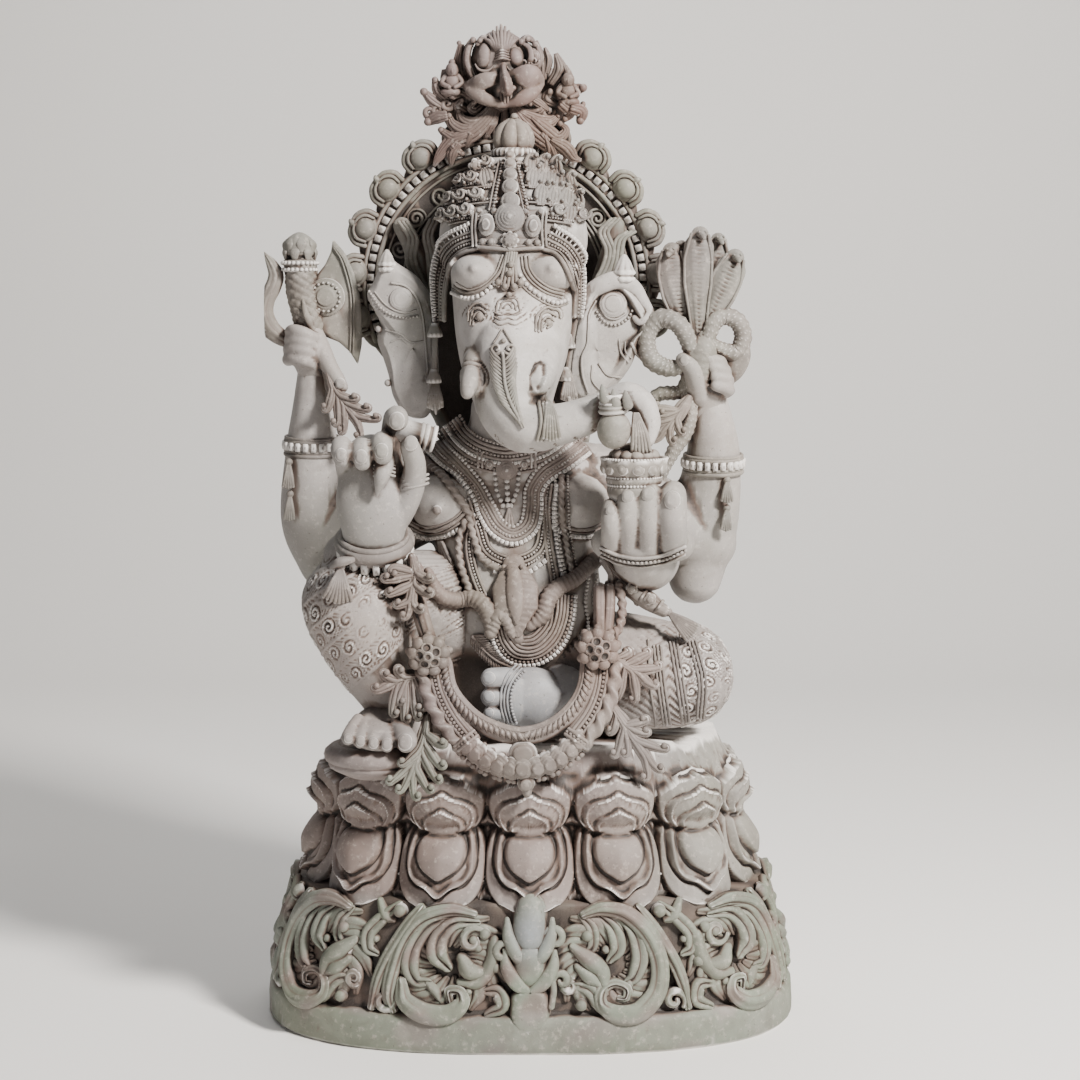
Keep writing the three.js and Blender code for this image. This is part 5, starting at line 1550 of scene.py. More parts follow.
def axe():
    """The axe in the raised hand: carved shaft with a knob, broad curved blade, and a horn behind."""
    c = Carving()
    c.tube(seen(SHAFT), (19, 19, 18, 16.5, 16), 48, 1.8,
           relief=lambda s, a: 2.4 * np.sqrt(np.abs(np.sin(np.pi * s / 11 + 4 * a)
                                                    * np.sin(np.pi * s / 11 - 4 * a))) - 1)
    knob = seen([(300, 268, 32)])[0]
    c.turned(AXE_KNOB, knob, around=56,
             relief=lambda r, a: 0.9 * np.abs(np.cos(4 * a)) * (r > 6) * (r < 18.4))
    for z, r in ((-2, 20.5), (6, 21.5)):
        c.beads(ring_round(knob + (0, 0, z), r), 2.6, 2.1, (0, 0, 1))
    for level, count, turn in KNOB_LEAVES:
        for k in range(count):
            a = (k + turn) * TAU / count
            way = np.array((np.cos(a), np.sin(a), 0))
            c.tube([knob + way * 18.5 + (0, 0, level - 4),
                    knob + way * (20.5 - level * 0.08) + (0, 0, level + 3),
                    knob + way * (15 - level * 0.1) + (0, 0, level + 11)], (4.5, 6.5, 1.6), 14, 2.4, 0.4, way)
    c.tube(seen(AXE_TONGUE), (1.8, 3.6, 4.4, 2.4), 14, 2, 0.7)
    outline = seen([(u, v, 32) for u, v in AXE_BLADE])[:, [0, 2]]
    closed = np.vstack([outline, outline[:1]])
    ring = np.vstack([np.linspace(a, b, 10, endpoint=False) for a, b in zip(closed[:-1], closed[1:])])
    soft = (np.roll(ring, 2, 0) + np.roll(ring, 1, 0) + ring
            + np.roll(ring, -1, 0) + np.roll(ring, -2, 0)) / 5
    ring = ring * 0.4 + soft * 0.6
    middle = np.array((-236, 874))
    reach = np.hypot(*(ring - (-264, 870)).T)
    thin = 2.0 + 7.0 * np.exp(-reach / 30)
    rows = [(0.0, -1, 1.2), (0.5, -1, 1.15), (0.88, -1, 1.0), (0.97, -1, 0.8), (1, -1, 0.35), (1, 1, 0.35),
            (0.97, 1, 0.8), (0.5, 1, 1.1), (0.0, 1, 1.1)]
    grid = np.array([np.column_stack([middle[0] + (ring[:, 0] - middle[0]) * share,
                                      32 + side * thin * part, middle[1] + (ring[:, 1] - middle[1]) * share])
                     for share, side, part in rows])
    grid[[0, -1]] = grid[[0, -1]].mean(axis=1, keepdims=True)
    c.sheet(grid)
    for inset in (4, 7):
        edge = [(334, 244 + inset * 0.6, 27), (349 - inset, 262, 27), (357 - inset, 292, 27),
                (358 - inset, 322, 27), (357 - inset, 352, 28)]
        c.tube(seen(edge), (0.9, 1.2, 1.2, 0.9), 8, 3)
    disc = seen([(326, 297, 26)])[0]
    c.dome(disc, FRONT, 23, 7, None, ((1, 0.3), (0.84, 0.25), (0.66, 0.15), (0.5, 0.3)), 48, 28)
    for way in spokes(18):
        c.ball(disc + 17.2 * way + (0, -5, 0), (2.1, 2.1, 2.1), 8, 6)
    c.tube(seen(HORN), HORN_RADII, 26, 3, 0.8,
           relief=lambda s, a: -1.8 * ridge(a - 1.2, 0.16) - 1.8 * ridge(a - 1.95, 0.16) + 0 * s)
    finish_piece("axe", c)


def scaled(depth, pitch):
    """Scales: two crossing waves along and round the body."""
    return lambda s, a: depth * np.abs(np.sin(np.pi * s / pitch)) * np.abs(np.sin(5 * a + np.pi * s / pitch))


def belly(depth, pitch):
    """A trough down the front of a hood with short cross ridges in it."""
    return lambda s, a: depth * (ridge(a - np.pi / 2, 0.42) * (1.3 * np.abs(np.cos(np.pi * s / pitch)) - 1.9)
                                 - 0.8 * ridge(np.abs(a - np.pi / 2) - 0.85, 0.4))


HOOD_SHAPE = (0.35, 0.5, 0.7, 0.95, 0.98, 0.62)   # share of its width that a hood has from root to brow
HOODS = (   # line of pixels from the root to the brow, its depth in mm, widest radius
    ([(697, 356), (688, 330), (680, 305), (675, 282), (672, 263), (672, 252)], 8, 20),
    ([(700, 356), (699, 330), (698, 300), (698, 270), (699, 246), (700, 235)], 0, 18),
    ([(702, 350), (707, 318), (713, 290), (717, 262), (718, 240)], 22, 15),
    ([(705, 356), (708, 330), (715, 306), (724, 286), (731, 268), (735, 258)], 4, 19),
    ([(695, 350), (692, 318), (687, 285), (683, 262), (682, 246)], 24, 12),
)


# Pixels, their depths, radii
COILS = (
    ([(694, 360), (688, 340), (678, 324), (662, 318), (650, 328), (646, 344), (652, 360), (668, 368),
      (684, 366)],
     (4, -4, -6, -2, 2, 4, 4, 2, -4),
     (10, 10, 10.5, 10.5, 10.5, 11, 11, 10, 8)),
    ([(700, 350), (708, 336), (714, 322), (724, 316), (738, 322), (743, 338), (736, 352), (722, 350),
      (712, 344)],
     (6, 4, 6, 10, 12, 14, 14, 10, 4),
     (8, 9, 10, 10, 10, 10, 10, 9, 7)),
    ([(696, 384), (698, 366), (702, 350), (706, 338)], (12, 8, 6, 8), (18, 21, 19, 12)),
    ([(690, 366), (692, 382), (680, 392), (660, 394), (648, 404)], (6, 6, 14, 20, 26), (10, 9, 8, 8, 6)),
    ([(686, 385), (690, 405), (686, 430), (674, 450), (665, 470), (662, 486)],
     (12, 12, 16, 20, 24, 28),
     (10, 10, 9, 8, 5, 2)),
)
TAIL_LEAF = [(741, 340, 14), (740, 356, 12), (733, 372, 16), (724, 386, 22)]   # pixels with depth


def serpent():
    """The five-headed serpent: hoods like long spoons fanned from one root, each with a ridged belly and
    a small head bent over it, two coils and a tail worked with scales."""
    c = Carving()
    for line, y, wide in HOODS:
        depth = y + np.interp(np.linspace(0, 1, len(line)), [0, 0.3, 0.7, 1], [10, 4, 0, 2])
        c.tube(seen(np.column_stack([line, depth])),
               (7, wide * 0.5, wide * 0.7, wide * 0.95, wide, wide * 0.6), 40, 1.7, 0.4,
               relief=belly(wide * 0.2, 5.0))
        rim = dense(line, 4)
        across = across_of(rim)
        half = wide / 1.2 * stretched(HOOD_SHAPE, len(rim))
        for k in (-1, 1):
            edge = rim + across * (half * k * 0.93)[:, None]
            c.tube(hung(edge, y + 5, y - 3), (1.2, 2.0, 2.2), 9, 3)
        top = np.array(line[-1])
        lean = 2 if top[0] > 690 else -2
        head = seen([(*(top + (lean, -1)), y - 4)])[0]
        c.ball(head, (6.5, 8, 5.5), 20, 12)
        c.tube(seen([(*(top + (lean, 0)), y - 6), (*(top + (lean * 2, 3)), y - 12)]), (5, 3), 16, 2, 0.8)
        for k in (-1, 1):
            c.ball(head + (4 * k, -6, 2.5), (1.7, 1.7, 1.7), 10, 7)
    scales = dict(step=2.0, relief=scaled(1.5, 7.5))
    for line, y, radii in COILS:
        c.tube(seen(np.column_stack([line, y])), radii, 28, **scales)
    c.tube(seen(TAIL_LEAF), (9, 13, 12, 4), 26, 2.4, 0.4,
           relief=lambda s, a: -3.0 * ridge(a - np.pi / 2, 0.7) + 0 * s)
    finish_piece("serpent", c, 0.8)


def nail(c, point, facing, size):
    """A finger nail: a low dome with a sunk rim on the finger's end."""
    c.dome(point, facing, size, size * 0.42, lambda a: 1 + 0.25 * np.abs(np.sin(a)),
           ((1, 0.5), (0.72, 0.5)), 20, 10)


def nails(c, spots):
    """Nails laid at pixels on the skin that was kept last as grip, each with its size in mm."""
    for u, v, size in spots:
        point, facing = laid(["grip"], [(u, v)], -0.4)
        nail(c, point[0], unit(facing[0] + np.array(FRONT) * 0.4), size)


TUSK_PALM = [(-181, -116, 578), (-181, -130, 604), (-180, -133, 640), (-182, -128, 680)]
TUSK_FINGERS = ((-214, 707, 11.5), (-190, 704, 12.5), (-167, 711, 13))   # x, height of the knuckle, radius
TUSK_SMALL_FINGER = [(-162, -128, 672), (-158, -138, 712), (-153, -150, 738), (-150, -166, 736)]
TUSK_THUMB = [(-166, -122, 600), (-150, -132, 628), (-136, -142, 656), (-131, -156, 684), (-136, -168, 706)]
# Pixel and size in mm
TUSK_NAILS = ((341, 455, 6.4), (361, 457, 7), (381.5, 451, 7.4), (397, 421, 8.5), (411, 443, 7.4))
# Radius and height in mm, with its rings
SHORT_TUSK = [(0, -2), (14, -1), (14, 26), (15.5, 27), (15.5, 30), (14, 31), (15.5, 32), (15.5, 36),
              (13.5, 37), (13.5, 40), (15.5, 41), (15.5, 45), (0, 46)]
TUSK_POINT = [(-164, -160, 690), (-168, -172, 672), (-174, -168, 650)]
POT_WRIST = [(606, 543, -128), (640, 548, -140), (678, 544, -128)]   # pixels with depth
# Pixel across, top and foot, radius in mm
POT_FINGERS = ((611, 500, 543, 11.4), (628, 485, 544, 12.4), (648, 482, 546, 13.8), (672, 487, 542, 17))
POT_NAILS = ((611, 510, 6), (628, 496, 6.8), (648.5, 494, 7.4), (672.5, 500, 9))   # pixel and size in mm
AXE_PALM = [(-263, 28, 780), (-266, 22, 804), (-272, 26, 832)]
AXE_THUMB = [(-252, 16, 806), (-243, 6, 790), (-234, 2, 776), (-228, 0, 766)]
SERPENT_PALM = [(214, 26, 736), (213, 22, 762), (208, 18, 790)]
SERPENT_FINGERS = ((762, 240), (773, 239), (784, 236), (794, 231))   # height and reach in mm
SERPENT_THUMB = [(206, 12, 756), (200, -2, 776), (194, -8, 790), (184, -8, 799)]


def hands():
    """Four hands, each melted from palm and finger shapes, then given nails: one holds a short tusk, one
    a small pot, one the axe and one the serpent."""
    soft = Carving()
    finger = dict(around=18, step=4)
    soft.tube(TUSK_PALM, (31, 37, 44, 38), 32, 5, 0.6,
              up=(0, -1, 0.1))
    for x, top, radius in TUSK_FINGERS:
        soft.tube([(x + 2, -128, top - 34), (x, -144, top - 10), (x, -160, top), (x, -174, top - 6),
                   (x + 1, -175, top - 15)],
                  (radius, radius, radius, radius, radius - 2), 20, 3)
    soft.tube(TUSK_SMALL_FINGER, (14, 14, 14, 13), **finger)
    soft.tube(TUSK_THUMB,
              (14, 17, 15, 13, 11.5), **finger)
    soft.ball((-156, -134, 626), (15, 12, 30), 20, 12)
    soft.ball((-203, -136, 636), (17, 11, 34), 20, 12)
    c = skin(soft, 1.9, 7, "grip")
    nails(c, TUSK_NAILS)
    for z in (660, 665, 670):
        c.tube([(-150, -136, z - 5), (-142, -156, z - 3), (-126, -156, z), (-117, -144, z + 2)], (1.8,), 8, 3)
    c.turned(SHORT_TUSK, (-152, -142, 724), (1, 0.12, -0.28), 32)
    c.tube(TUSK_POINT, (11, 9, 1.6), 18, 3)
    for t in (0, 1, 2, 3):
        c.tube([(-177, -158 - 2 * t, 684 - 4 * t), (-166, -174 - 1.5 * t, 688 - 4 * t),
                (-154, -160 - 2 * t, 684 - 4 * t)],
               (1.7,), 8, 2)
    finish_piece("hand_with_tusk", c, 0.55)

    soft = Carving()
    soft.ball(seen([(642, 550, -118)])[0], (45, 42, 25), 32, 18)
    soft.tube(seen(POT_WRIST), (18, 24, 20), 24, 4, 0.9)
    for u, top, low, radius in POT_FINGERS:
        soft.tube(seen([(u, low, -150), (u, (top + low) / 2 + 6, -166), (u, top + 14, -163),
                        (u + 0.5, top + 7, -150)]),
                  (radius * 1.06, radius * 1.02, radius, radius * 0.94), 20, 4)
    soft.ball(seen([(640, 522, -134)])[0], (38, 26, 30), 24, 14)
    c = skin(soft, 1.9, 3, "grip")
    nails(c, POT_NAILS)
    for row, (kind, size, lift) in enumerate((("rib", 2.4, 1.5), ("fine", 2.4, 2), ("rib", 1.8, 1.5))):
        strap(c, ["grip", "torso"], [(602, 547 + row * 4), (620, 555 + row * 4), (640, 558 + row * 4),
                                     (662, 555 + row * 4),
                            (684, 546 + row * 4)], ((0, kind, size, lift),))
    finish_piece("hand_with_pot", c, 0.55)

    soft = Carving()
    soft.tube(AXE_PALM, (20, 25, 19), 26, 5, 0.8)
    for k, z in enumerate((796, 808, 819, 829)):
        soft.tube([(-296 + k, 34, z + 2), (-290 + k, 12, z + 4), (-274, 3, z + 2), (-262, 10, z - 4)],
                  (8.2, 8.6, 8.2, 7), **finger)
    soft.tube(AXE_THUMB, (12, 10.5, 9.5, 8), **finger)
    c = skin(soft, 1.9, 3)
    nail(c, (-229, -8, 770), (0.1, -1, -0.1), 6)
    finish_piece("hand_with_axe", c, 0.55)

    soft = Carving()
    soft.tube(SERPENT_PALM, (23, 28, 22), 26, 5, 0.75)
    for k, (z, end) in enumerate(SERPENT_FINGERS):
        soft.tube([(222, 20, z - 3), (end, 10, z - 1), (end - 4, 0, z + 3), (end - 16, -6, z + 6)],
                  (8.5, 9, 8.5, 7), **finger)
    soft.tube(SERPENT_THUMB, (15, 13, 11.5, 9), **finger)
    c = skin(soft, 1.9, 3)
    nail(c, (185, -17, 799), (-0.2, -1, 0.2), 5.5)
    finish_piece("hand_with_serpent", c, 0.55)


# Radius and height in mm
POT_SHAPE = [(0, -16), (28, -14), (31, -4), (31, 1), (29, 4), (32, 7), (33, 11), (31, 13), (34, 18),
             (38, 27), (39, 34), (35, 36), (32, 34), (0, 33)]
POT_RINGS = ((4, 30, 1.9), (13, 31, 1.8), (34.5, 38, 1.8))   # height, radius and bead size in mm


def pot():
    """The small pot held in the hand on the right: a banded body with a petalled rim and round ornaments,
    heaped with balls."""
    c = Carving()
    foot = seen([(634, 488, -142)])[0]
    c.turned(POT_SHAPE, foot, around=64,
             relief=lambda r, a: np.where((r > 28) & (r < 32.5), 0.6 * np.cos(28 * a),
                                          0.6 * np.cos(12 * a) * (r > 35)))
    for height, radius, size in POT_RINGS:
        c.beads(ring_round(foot + (0, 0, height), radius, 80), size, 2.1, (0, 0, 1))
    for k in range(12):
        a = k * TAU / 12 - np.pi / 2 + 0.1
        way = np.array((np.cos(a), np.sin(a), 0))
        c.dome(foot + way * 35.5 + (0, 0, 24), way, 7.5, 4, None, ((1, 0.5), (0.7, 0.3), (0.4, 0.2)), 20, 8)
        c.ball(foot + way * 21 + (0, 0, 37), (9, 9, 8), 16, 10)
    c.ball(foot + (0, 0, 42), (18, 18, 11), 20, 12)
    finish_piece("pot", c)


FRONT_FOOT = [(-156, -62, 392), (-163, -96, 386), (-172, -128, 377), (-175, -152, 370)]
# Pixel of the tip and radius in mm
TOES = ((348, 737, 7.4), (360, 740, 7.8), (373, 742, 8.4), (387, 743, 9), (406, 741, 12.4))
# Pixel and size in mm
TOE_NAILS = ((348.5, 738, 4.8), (360.5, 741, 5), (373.5, 743, 5.4), (387, 744, 6), (405, 742, 8))
LAP_ANKLE = [(560, 690, -96), (590, 690, -80)]   # pixels with depth
LAP_TOES = ((678, 491, 13), (697, 490, 12), (713, 491, 10))   # pixel down and across, radius in mm
LAP_PADS = ((678, 7.6), (697, 7), (713, 6))   # pixel down, size in mm


def feet():
    """Both feet: the one on the cushion with five toes, and the one laid across the lap with its sole
    turned forward, toes, anklet and the ridges of its hem."""
    soft = Carving()
    toe = dict(around=16, step=3)
    soft.tube(FRONT_FOOT, (24, 30, 36, 33), 30, 5, 0.44,
              up=(0, -0.35, 1))
    for u, v, radius in TOES:
        soft.tube(seen([(377 + (u - 377) * 0.66, v - 18, -140),
                        (377 + (u - 377) * 0.86, v - 9, -160), (u, v, -176),
                        (u, v + 3, -182)]), (radius * 0.9, radius * 0.95, radius * 1.1, radius * 0.85), **toe)
    c = skin(soft, 1.6, 2, "grip")
    nails(c, TOE_NAILS)
    finish_piece("foot_on_cushion", c, 0.55)

    soft = Carving()
    soft.ball(seen([(530, 697, -116)])[0], (42, 30, 36), 30, 18)
    soft.ball(seen([(512, 697, -122)])[0], (30, 26, 35), 26, 16)
    soft.tube(seen(LAP_ANKLE), (34, 42), 26, 5)
    for v, u, radius in LAP_TOES:
        soft.tube(seen([(506, v, -134), (u, v, -142)]), (radius, radius * 0.94), **toe)
    c = skin(soft, 1.9, 3, "sole")
    for v, size in LAP_PADS:
        boss(c, ["sole"], (489, v), size, 3, ((1, 0.5), (0.7, 0.5)), lift=0, around=20)
    anklet = [(524, 672), (515, 682), (511, 696), (512, 710), (516, 722)]
    strap(c, ["sole"], anklet, ((0, "fine", 2.0, 1.4), (-3.6, "rib", 1.5, 1), (-7, "rib", 1.5, 1),
                                (-10.5, "rib", 1.5, 1)))
    finish_piece("foot_on_lap", c, 0.55)


BODY = ["torso", "legs"]


def armlet(c, centre, axis, radius, rows, squash=(1, 1)):
    """Rings round a limb: each row is (mm along the limb, kind, size in mm)."""
    axis = unit(axis)
    side = unit(np.cross(axis, FRONT))
    other = np.cross(side, axis)
    a = np.linspace(0, TAU, 73)
    way = np.cos(a)[:, None] * side * squash[0] + np.sin(a)[:, None] * other * squash[1]
    for shift, kind, size in rows:
        path = np.asarray(centre, float) + axis * shift + way * radius
        if kind == "rib":
            c.tube(path, (size,), 10, 4, up=unit(way))
        else:
            c.beads(path, size, 2.1, unit(way), kind, (0.8, 1.5, 1) if kind == "block" else (1, 1, 1))


def tassel(c, top, foot, spread, depth, strands=6, size=2.4):
    """A fan of strands from one pixel to a row of pixels centred on another."""
    top, foot = np.array(top, float), np.array(foot, float)
    across = unit((foot - top)[::-1] * [1, -1])
    for k in np.linspace(-1, 1, strands):
        spots = np.array([top, top * 0.5 + foot * 0.5 + across * spread * k * 0.55, foot + across * spread * k
                          - unit(foot - top) * abs(k) * spread * 0.35])
        c.tube(seen(np.column_stack([spots, np.array(depth) + [0, -3, 0]])),
               (size * 0.7, size, size * 0.8), 8, 3)
    c.ball(seen([(*top, depth[0])])[0], (size * 1.8,) * 3, 14, 9)


NECKLACE = [(436, 448), (458, 466), (475, 487), (486, 508), (497, 527), (513, 536), (528, 527), (533, 508),
            (534, 490), (544, 473), (562, 461), (582, 448)]
LONG_CHAIN = [(470, 498), (480, 528), (489, 552), (512, 562), (536, 552), (543, 530), (545, 498)]
ROPE = [(424, 457), (440, 474), (454, 492), (467, 512), (474, 536), (482, 558), (498, 569), (514, 572)]
COLLAR = [(444, 428), (458, 446), (478, 458), (507, 464), (540, 458), (562, 446), (580, 430)]


JEWELS = (   # line of pixels, and its rows: pixels across, kind, size and lift in mm
    (COLLAR,
     ((-9, "rib", 2.2, 2), (-5.5, "fine", 2.2, 3), (-2, "rib", 2.2, 2.5), (1.5, "block", 2.4, 3),
      (5, "rib", 2.2, 2.5), (8.5, "fine", 2.2, 3), (12, "rib", 2.4, 2.5), (16, "rib", 2.4, 2.5),
      (20, "fine", 2.2, 3))),
    (NECKLACE,
     ((0, "band", 13, 0), (8.5, "round", 2.5, 3), (5, "rib", 2.0, 4), (1.8, "rib", 2.0, 4.5),
      (-1.6, "fine", 2.0, 4.5), (-5, "rib", 2.2, 4), (-9, "block", 2.8, 3.5))),
    (LONG_CHAIN, ((4, "rib", 2.0, 3), (0.5, "fine", 2.0, 3), (-3, "rib", 2.0, 3), (-6.5, "fine", 1.8, 3))),
    (ROPE, ((0, "rope", 4.6, 3),)),
    ([(496, 572), (512, 576), (530, 572), (544, 562)], ((0, "block", 3.2, 2),)),
    ([(464, 520), (460, 545), (464, 572), (474, 600)],
     ((0, "rope", 4.4, 3), (7, "rib", 2.0, 2), (10, "fine", 2.0, 2), (13, "rib", 2.0, 2))),
    ([(550, 486), (547, 516), (548, 545), (555, 585)],
     ((-3, "rib", 2.2, 3), (0, "fine", 2.0, 3), (3, "rib", 2.2, 3), (8, "block", 2.6, 2.5))),
    ([(562, 478), (563, 510), (565, 545), (572, 580)],
     ((0, "rope", 3.8, 3), (-6, "round", 2.4, 2.5), (6, "fine", 2.0, 2.5))),
    ([(408, 522), (424, 529), (440, 528), (456, 520), (467, 509)],
     ((0, "rib", 2.4, 1.5), (3, "rib", 1.4, 1), (-4, "rib", 1.6, 1), (-8, "block", 3.0, 1.5))),
    ([(556, 520), (572, 528), (590, 528), (602, 522)],
     ((0, "rib", 2.4, 1.5), (-4, "rib", 1.6, 1), (-8, "block", 3.0, 1.5))),
)


def jewels():
    """Collar, necklaces, breast band, chains and rope down the front, laid row by row on the body."""
    c = Carving()
    on = ["torso"]
    for line, rows in JEWELS:
        strap(c, on, line, rows)
    for k in range(4):
        strap(c, on, [(441 + k, 542), (443 + k * 2.2, 555), (446 + k * 3, 569 - abs(k - 1.5) * 2)],
              ((0, "rib", 2.4, 3),))
    boss(c, on, (507, 468), 13.5, 8, MEDALLION, lift=3, rings=26)
    for side in (-1, 1):
        strap(c, on, [(507 + side * 12, 472), (507 + side * 10, 490), (507 + side * 4, 506)],
              ((0, "round", 3.0, 3),))
        strap(c, on, [(507 + side * 26, 452), (507 + side * 26, 466)],
              ((-2, "rib", 1.8, 4), (2, "rib", 1.8, 4)), calm=0)
        boss(c, on, (507 + side * 17, 463), 6, 6, ((1, 0.5), (0.5, 0.5)), scallops(6), 3, 18)
    strap(c, on, [(507, 480), (508, 506)], ((0, "round", 3.6, 3),))
    for k in (-1, 0, 1):
        strap(c, on, [(509, 510), (509 + 2.5 * k, 518), (509 + 4 * k, 528)], ((0, "rib", 2.4, 3),), calm=0)
    boss(c, on, (437, 510), 6, 5, lift=0, around=20)
    finish_piece("jewels", c, 0.85)


def belly_scales(s, a):
    """Broad scales down a serpent's body: ridges 6.2 mm apart that bend back over its sides."""
    return 1.5 * np.abs(np.cos(np.pi * (s + 2.2 * np.abs(np.cos(a))) / 6.2)) - 0.8


def hood_scales(s, a):
    """Rows of scales on the front of the spread hood, bent back over its sides and left off its middle."""
    front = np.clip(np.sin(a), 0, 1)
    return 1.6 * np.cos(TAU * s / 6.5 - 4 * np.abs(np.cos(a))) * front * (np.abs(np.cos(a)) > 0.25)


# Pixels, radii
BELT_SERPENTS = (
    ([(426, 572), (432, 586), (442, 598), (457, 601), (474, 599), (487, 608), (493, 626)],
     (5, 8, 9, 9, 10, 11, 8)),
    ([(492, 632), (499, 616), (507, 620), (512, 634)], (8, 10, 9, 5)),
    ([(592, 560), (584, 568), (572, 580), (558, 588), (548, 598), (542, 614), (530, 626)],
     (10, 9, 9.5, 10, 10.5, 10, 6)),
)
BELT_HOOD = [(514, 566), (515, 584), (516, 604), (518, 632)]   # pixels
HOOD_FRONT = [(514, 576), (515, 590), (516, 606), (517, 622)]   # pixels
BELT_SWAG = [(500, 622), (506, 642), (518, 653), (538, 652), (554, 638), (562, 618), (564, 596)]   # pixels
INNER_SWAG = [(548, 606), (546, 624), (534, 638), (522, 640)]   # pixels
FEATHER_LINE = [(474, 636), (484, 648), (498, 660), (516, 668)]   # pixels
# Pixels, radius in mm
HIP_CORDS = (
    ([(417, 568), (418, 590), (422, 612), (430, 640)], 7),
    ([(410, 572), (413, 596), (420, 620), (427, 642)], 6),
    ([(600, 588), (600, 610), (601, 640)], 7),
    ([(610, 588), (609, 612), (606, 640)], 6),
)
HIP_ROPE = [(619, 586), (622, 604), (620, 624), (612, 640)]   # pixels


def belt():
    """The serpent tied as a belt with its spread hood, the swags and feathered band below it, and the
    cords at the hips."""
    c = Carving()
    for spots, radii in BELT_SERPENTS:
        points, facing = laid(BODY, spots, 5, calm=5)
        c.tube(points, radii, 24, 1.5, up=facing, relief=belly_scales)
    points, facing = laid(["torso"], BELT_HOOD, 6)
    c.tube(points, (13, 27, 26, 6), 48, 1.5, 0.3, facing, hood_scales)
    points, facing = laid(["torso"], HOOD_FRONT, 13)
    c.tube(points, (8, 11, 10, 3), 20, 3, 0.5, facing, lambda s, a: 0.5 * np.cos(s * TAU / 5))
    boss(c, ["torso"], (513, 572), 9, 7, lift=9, around=20)
    boss(c, ["torso"], (518, 637), 9, 8, lift=1, around=20)
    for k in (-1, 1):
        boss(c, ["torso"], (513 + k * 8, 570), 3, 4, lift=13, around=12, rings=6)
    rows = ((0, "rib", 2.2, 2.5), (3.4, "rib", 2.2, 3), (6.8, "rib", 2.2, 3), (-3.4, "rib", 2.0, 2),
            (-7, "fine", 2.4, 2),
            (-10.5, "block", 2.6, 2))
    strap(c, BODY, BELT_SWAG, rows)
    strap(c, BODY, INNER_SWAG, ((0, "rib", 2.2, 3), (3.4, "rib", 2.0, 3),
                                                                                 (-3.4, "rib", 2.0, 3)))
    line = dense(FEATHER_LINE, 3)
    normal = across_of(line)
    strap(c, BODY, line, ((0, "rib", 2.2, 3),))
    for spot, way in zip(line, normal):
        for side in (-1, 1):
            path, facing = laid(BODY, [spot + way * side, spot + way * side * 5 + [2.5, 2],
                                                    spot + way * side * 8 + [5, 4]], 2.5, calm=0)
            c.tube(path, (1.6, 2.2, 1.2), 8, 2, up=facing)
    # Pendant tip and cords at the hips
    boss(c, BODY, (518, 668), 6, 6, lift=2, around=16)
    for path, radius in HIP_CORDS:
        c.tube(hung(dense(path), -118, -150), (radius,), 18, 3, 0.8, relief=lambda s, a: 0.9 * np.cos(6 * a))
    c.tube(hung(dense(HIP_ROPE), -116, -146), (5,), 14, 2.4,
           relief=twist(1.1, 11))
    for shift in (-4, 4):
        strap(c, BODY, [(591 + shift, 575), (588 + shift, 604), (594 + shift, 634)], ((0, "round", 2.4, 3),))
    finish_piece("belt", c, 0.9)


INNER_ROLL = [(443, 664), (448, 688), (460, 706), (478, 722), (500, 732), (520, 736), (542, 732),
              (562, 721), (578, 704), (587, 684), (590, 660)]
SWAG_LEFT = [(431, 668), (437, 694), (449, 718), (466, 740)]
SWAG_RIGHT = [(606, 664), (603, 690), (594, 714), (577, 738)]
DISCS = ((469, 745), (477, 753), (487, 760), (499, 765), (511, 768), (536, 767), (548, 763), (559, 757),
         (569, 749), (577, 741))


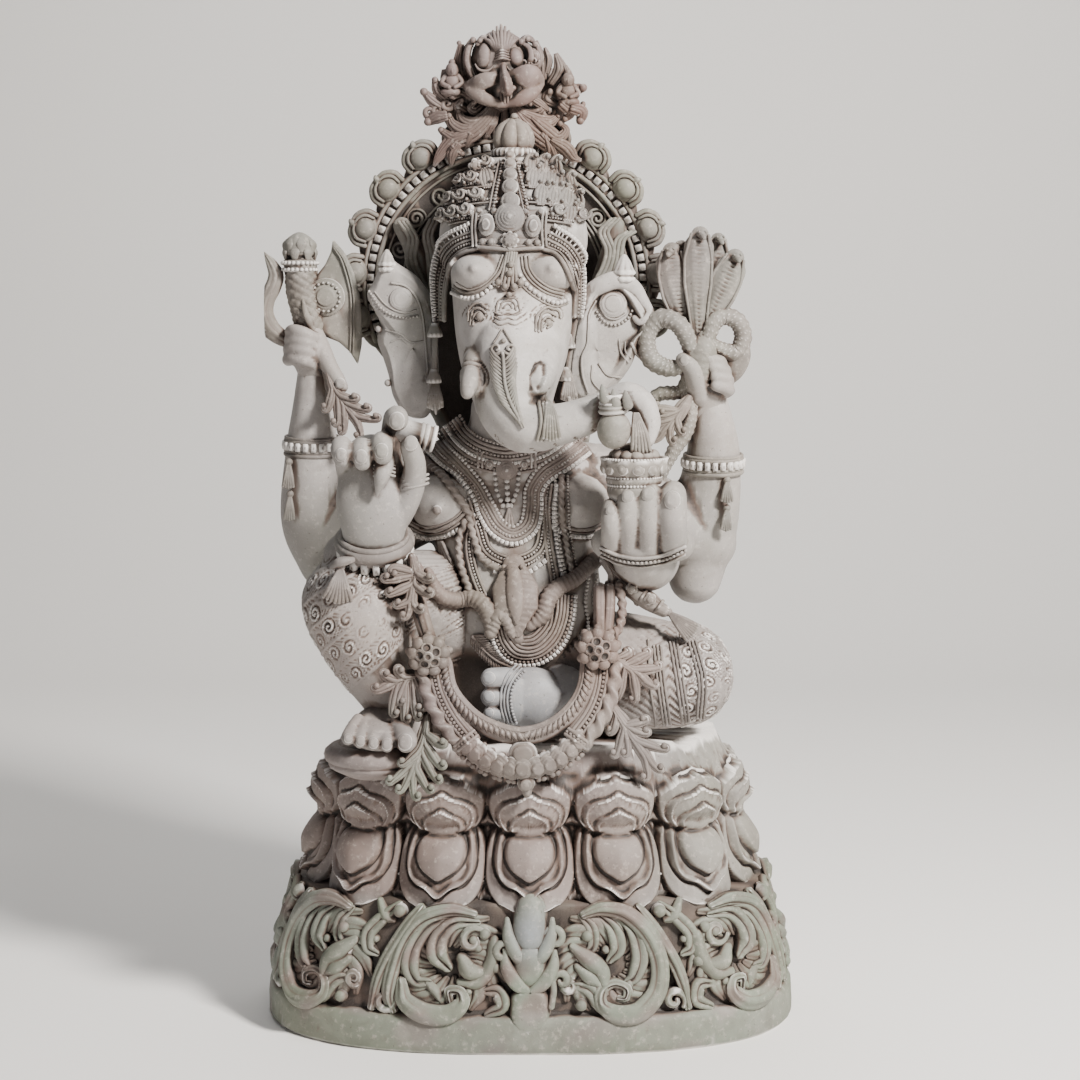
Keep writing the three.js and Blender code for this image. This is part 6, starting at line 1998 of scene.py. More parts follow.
def garland():
    """The heavy garland across the lap: rosettes at the hips, the feathered inner roll, and the outer
    swag of strands and ribbon that ends in overlapping discs round a pendant."""
    c = Carving()
    hang = (-150, -162, -172, -176, -172, -162, -150)
    strap(c, [], INNER_ROLL, ((0, "band", 11, 0), (5, "rib", 2.6, 2.0), (1.8, "rib", 1.6, 4),
                              (-6.5, "rib", 2.6, 0)), depth=hang)
    line = dense(INNER_ROLL, 6.2)
    deep = stretched(hang, len(line))
    normal = across_of(line)
    tangent = unit(np.gradient(line, axis=0))
    for number, (spot, way, ahead, y) in enumerate(zip(line, normal, tangent, deep)):
        lean = 1 if number < len(line) / 2 else -1
        for start, size in ((0, 2.6), (3.2, 1.3)):
            path = np.array([spot + way * 3.2 + ahead * lean * (start - 4),
                             spot + way * 0.2 + ahead * lean * start,
                             spot - way * 4.6 + ahead * lean * (start + 4.5)])
            c.tube(seen(np.column_stack([path, [y - 4.2, y - 6.6, y - 4.2]])),
                   (size * 0.5, size, size, size * 0.4), 9, 1.8)
    for swag, ends in ((SWAG_LEFT, (-152, -166, -176)), (SWAG_RIGHT, (-150, -164, -176))):
        side = 1 if swag is SWAG_LEFT else -1
        line = dense(swag)
        strap(c, [], line, ((side * 8, "rib", 3.0, 0), (side * 4.8, "rib", 2.4, 2),
                            (side * 1.6, "fine", 2.4, 3),
                            (-side * 1.6, "rib", 2.4, 2), (-side * 9, "rope", 8.4, -1)), depth=ends)
        strap(c, [], line, ((side * 3, "band", 12, -3),), depth=ends)
        foot = np.array(swag[-1], float)
        ahead = unit(np.array(swag[-1], float) - swag[-2])
        across = ahead[::-1] * [1, -1]
        for k in (-3, 0, 3):
            path = [foot + ahead * k + across * t for t in (-12, 0, 12)]
            strap(c, [], path, ((0, "rib" if k else "fine", 2.4, 3),), depth=(-176, -184, -176), calm=0)
    for number, (u, v) in enumerate(DISCS):
        y = -176 - 2.0 * min(number, 9 - number)
        facing = unit((0.12 * (number - 4.5) / 4.5, -1, -0.1))
        lean = (-1 if number < 5 else 1)
        c.dome(seen([(u, v, y)])[0], unit(facing + np.array((lean * 0.35, 0, 0))), 14, 10, scallops(7, 0.06),
               ((1, 0.4), (0.76, 0.25), (0.55, 0.35)), 32, 18, 8)
        out = unit(np.array((u - 522, (v - 700) * 1.0)))
        for spot in ((u, v) + out * 12, (u, v) + out * 12 + out[::-1] * [1, -1] * 5):
            c.ball(seen([(*spot, y + 4)])[0], (4.2, 4.2, 4.2), 12, 8)
        c.ball(seen([(*((u, v) - out * 11), y + 2)])[0], (3.6, 3.6, 3.6), 12, 8)
    c.dome(seen([(523, 754, -182)])[0], (0, -1, 0.1), 14, 8, lambda a: 1 + 0.2 * np.abs(np.cos(a)),
           ((1, 0.5), (0.7, 0.5)), 30, 12, 8)
    c.dome(seen([(522.5, 768, -186)])[0], (0, -1, 0), 13.5, 10, None,
           ((1, 0.5), (0.86, 0.2), (0.62, 0.3)), 36, 24, 8)
    c.dome(seen([(526, 783, -183)])[0], (0, -1, -0.1), 10.5, 9, None, ((1, 0.5), (0.7, 0.5)), 28, 14, 8)
    c.ball(seen([(527, 790, -181)])[0], (6, 7, 9), 18, 10)
    for centre in ((429, 654), (598, 648)):
        at = seen([(*centre, -152)])[0]
        c.ball(at, (22, 16, 22), 24, 14)
        for way in spokes(9, 0.2):
            c.ball(at + way * 17 + (0, -8, 0), (8.4, 8, 8.4), 14, 9)
            c.ball(at + way * 23 + (0, 0, 0), (5, 6, 5), 12, 8)
        for way in spokes(5, 0.5):
            c.dome(at + way * 9 + (0, -14, 0), unit(way * 0.4 + FRONT), 7.4, 6, None,
                   ((1, 0.6), (0.55, -0.35)), 20, 12)
        c.dome(at + (0, -20, 0), FRONT, 6, 5, None, ((1, 0.6), (0.5, -0.3)), 18, 12)
    finish_piece("garland", c, 0.75)


SPRAYS = (   # stem, lobes (share of stem, tip), depths at root and tip, size
    ([(412, 558), (414, 576), (412, 592), (410, 606)],
     ((0.3, (394, 568)), (0.45, (386, 580)), (0.6, (391, 594)), (0.9, (399, 606)), (0.35, (428, 580)),
      (0.6, (428, 594)), (0.95, (418, 610)), (1.0, (407, 616))),
     (-128, -146), 4.6),
    ([(424, 676), (408, 678), (394, 684), (382, 690)],
     ((0.4, (398, 672)), (0.7, (384, 676)), (1.0, (376, 690)), (0.2, (424, 706)), (0.3, (416, 716)),
      (0.5, (404, 718)), (0.7, (392, 712)), (0.5, (398, 700))),
     (-146, -156), 4.8),
    ([(428, 716), (424, 740), (416, 762), (410, 780)],
     ((0.3, (441, 745)), (0.5, (440, 766)), (0.6, (436, 780)), (0.55, (404, 764)), (0.7, (392, 782)),
      (0.85, (402, 790)), (0.95, (414, 796)), (0.9, (428, 790))),
     (-158, -178), 4.6),
    ([(610, 656), (622, 664), (634, 672), (646, 682)],
     ((0.15, (628, 654)), (0.4, (648, 654)), (0.6, (658, 668)), (0.9, (653, 686)), (0.7, (636, 698)),
      (0.5, (618, 696)), (0.8, (640, 680))),
     (-150, -134), 4.8),
    ([(610, 704), (622, 722), (634, 740), (648, 760)],
     ((0.2, (613, 730)), (0.45, (628, 752)), (0.5, (617, 754)), (1.0, (648, 776)), (0.95, (658, 770)),
      (0.7, (664, 750)), (0.5, (645, 734)), (0.4, (645, 722))),
     (-152, -150), 4.6),
    ([(604, 560), (616, 574), (634, 586), (656, 598)],
     ((0.2, (612, 584)), (0.4, (622, 592)), (0.5, (634, 572)), (0.8, (652, 584)), (1.0, (660, 604)),
      (0.7, (640, 600))),
     (-100, -104), 4.2),
    ([(327, 372), (334, 390), (346, 406), (358, 420)],
     ((0.35, (328, 408)), (0.5, (338, 422)), (0.7, (344, 430)), (1.0, (361, 434)), (0.9, (376, 420)),
      (0.7, (366, 410)), (0.5, (354, 400))),
     (2, -10), 4.4),
    ([(690, 396), (682, 408), (674, 420), (664, 432)],
     ((0.4, (655, 408)), (0.7, (652, 424)), (1.0, (656, 440)), (0.8, (670, 440)), (0.6, (680, 432)),
      (0.5, (662, 416))),
     (0, -8), 4.2),
)


def sprays():
    """Every carved leaf spray, each with a ribbed stem behind it."""
    c = Carving()
    for stem, lobes, depth, size in SPRAYS:
        spray(c, stem, lobes, depth, size)
        line = dense(stem, 3)
        c.tube(seen(np.column_stack([line, np.linspace(depth[0], depth[1], len(line)) + 3])),
               (size * 1.3, size * 1.7, size * 1.5, size * 0.8), 16, 3, relief=ribs(0.5, 4))
    finish_piece("sprays", c, 0.7)


# Pixels of its top and foot, half spread
ARM_TASSELS = (
    ((289, 462), (288, 488), 5),
    ((290, 494), (289, 520), 4.5),
    ((727, 480), (727, 502), 5),
    ((727, 508), (726, 530), 4.5),
)
KNEE_ROLL = [(333, 566, -150), (341, 562, -156), (352, 560, -150)]   # pixels with depth
# Pixels
KNEE_PLEATS = (
    [(657, 646), (661, 684), (667, 724)],
    [(673, 642), (680, 682), (686, 722)],
    [(692, 642), (702, 680), (700, 718)],
)
KNEE_EDGE = [(648, 640), (650, 684), (656, 726)]   # pixels
KNEE_BAND = [(620, 584, -106), (634, 592, -110), (648, 602, -110), (664, 611, -104)]   # pixels with depth


def bands():
    """Armlets and a bracelet with their tassels, rings of beads and ribs round the arms and the wrist, and
    the roll, pleats, band and tassels at the knees.
    """
    c = Carving()
    rows = ((-8, "rib", 3.0), (-3.5, "rib", 2.4), (3, "block", 4.4), (9, "rib", 2.6), (12.5, "rib", 2.0))
    armlet(c, (-269, 45, 690), (0.02, -0.06, 1), 33, rows)
    armlet(c, (226, 46, 668), (0, -0.08, 1), 35.5, rows)
    armlet(c, (-181, -118, 592), (0, -0.65, 1), 39,
           ((0, "rib", 8.5), (-9.5, "rib", 4.5), (-15, "block", 6), (9, "rib", 3.5)),
           (1, 0.8))
    for top, foot, spread in ARM_TASSELS:
        point = (12, 8, 6)
        tassel(c, top, foot, spread, point, 5, 2.6)
    tassel(c, (341, 566), (337, 603), 14, (-150, -160, -156), 8, 3.0)
    c.tube(seen(KNEE_ROLL), (4, 6, 4), 16, 3)
    for line in KNEE_PLEATS:
        strap(c, ["legs"], line, ((-3.4, "rib", 1.7, 1), (0, "rib", 1.7, 1.2), (3.4, "rib", 1.7, 1)))
    strap(c, ["legs"], KNEE_EDGE, ((0, "rib", 1.5, 1),))
    tassel(c, (668, 612), (694, 634), 9, (-104, -112, -108), 8, 3.0)
    c.tube(seen(KNEE_BAND), (7, 9, 9, 7), 26, 2.4,
           relief=ribs(0.9, 6))
    for u, v in ((632, 588), (650, 599)):
        c.dome(seen([(u, v, -120)])[0], FRONT, 7, 5, scallops(5), ((1, 0.5), (0.5, 0.5)), 24, 12)
    for u, v in ((641, 597), (658, 607)):
        c.tube(seen([(u - 4, v + 5, -112), (u + 1, v, -121), (u + 5, v - 6, -112)]), (2.2,), 10, 2)
    finish_piece("bands", c, 0.8)


# Weather and painted light: what the shader needs to know about each point of the stone, including where it
# paints shade into hollows and light onto open faces and edges

def arrays_of(piece):
    """A piece's points in mm, its outward normals and its edges."""
    mesh = piece.data
    points, normals = np.empty(len(mesh.vertices) * 3,
                               np.float32), np.empty(len(mesh.vertices) * 3, np.float32)
    mesh.vertices.foreach_get("co", points)
    mesh.vertex_normals.foreach_get("vector", normals)
    edges = np.empty(len(mesh.edges) * 2, np.int32)
    mesh.edges.foreach_get("vertices", edges)
    points, normals = points.reshape(-1, 3).astype(float) / MM, normals.reshape(-1, 3).astype(float)
    return points, normals, edges.reshape(-1, 2)


def crowding(grid, low, cell, points, normals):
    """How much stone stands round each point: the share of samples, taken outwards from it in a cone at
    four distances, that fall in full cells of the grid."""
    side = unit(np.cross(normals, (0.31, 0.27, 0.91)))
    other = np.cross(normals, side)
    total, weight = np.zeros(len(points)), 0.0
    for reach, share in ((5, 1.0), (9, 1.0), (16, 0.8), (28, 0.6), (45, 0.4)):
        for turn in range(7):
            a = turn * TAU / 6 + reach
            lean = 0.0 if turn == 6 else 0.95
            way = unit(normals + lean * (side * np.cos(a) + other * np.sin(a)))
            index = ((points + normals * 3.2 + way * reach - low) / cell).astype(int)
            index = np.clip(index, 0, np.array(grid.shape) - 1)
            total += share * grid[index[:, 0], index[:, 1], index[:, 2]]
            weight += share
    return total / weight


def bends(points, normals, edges, rounds):
    """How far under (positive) or over (negative) its calmed self the surface lies at each point, in mm
    along the normal, and the mean length of its edges: the calmed surface is each point's neighbours'
    mean, taken a number of times."""
    count = len(points)
    degree = np.maximum(np.bincount(edges.ravel(), minlength=count), 1)

    def mean(first, last):
        return (np.bincount(edges[:, 0], last, count) + np.bincount(edges[:, 1], first, count)) / degree
    calm = points
    for _ in range(rounds):
        calm = np.stack([mean(column[edges[:, 0]], column[edges[:, 1]]) for column in calm.T], -1)
    lengths = np.linalg.norm(points[edges[:, 0]] - points[edges[:, 1]], axis=1)
    return np.einsum("ij,ij->i", calm - points, normals), mean(lengths, lengths) + 0.3


# How rose and how green each piece's stone is, how much grime and painted shade is laid over its hollows, and
# how far it is painted pale: hands' rubbing together with painted light on open faces
ROSE = {"lion_mask": 1.0, "belt": 0.6, "garland": 0.45, "jewels": 0.3, "sprays": 0.35,
        "legs": 0.2, "torso": 0.15}
GREEN = {"plinth_scrolls": 0.75, "arch": 0.3, "axe": 0.3, "serpent": 0.15, "hand_with_tusk": 0.2, "head": 0.1,
         "face_carving": 0.15, "bands": 0.1}
EYES = ((-65, -90, 903), (22, -90, 901))   # middles of the eyes, which are painted less pale than the brow
# Grime and painted shade added to each piece's hollows; most on the arch, painted darker as a whole
GRIME_AND_SHADE = {"head": 0.02, "arch": 0.17, "garland": 0.06, "lion_mask": 0.07, "crown": 0.04, "belt": 0.04,
         "sprays": 0.03, "plinth_scrolls": 0.09}
# How pale each piece's open faces are painted: handling, and painted light falling on them
RUBBED_AND_LIT = {"head": 0.85, "torso": 0.55, "ears": 0.75, "foot_on_lap": 0.2, "hand_with_tusk": 0.3,
          "hand_with_pot": 0.35,
          "hand_with_serpent": 0.35, "hand_with_axe": 0.3, "legs": 0.3, "foot_on_cushion": 0.1, "lotus": 0.12}


def tints(name, points):
    """How rose, green and blue the stone is at each point, and how far it is painted pale, for handling
    together with
    painted light on open faces: set by the piece and drifting in broad patches."""
    x, y, z = points.T
    drift = rough(points, 230, 31)
    patch = rough(points, 95, 32)
    rose = ROSE.get(name, 0.08) + 0.25 * drift + 0.15 * patch
    green = GREEN.get(name, 0.05) - 0.15 * drift + 0.15 * patch
    blue = 0.08 + 0.12 * rough(points, 150, 33)
    if name == "lotus":
        rose = 0.6 * ease((190 - x) / 120) * ease((z - 165) / 20) + 0.2 * patch
        green = 0.25 * ease((x - 100) / 120) + 0.1 * patch
    if name == "plinth_scrolls":
        fine = rough(points, 52, 35)
        rose = 0.12 + 0.6 * ease(fine * 1.5 + patch - 0.1) * (z > 50)
        green = green - 0.6 * ease(fine * 1.5 + patch - 0.1)
        blue = blue + 0.7 * ridge(np.hypot((x - 1) / 22, (z - 145) / 28), 1) * (y < -150)
    if name == "foot_on_lap":
        blue = blue + 0.55
    if name == "sprays":
        green = green + 0.5 * ease((425 - z) / 40) * ease((-40 - x) / 60)
    if name == "garland":
        rose = rose + 0.25 * ease((10 - x) / 60)
    handled_and_lit = RUBBED_AND_LIT.get(name, 0.0) * (0.8 + 0.4 * drift)
    if name == "head":
        for eye in EYES:
            handled_and_lit = handled_and_lit * (1 - 0.7 * ridge(np.linalg.norm((points - eye) / (30, 40, 22), axis=1), 1))
        handled_and_lit = handled_and_lit * (1 - 0.75 * ease((-52 - x) / 8) * ease((830 - z) / 15) * ease((-100 - y) / 10))
    return np.clip(np.stack([rose, green, blue, handled_and_lit], -1), 0, 1)


def weather_and_painted_light():
    """Gives every piece its hollow, edge and tint attributes, which the shader turns into dust with painted
    shade, worn edges with painted highlight and pale faces with painted light: a grid of small cells filled
    by all the pieces' points tells how crowded the air in front of each point is."""
    cell = 5.0
    gathered = [arrays_of(piece) for piece in PIECES]
    everything = np.concatenate([points for points, _, _ in gathered])
    low = everything.min(axis=0) - 60
    size = ((everything.max(axis=0) + 60 - low) / cell).astype(int) + 1
    full = np.zeros(size, np.float32)
    index = ((everything - low) / cell).astype(int)
    full[index[:, 0], index[:, 1], index[:, 2]] = 1
    for piece, (points, normals, edges) in zip(PIECES, gathered):
        crowd = crowding(full, low, cell, points, normals)
        crowd = np.where(points[:, 2] < 2, 0, crowd)
        (near, spacing), (far, _) = bends(points, normals, edges, 1), bends(points, normals, edges, 9)
        # hollow sets the brown dust and the painted shade: stone crowding in front of each point, concave
        # bends, and each piece's added grime and painted shade
        hollow = np.clip(1.15 * crowd + 0.5 * np.clip(near, 0, 0.7) + 0.3 * np.clip(far, 0, 1.4) - 0.12
                         + GRIME_AND_SHADE.get(piece.name, 0.0), 0, 1)
        # edge sets the pale worn edges, which also paint highlights on convex forms
        edge = np.clip(-2.4 * near / spacing - 0.5 - 0.3 * crowd, 0, 1)
        # Painted shade, with dust, on the plinth's wall between the scrolls and in the lap; the arch gets
        # less of the pale edge paint, so it reads as more shaded
        if piece.name == "plinth_scrolls":
            share = np.clip((points[:, 2] - WALL_FOOT) / (WALL_HEAD - WALL_FOOT), 0, 1)[:, None]
            reach = np.abs(points[:, :2]) / (np.array(WALL_LOW) * (1 - share) + np.array(WALL_HIGH) * share)
            proud = ((reach ** SQUARENESS).sum(axis=1) ** (1 / SQUARENESS) - 1) * 240
            wall = ease((9 - proud) / 8) * (points[:, 2] > WALL_FOOT + 2)
            hollow = np.maximum(hollow, wall * (0.5 + 0.2 * rough(points, 45, 38)))
            edge = edge * (1 - wall)
        # Less pale edge paint on the arch: painted shade over the whole arch
        if piece.name == "arch":
            edge = edge * 0.4
        # Painted shadow, with dust, in the deep lap behind the garland
        if piece.name in ("torso", "legs"):
            x, y, z = points.T
            lap = ease((96 - np.abs(x + 8)) / 26) * ease((470 - z) / 26) * ease((y + 150)
                                                                                / 12) * ease((z - 352) / 12)
            hollow = np.maximum(hollow, 0.62 * lap)
        for label, values in (("hollow", hollow), ("edge", edge)):
            layer = piece.data.attributes.new(label, "FLOAT", "POINT")
            layer.data.foreach_set("value", values.astype(np.float32))
        layer = piece.data.attributes.new("tint", "FLOAT_COLOR", "POINT")
        layer.data.foreach_set("color", tints(piece.name, points).astype(np.float32).ravel())


# Stone and stage

def join(tree, kind, inputs=None, **settings):
    """Adds one node with its settings; each input is given a value or linked from another node's socket."""
    made = tree.nodes.new(kind)
    for key, value in settings.items():
        setattr(made, key, value)
    for key, value in (inputs or {}).items():
        if isinstance(value, bpy.types.NodeSocket):
            tree.links.new(value, made.inputs[key])
        else:
            made.inputs[key].default_value = value
    return made


# The near-black here is painted shade for the deepest hollows; the other colours are the stone's own stains,
# specks, pits and grain
STAIN, SPECK, DEEP_SHADE = hex_colour("#8d7d76"), hex_colour("#cfc6bd"), hex_colour("#1b1411")
PIT, GRAIN = hex_colour("#4a3d36"), hex_colour("#6f655e")
SOAPSTONE_IOR = 1.54


def soapstone(colours):
    """Soapstone, sawn and cut with chisels: talc-rich stone gives a matt, slightly waxy surface, mottled
    grey, rose and green, with pits. Painted light sits in its colour too: open faces are painted pale, for
    rubbing and for light falling on them; the cuts get brown dust with painted shade, near-black painted
    shade in the deepest; convex edges are painted pale, as wear and as painted highlight."""
    stone = bpy.data.materials.new("carved_soapstone")
    stone.use_nodes = True
    tree = stone.node_tree
    shader = tree.nodes["Principled BSDF"]
    place = join(tree, "ShaderNodeTexCoord").outputs["Object"]

    def noise(size_mm, detail, harsh=0.5, warp=0.0):
        return join(tree, "ShaderNodeTexNoise", {"Vector": place, "Scale": 1000 / size_mm, "Detail": detail,
                                                 "Roughness": harsh, "Distortion": warp}).outputs["Fac"]

    def fit(value, low, high, first=0.0, last=1.0):
        return join(tree, "ShaderNodeMapRange",
                    {"Value": value, "From Min": low, "From Max": high, "To Min": first,
                                                 "To Max": last}, interpolation_type="SMOOTHSTEP").outputs[0]

    def times(a, b, operation="MULTIPLY"):
        return join(tree, "ShaderNodeMath", {0: a, 1: b}, operation=operation, use_clamp=True).outputs[0]

    def blend(share, below, above, mode="MIX"):
        return join(tree, "ShaderNodeMix", {0: share, 6: below, 7: above}, data_type="RGBA",
                    blend_type=mode).outputs[2]

    def reading(label):
        return join(tree, "ShaderNodeAttribute", attribute_name=label)
    marks = reading("tint")
    tint = join(tree, "ShaderNodeSeparateColor", {"Color": marks.outputs["Color"]})
    hollow, edge = reading("hollow").outputs["Fac"], reading("edge").outputs["Fac"]
    broad, patches = noise(130, 3), noise(36, 5, 0.6, 0.6)
    speck, grain = noise(7, 4, 0.65), noise(1.6, 2, 0.7)
    colour = blend(fit(broad, 0.35, 0.65), (*colours.body, 1), (*colours.pale, 1))
    colour = blend(tint.outputs["Red"], colour, (*colours.rose, 1))
    colour = blend(tint.outputs["Green"], colour, (*colours.green, 1))
    colour = blend(tint.outputs["Blue"], colour, (*colours.blue, 1))
    colour = blend(fit(patches, 0.3, 0.75, 0.0, 0.42), colour, STAIN, "MULTIPLY")
    colour = blend(fit(speck, 0.52, 0.72, 0.0, 0.3), colour, SPECK)
    # Painted light: open faces away from the hollows painted pale, for handling and for light falling on them
    handled_and_lit = times(marks.outputs["Alpha"], fit(patches, 0.3, 0.62, 0.5, 1.0))
    colour = blend(times(fit(hollow, 0.2, 0.02), handled_and_lit), colour, (*colours.rubbed_and_lit, 1))
    # Brown dust with painted shade in the hollows
    dust_and_shade_share = times(fit(hollow, 0.1, 0.42), fit(patches, 0.2, 0.6, 0.8, 1.0))
    colour = blend(times(dust_and_shade_share, 0.88), colour, (*colours.dust_and_shade, 1))
    # Painted shade: near-black laid into the deepest hollows
    colour = blend(times(fit(hollow, 0.32, 0.64), 0.92), colour, DEEP_SHADE)
    # Pale worn edges, which also paint highlights on convex forms
    colour = blend(times(fit(edge, 0.05, 0.5), 0.72), colour, (*colours.worn, 1))
    pits = fit(noise(3.2, 2, 0.4), 0.70, 0.76)
    colour = blend(times(pits, 0.5), colour, PIT)
    colour = blend(fit(grain, 0.3, 0.7, 0.0, 0.16), colour, GRAIN)
    tree.links.new(colour, shader.inputs["Base Color"])
    dull = fit(times(speck, edge, "SUBTRACT"), 0.1, 0.7, 0.5, colours.roughness)
    tree.links.new(dull, shader.inputs["Roughness"])
    shader.inputs["IOR"].default_value = SOAPSTONE_IOR
    shader.inputs["Metallic"].default_value = 0.0
    fine = join(tree, "ShaderNodeBump", {"Height": grain, "Strength": 0.35, "Distance": 0.0004})
    tooled = join(tree, "ShaderNodeBump", {"Height": speck, "Strength": 0.4, "Distance": 0.0009,
                                           "Normal": fine.outputs["Normal"]})
    pitted = join(tree, "ShaderNodeBump", {"Height": pits, "Strength": 0.5, "Distance": 0.0007,
                                           "Normal": tooled.outputs["Normal"]}, invert=True)
    tree.links.new(pitted.outputs["Normal"], shader.inputs["Normal"])


LIGHTS = (   # name, place, what it is turned to, width in metres, watts, colour
    ("key", (1.8, -1.9, 2.5), (0, 0, 0.6), 0.55, 300, "#fffaf4"),
    ("fill", (-2.2, -2.4, 1.2), (0, 0, 0.6), 1.4, 7, "#eef2ff"),
    ("top", (-0.4, 0.4, 2.8), (0, 0, 0.6), 1.0, 14, "#ffffff"),
    ("paper", (0, 1.0, 3.0), (0, 3.2, 0.9), 2.4, 34, "#ffffff"),
)


FLOOR_FRONT, FLOOR_BACK, FLOOR_HALF = -4.0, 2.2, 5.0   # metres from the statue's middle
COVE, BACKDROP_HIGH = 1.2, 5.0   # metres: radius of the curve from floor to backdrop, and the backdrop's head
WORLD_COLOUR, WORLD_STRENGTH = "#e8e8ea", 0.055
SENSOR = 36   # mm


def stage(colours):
    """A pale floor that curves up behind into a plain backdrop, four soft lights, and the camera where the
    photograph was taken from."""
    run = np.linspace(0, 1, 60)
    turn = np.linspace(0, np.pi / 2, 24)
    profile = np.concatenate([np.column_stack([FLOOR_FRONT + (FLOOR_BACK - FLOOR_FRONT) * run, 0 * run]),
                              np.column_stack([FLOOR_BACK + COVE * np.sin(turn),
                                               COVE - COVE * np.cos(turn)])[1:],
                              [[FLOOR_BACK + COVE, BACKDROP_HIGH]]]) / MM
    grid = np.stack([np.column_stack([np.full(len(profile), x), profile])
                     for x in np.linspace(-FLOOR_HALF, FLOOR_HALF, 12) / MM], 1)
    floor = bpy.data.objects.new("backdrop", Carving().sheet(grid[::-1], wrap=False).mesh("backdrop"))
    bpy.context.scene.collection.objects.link(floor)
    paper = bpy.data.materials.new("paper")
    paper.use_nodes = True
    paper.node_tree.nodes["Principled BSDF"].inputs["Base Color"].default_value = (*colours.floor, 1)
    paper.node_tree.nodes["Principled BSDF"].inputs["Roughness"].default_value = 0.9
    floor.data.materials.append(paper)
    for name, spot, aim, width, watts, colour in LIGHTS:
        lamp = bpy.data.lights.new(name, "AREA")
        lamp.energy, lamp.size, lamp.color = watts, width, hex_colour(colour)[:3]
        holder = bpy.data.objects.new(name, lamp)
        holder.location = spot
        holder.rotation_euler = (Vector(aim) - Vector(spot)).to_track_quat("-Z", "Y").to_euler()
        bpy.context.scene.collection.objects.link(holder)
    world = bpy.data.worlds.new("studio")
    world.use_nodes = True
    world.node_tree.nodes["Background"].inputs["Color"].default_value = hex_colour(WORLD_COLOUR)
    world.node_tree.nodes["Background"].inputs["Strength"].default_value = WORLD_STRENGTH
    bpy.context.scene.world = world
    camera = bpy.data.cameras.new("camera")
    camera.sensor_width, camera.lens, camera.clip_end = SENSOR, SENSOR * FOCUS / FRAME, 60
    holder = bpy.data.objects.new("camera", camera)
    holder.location = CAMERA * MM
    holder.rotation_euler = (np.pi / 2 - TILT, 0, 0)
    bpy.context.scene.collection.objects.link(holder)
    bpy.context.scene.camera = holder


# The add-on

def colour_property(name, description, text):
    """A colour setting whose default is an sRGB hex colour."""
    return bpy.props.FloatVectorProperty(name=name, description=description, subtype="COLOR",
                                         min=0, max=1, size=3,
                                         default=hex_colour(text)[:3])


class FigureSizes(bpy.types.PropertyGroup):
    """Sizes a user may change."""
    width: bpy.props.FloatProperty(name="Plinth width", description="Width of the oval block", unit="LENGTH",
                                   default=float(CAD_BOX[1][0] - CAD_BOX[0][0]), min=0.6, max=0.7)
    depth: bpy.props.FloatProperty(name="Plinth depth",
                                   description="Front to back of the oval block", unit="LENGTH",
                                   default=float(CAD_BOX[1][1] - CAD_BOX[0][1]), min=0.38, max=0.42)
    cloth: bpy.props.FloatProperty(name="Cloth relief", description="Height of the patterns cut in the cloth",
                                   unit="LENGTH", default=0.0013, min=0, max=0.003, precision=5)
    folds: bpy.props.FloatProperty(name="Trunk folds", description="Depth of the folds cut round the trunk",
                                   unit="LENGTH", default=0.0013, min=0, max=0.003, precision=5)


class StoneColours(bpy.types.PropertyGroup):
    """Colours a user may change."""
    body: colour_property("Stone", "Main grey of the stone", "#77706a")
    pale: colour_property("Pale stone", "Paler patches of the main grey", "#968e87")
    rose: colour_property("Rose stone", "Rose and mauve areas", "#70564d")
    green: colour_property("Green stone", "Green areas, strongest in the plinth", "#77836f")
    blue: colour_property("Blue stone", "Blue-grey areas", "#9299a2")
    # Brown dust together with painted shade, laid in the hollows
    dust_and_shade: colour_property("Dust", "Brown dust that lies in the cuts", "#5d4a40")
    # Pale worn edges, which also stand for painted highlights
    worn: colour_property("Worn edge", "Edges rubbed pale", "#f4f0ec")
    # Pale paint on open faces: handling, and painted light falling on them
    rubbed_and_lit: colour_property("Rubbed stone", "Open, smooth faces handled pale", "#cfcbc8")
    floor: colour_property("Floor", "Pale floor and backdrop", "#f1efec")
    roughness: bpy.props.FloatProperty(name="Roughness", description="Roughness of the dullest stone",
                                       subtype="FACTOR", default=0.72, min=0, max=1)


def run(job, *settings):
    """Runs one making function, with the scene's settings where it takes any."""
    job(*settings)
    return {"FINISHED"}


class Stone(bpy.types.Operator):
    """Makes the soapstone material."""
    bl_idname = "soapstone.soapstone"
    bl_label = "Mix the stone"

    def execute(self, context):
        return run(soapstone, context.scene.stone_colours)


class Plinth(bpy.types.Operator):
    """Carves the oval block with its wall of scrolls."""
    bl_idname = "soapstone.plinth"
    bl_label = "Carve the plinth"

    def execute(self, context):
        return run(plinth, context.scene.figure_sizes)


class Lotus(bpy.types.Operator):
    """Carves the two rings of petals and the round footrest."""
    bl_idname = "soapstone.lotus"
    bl_label = "Carve the lotus"

    def execute(self, context):
        return run(lotus)


class Torso(bpy.types.Operator):
    """Carves body, neck and four arms."""
    bl_idname = "soapstone.torso"
    bl_label = "Carve the body"

    def execute(self, context):
        return run(torso)


class Head(bpy.types.Operator):
    """Carves face, trunk and tusks."""
    bl_idname = "soapstone.head"
    bl_label = "Carve the head"

    def execute(self, context):
        return run(head, context.scene.figure_sizes)


class Ears(bpy.types.Operator):
    """Carves the two broad ears."""
    bl_idname = "soapstone.ears"
    bl_label = "Carve the ears"

    def execute(self, context):
        return run(ears)


class Legs(bpy.types.Operator):
    """Carves both legs in patterned cloth."""
    bl_idname = "soapstone.legs"
    bl_label = "Carve the legs"

    def execute(self, context):
        return run(legs, context.scene.figure_sizes)


class Arch(bpy.types.Operator):
    """Carves the petalled arch on its slab."""
    bl_idname = "soapstone.arch"
    bl_label = "Carve the arch"

    def execute(self, context):
        return run(arch)


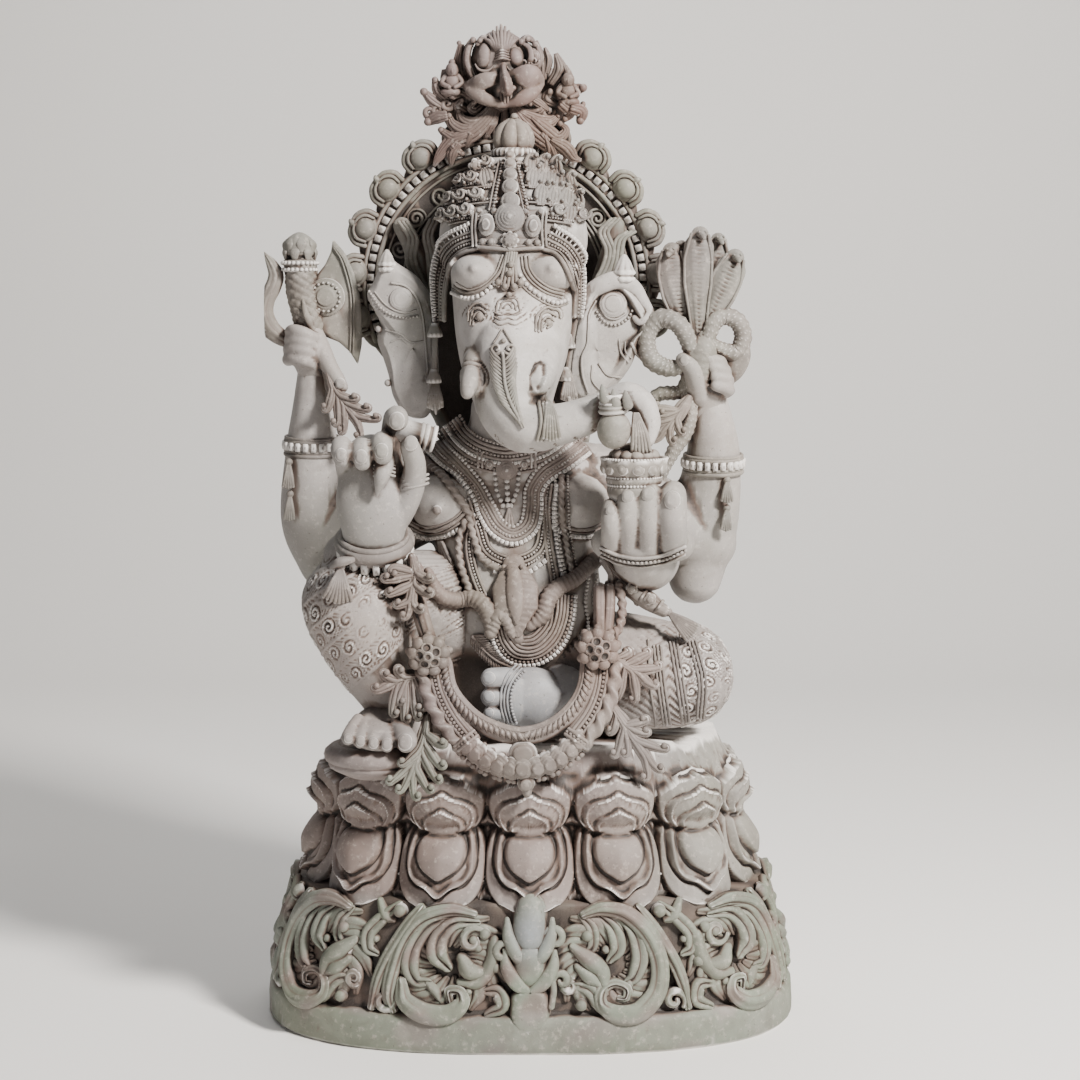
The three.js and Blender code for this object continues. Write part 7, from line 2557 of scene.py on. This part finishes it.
class LionMask(bpy.types.Operator):
    """Carves the mask over the arch and its leaves."""
    bl_idname = "soapstone.lion_mask"
    bl_label = "Carve the lion mask"

    def execute(self, context):
        return run(lion_mask)


class Crown(bpy.types.Operator):
    """Carves the crown with its band, buds and finial."""
    bl_idname = "soapstone.crown"
    bl_label = "Carve the crown"

    def execute(self, context):
        return run(crown)


class FaceCarving(bpy.types.Operator):
    """Carves rims, lids, the trunk's leaf and the held bulb."""
    bl_idname = "soapstone.face_carving"
    bl_label = "Carve the face ornaments"

    def execute(self, context):
        return run(face_carving)


class Axe(bpy.types.Operator):
    """Carves the axe and horn."""
    bl_idname = "soapstone.axe"
    bl_label = "Carve the axe"

    def execute(self, context):
        return run(axe)


class Serpent(bpy.types.Operator):
    """Carves the five-headed serpent."""
    bl_idname = "soapstone.serpent"
    bl_label = "Carve the serpent"

    def execute(self, context):
        return run(serpent)


class Hands(bpy.types.Operator):
    """Carves the four hands."""
    bl_idname = "soapstone.hands"
    bl_label = "Carve the hands"

    def execute(self, context):
        return run(hands)


class Pot(bpy.types.Operator):
    """Carves the small pot in the hand on the right."""
    bl_idname = "soapstone.pot"
    bl_label = "Carve the pot"

    def execute(self, context):
        return run(pot)


class Feet(bpy.types.Operator):
    """Carves both feet."""
    bl_idname = "soapstone.feet"
    bl_label = "Carve the feet"

    def execute(self, context):
        return run(feet)


class Jewels(bpy.types.Operator):
    """Carves collar, necklaces and chains."""
    bl_idname = "soapstone.jewels"
    bl_label = "Carve the jewels"

    def execute(self, context):
        return run(jewels)


class Belt(bpy.types.Operator):
    """Carves the serpent belt and its swags."""
    bl_idname = "soapstone.belt"
    bl_label = "Carve the belt"

    def execute(self, context):
        return run(belt)


class Garland(bpy.types.Operator):
    """Carves the heavy garland and its rosettes."""
    bl_idname = "soapstone.garland"
    bl_label = "Carve the garland"

    def execute(self, context):
        return run(garland)


class Sprays(bpy.types.Operator):
    """Carves the leaf sprays round the figure."""
    bl_idname = "soapstone.sprays"
    bl_label = "Carve the leaf sprays"

    def execute(self, context):
        return run(sprays)


class Bands(bpy.types.Operator):
    """Carves armlets, bracelets and tassels."""
    bl_idname = "soapstone.bands"
    bl_label = "Carve the bands"

    def execute(self, context):
        return run(bands)


class Weather(bpy.types.Operator):
    """Reads hollows, edges and tints into every piece, for the stone's dust, wear, painted shade and painted
    light.
    """
    bl_idname = "soapstone.weather"
    bl_label = "Weather the stone"

    def execute(self, context):
        return run(weather_and_painted_light)


class Stage(bpy.types.Operator):
    """Sets floor, backdrop, lights and camera."""
    bl_idname = "soapstone.stage"
    bl_label = "Set the stage"

    def execute(self, context):
        return run(stage, context.scene.stone_colours)


JOBS = (Stone, Plinth, Lotus, Torso, Head, Ears, Legs, Arch, LionMask, Crown, FaceCarving, Axe, Serpent,
        Hands, Pot, Feet, Jewels, Belt, Garland, Sprays, Bands, Weather, Stage)


class SoapstonePanel(bpy.types.Panel):
    """Lists the making steps in order, with their settings above."""
    bl_idname = "VIEW3D_PT_soapstone"
    bl_label = "Soapstone figure"
    bl_space_type = "VIEW_3D"
    bl_region_type = "UI"
    bl_category = "Soapstone"

    def draw(self, context):
        for settings in (context.scene.figure_sizes, context.scene.stone_colours):
            for key in settings.__annotations__:
                self.layout.prop(settings, key)
        for job in JOBS:
            self.layout.operator(job.bl_idname)


def register():
    """Registers the classes and hangs the settings on the scene."""
    for cls in (FigureSizes, StoneColours, *JOBS, SoapstonePanel):
        bpy.utils.register_class(cls)
    bpy.types.Scene.figure_sizes = bpy.props.PointerProperty(type=FigureSizes)
    bpy.types.Scene.stone_colours = bpy.props.PointerProperty(type=StoneColours)


def unregister():
    """Takes the settings and classes away again."""
    del bpy.types.Scene.figure_sizes, bpy.types.Scene.stone_colours
    for cls in reversed((FigureSizes, StoneColours, *JOBS, SoapstonePanel)):
        bpy.utils.unregister_class(cls)


def main():
    """Registers the add-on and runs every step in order."""
    register()
    for job in JOBS:
        getattr(bpy.ops.soapstone, job.bl_idname.split(".")[1])()


if __name__ == "__main__":
    main()
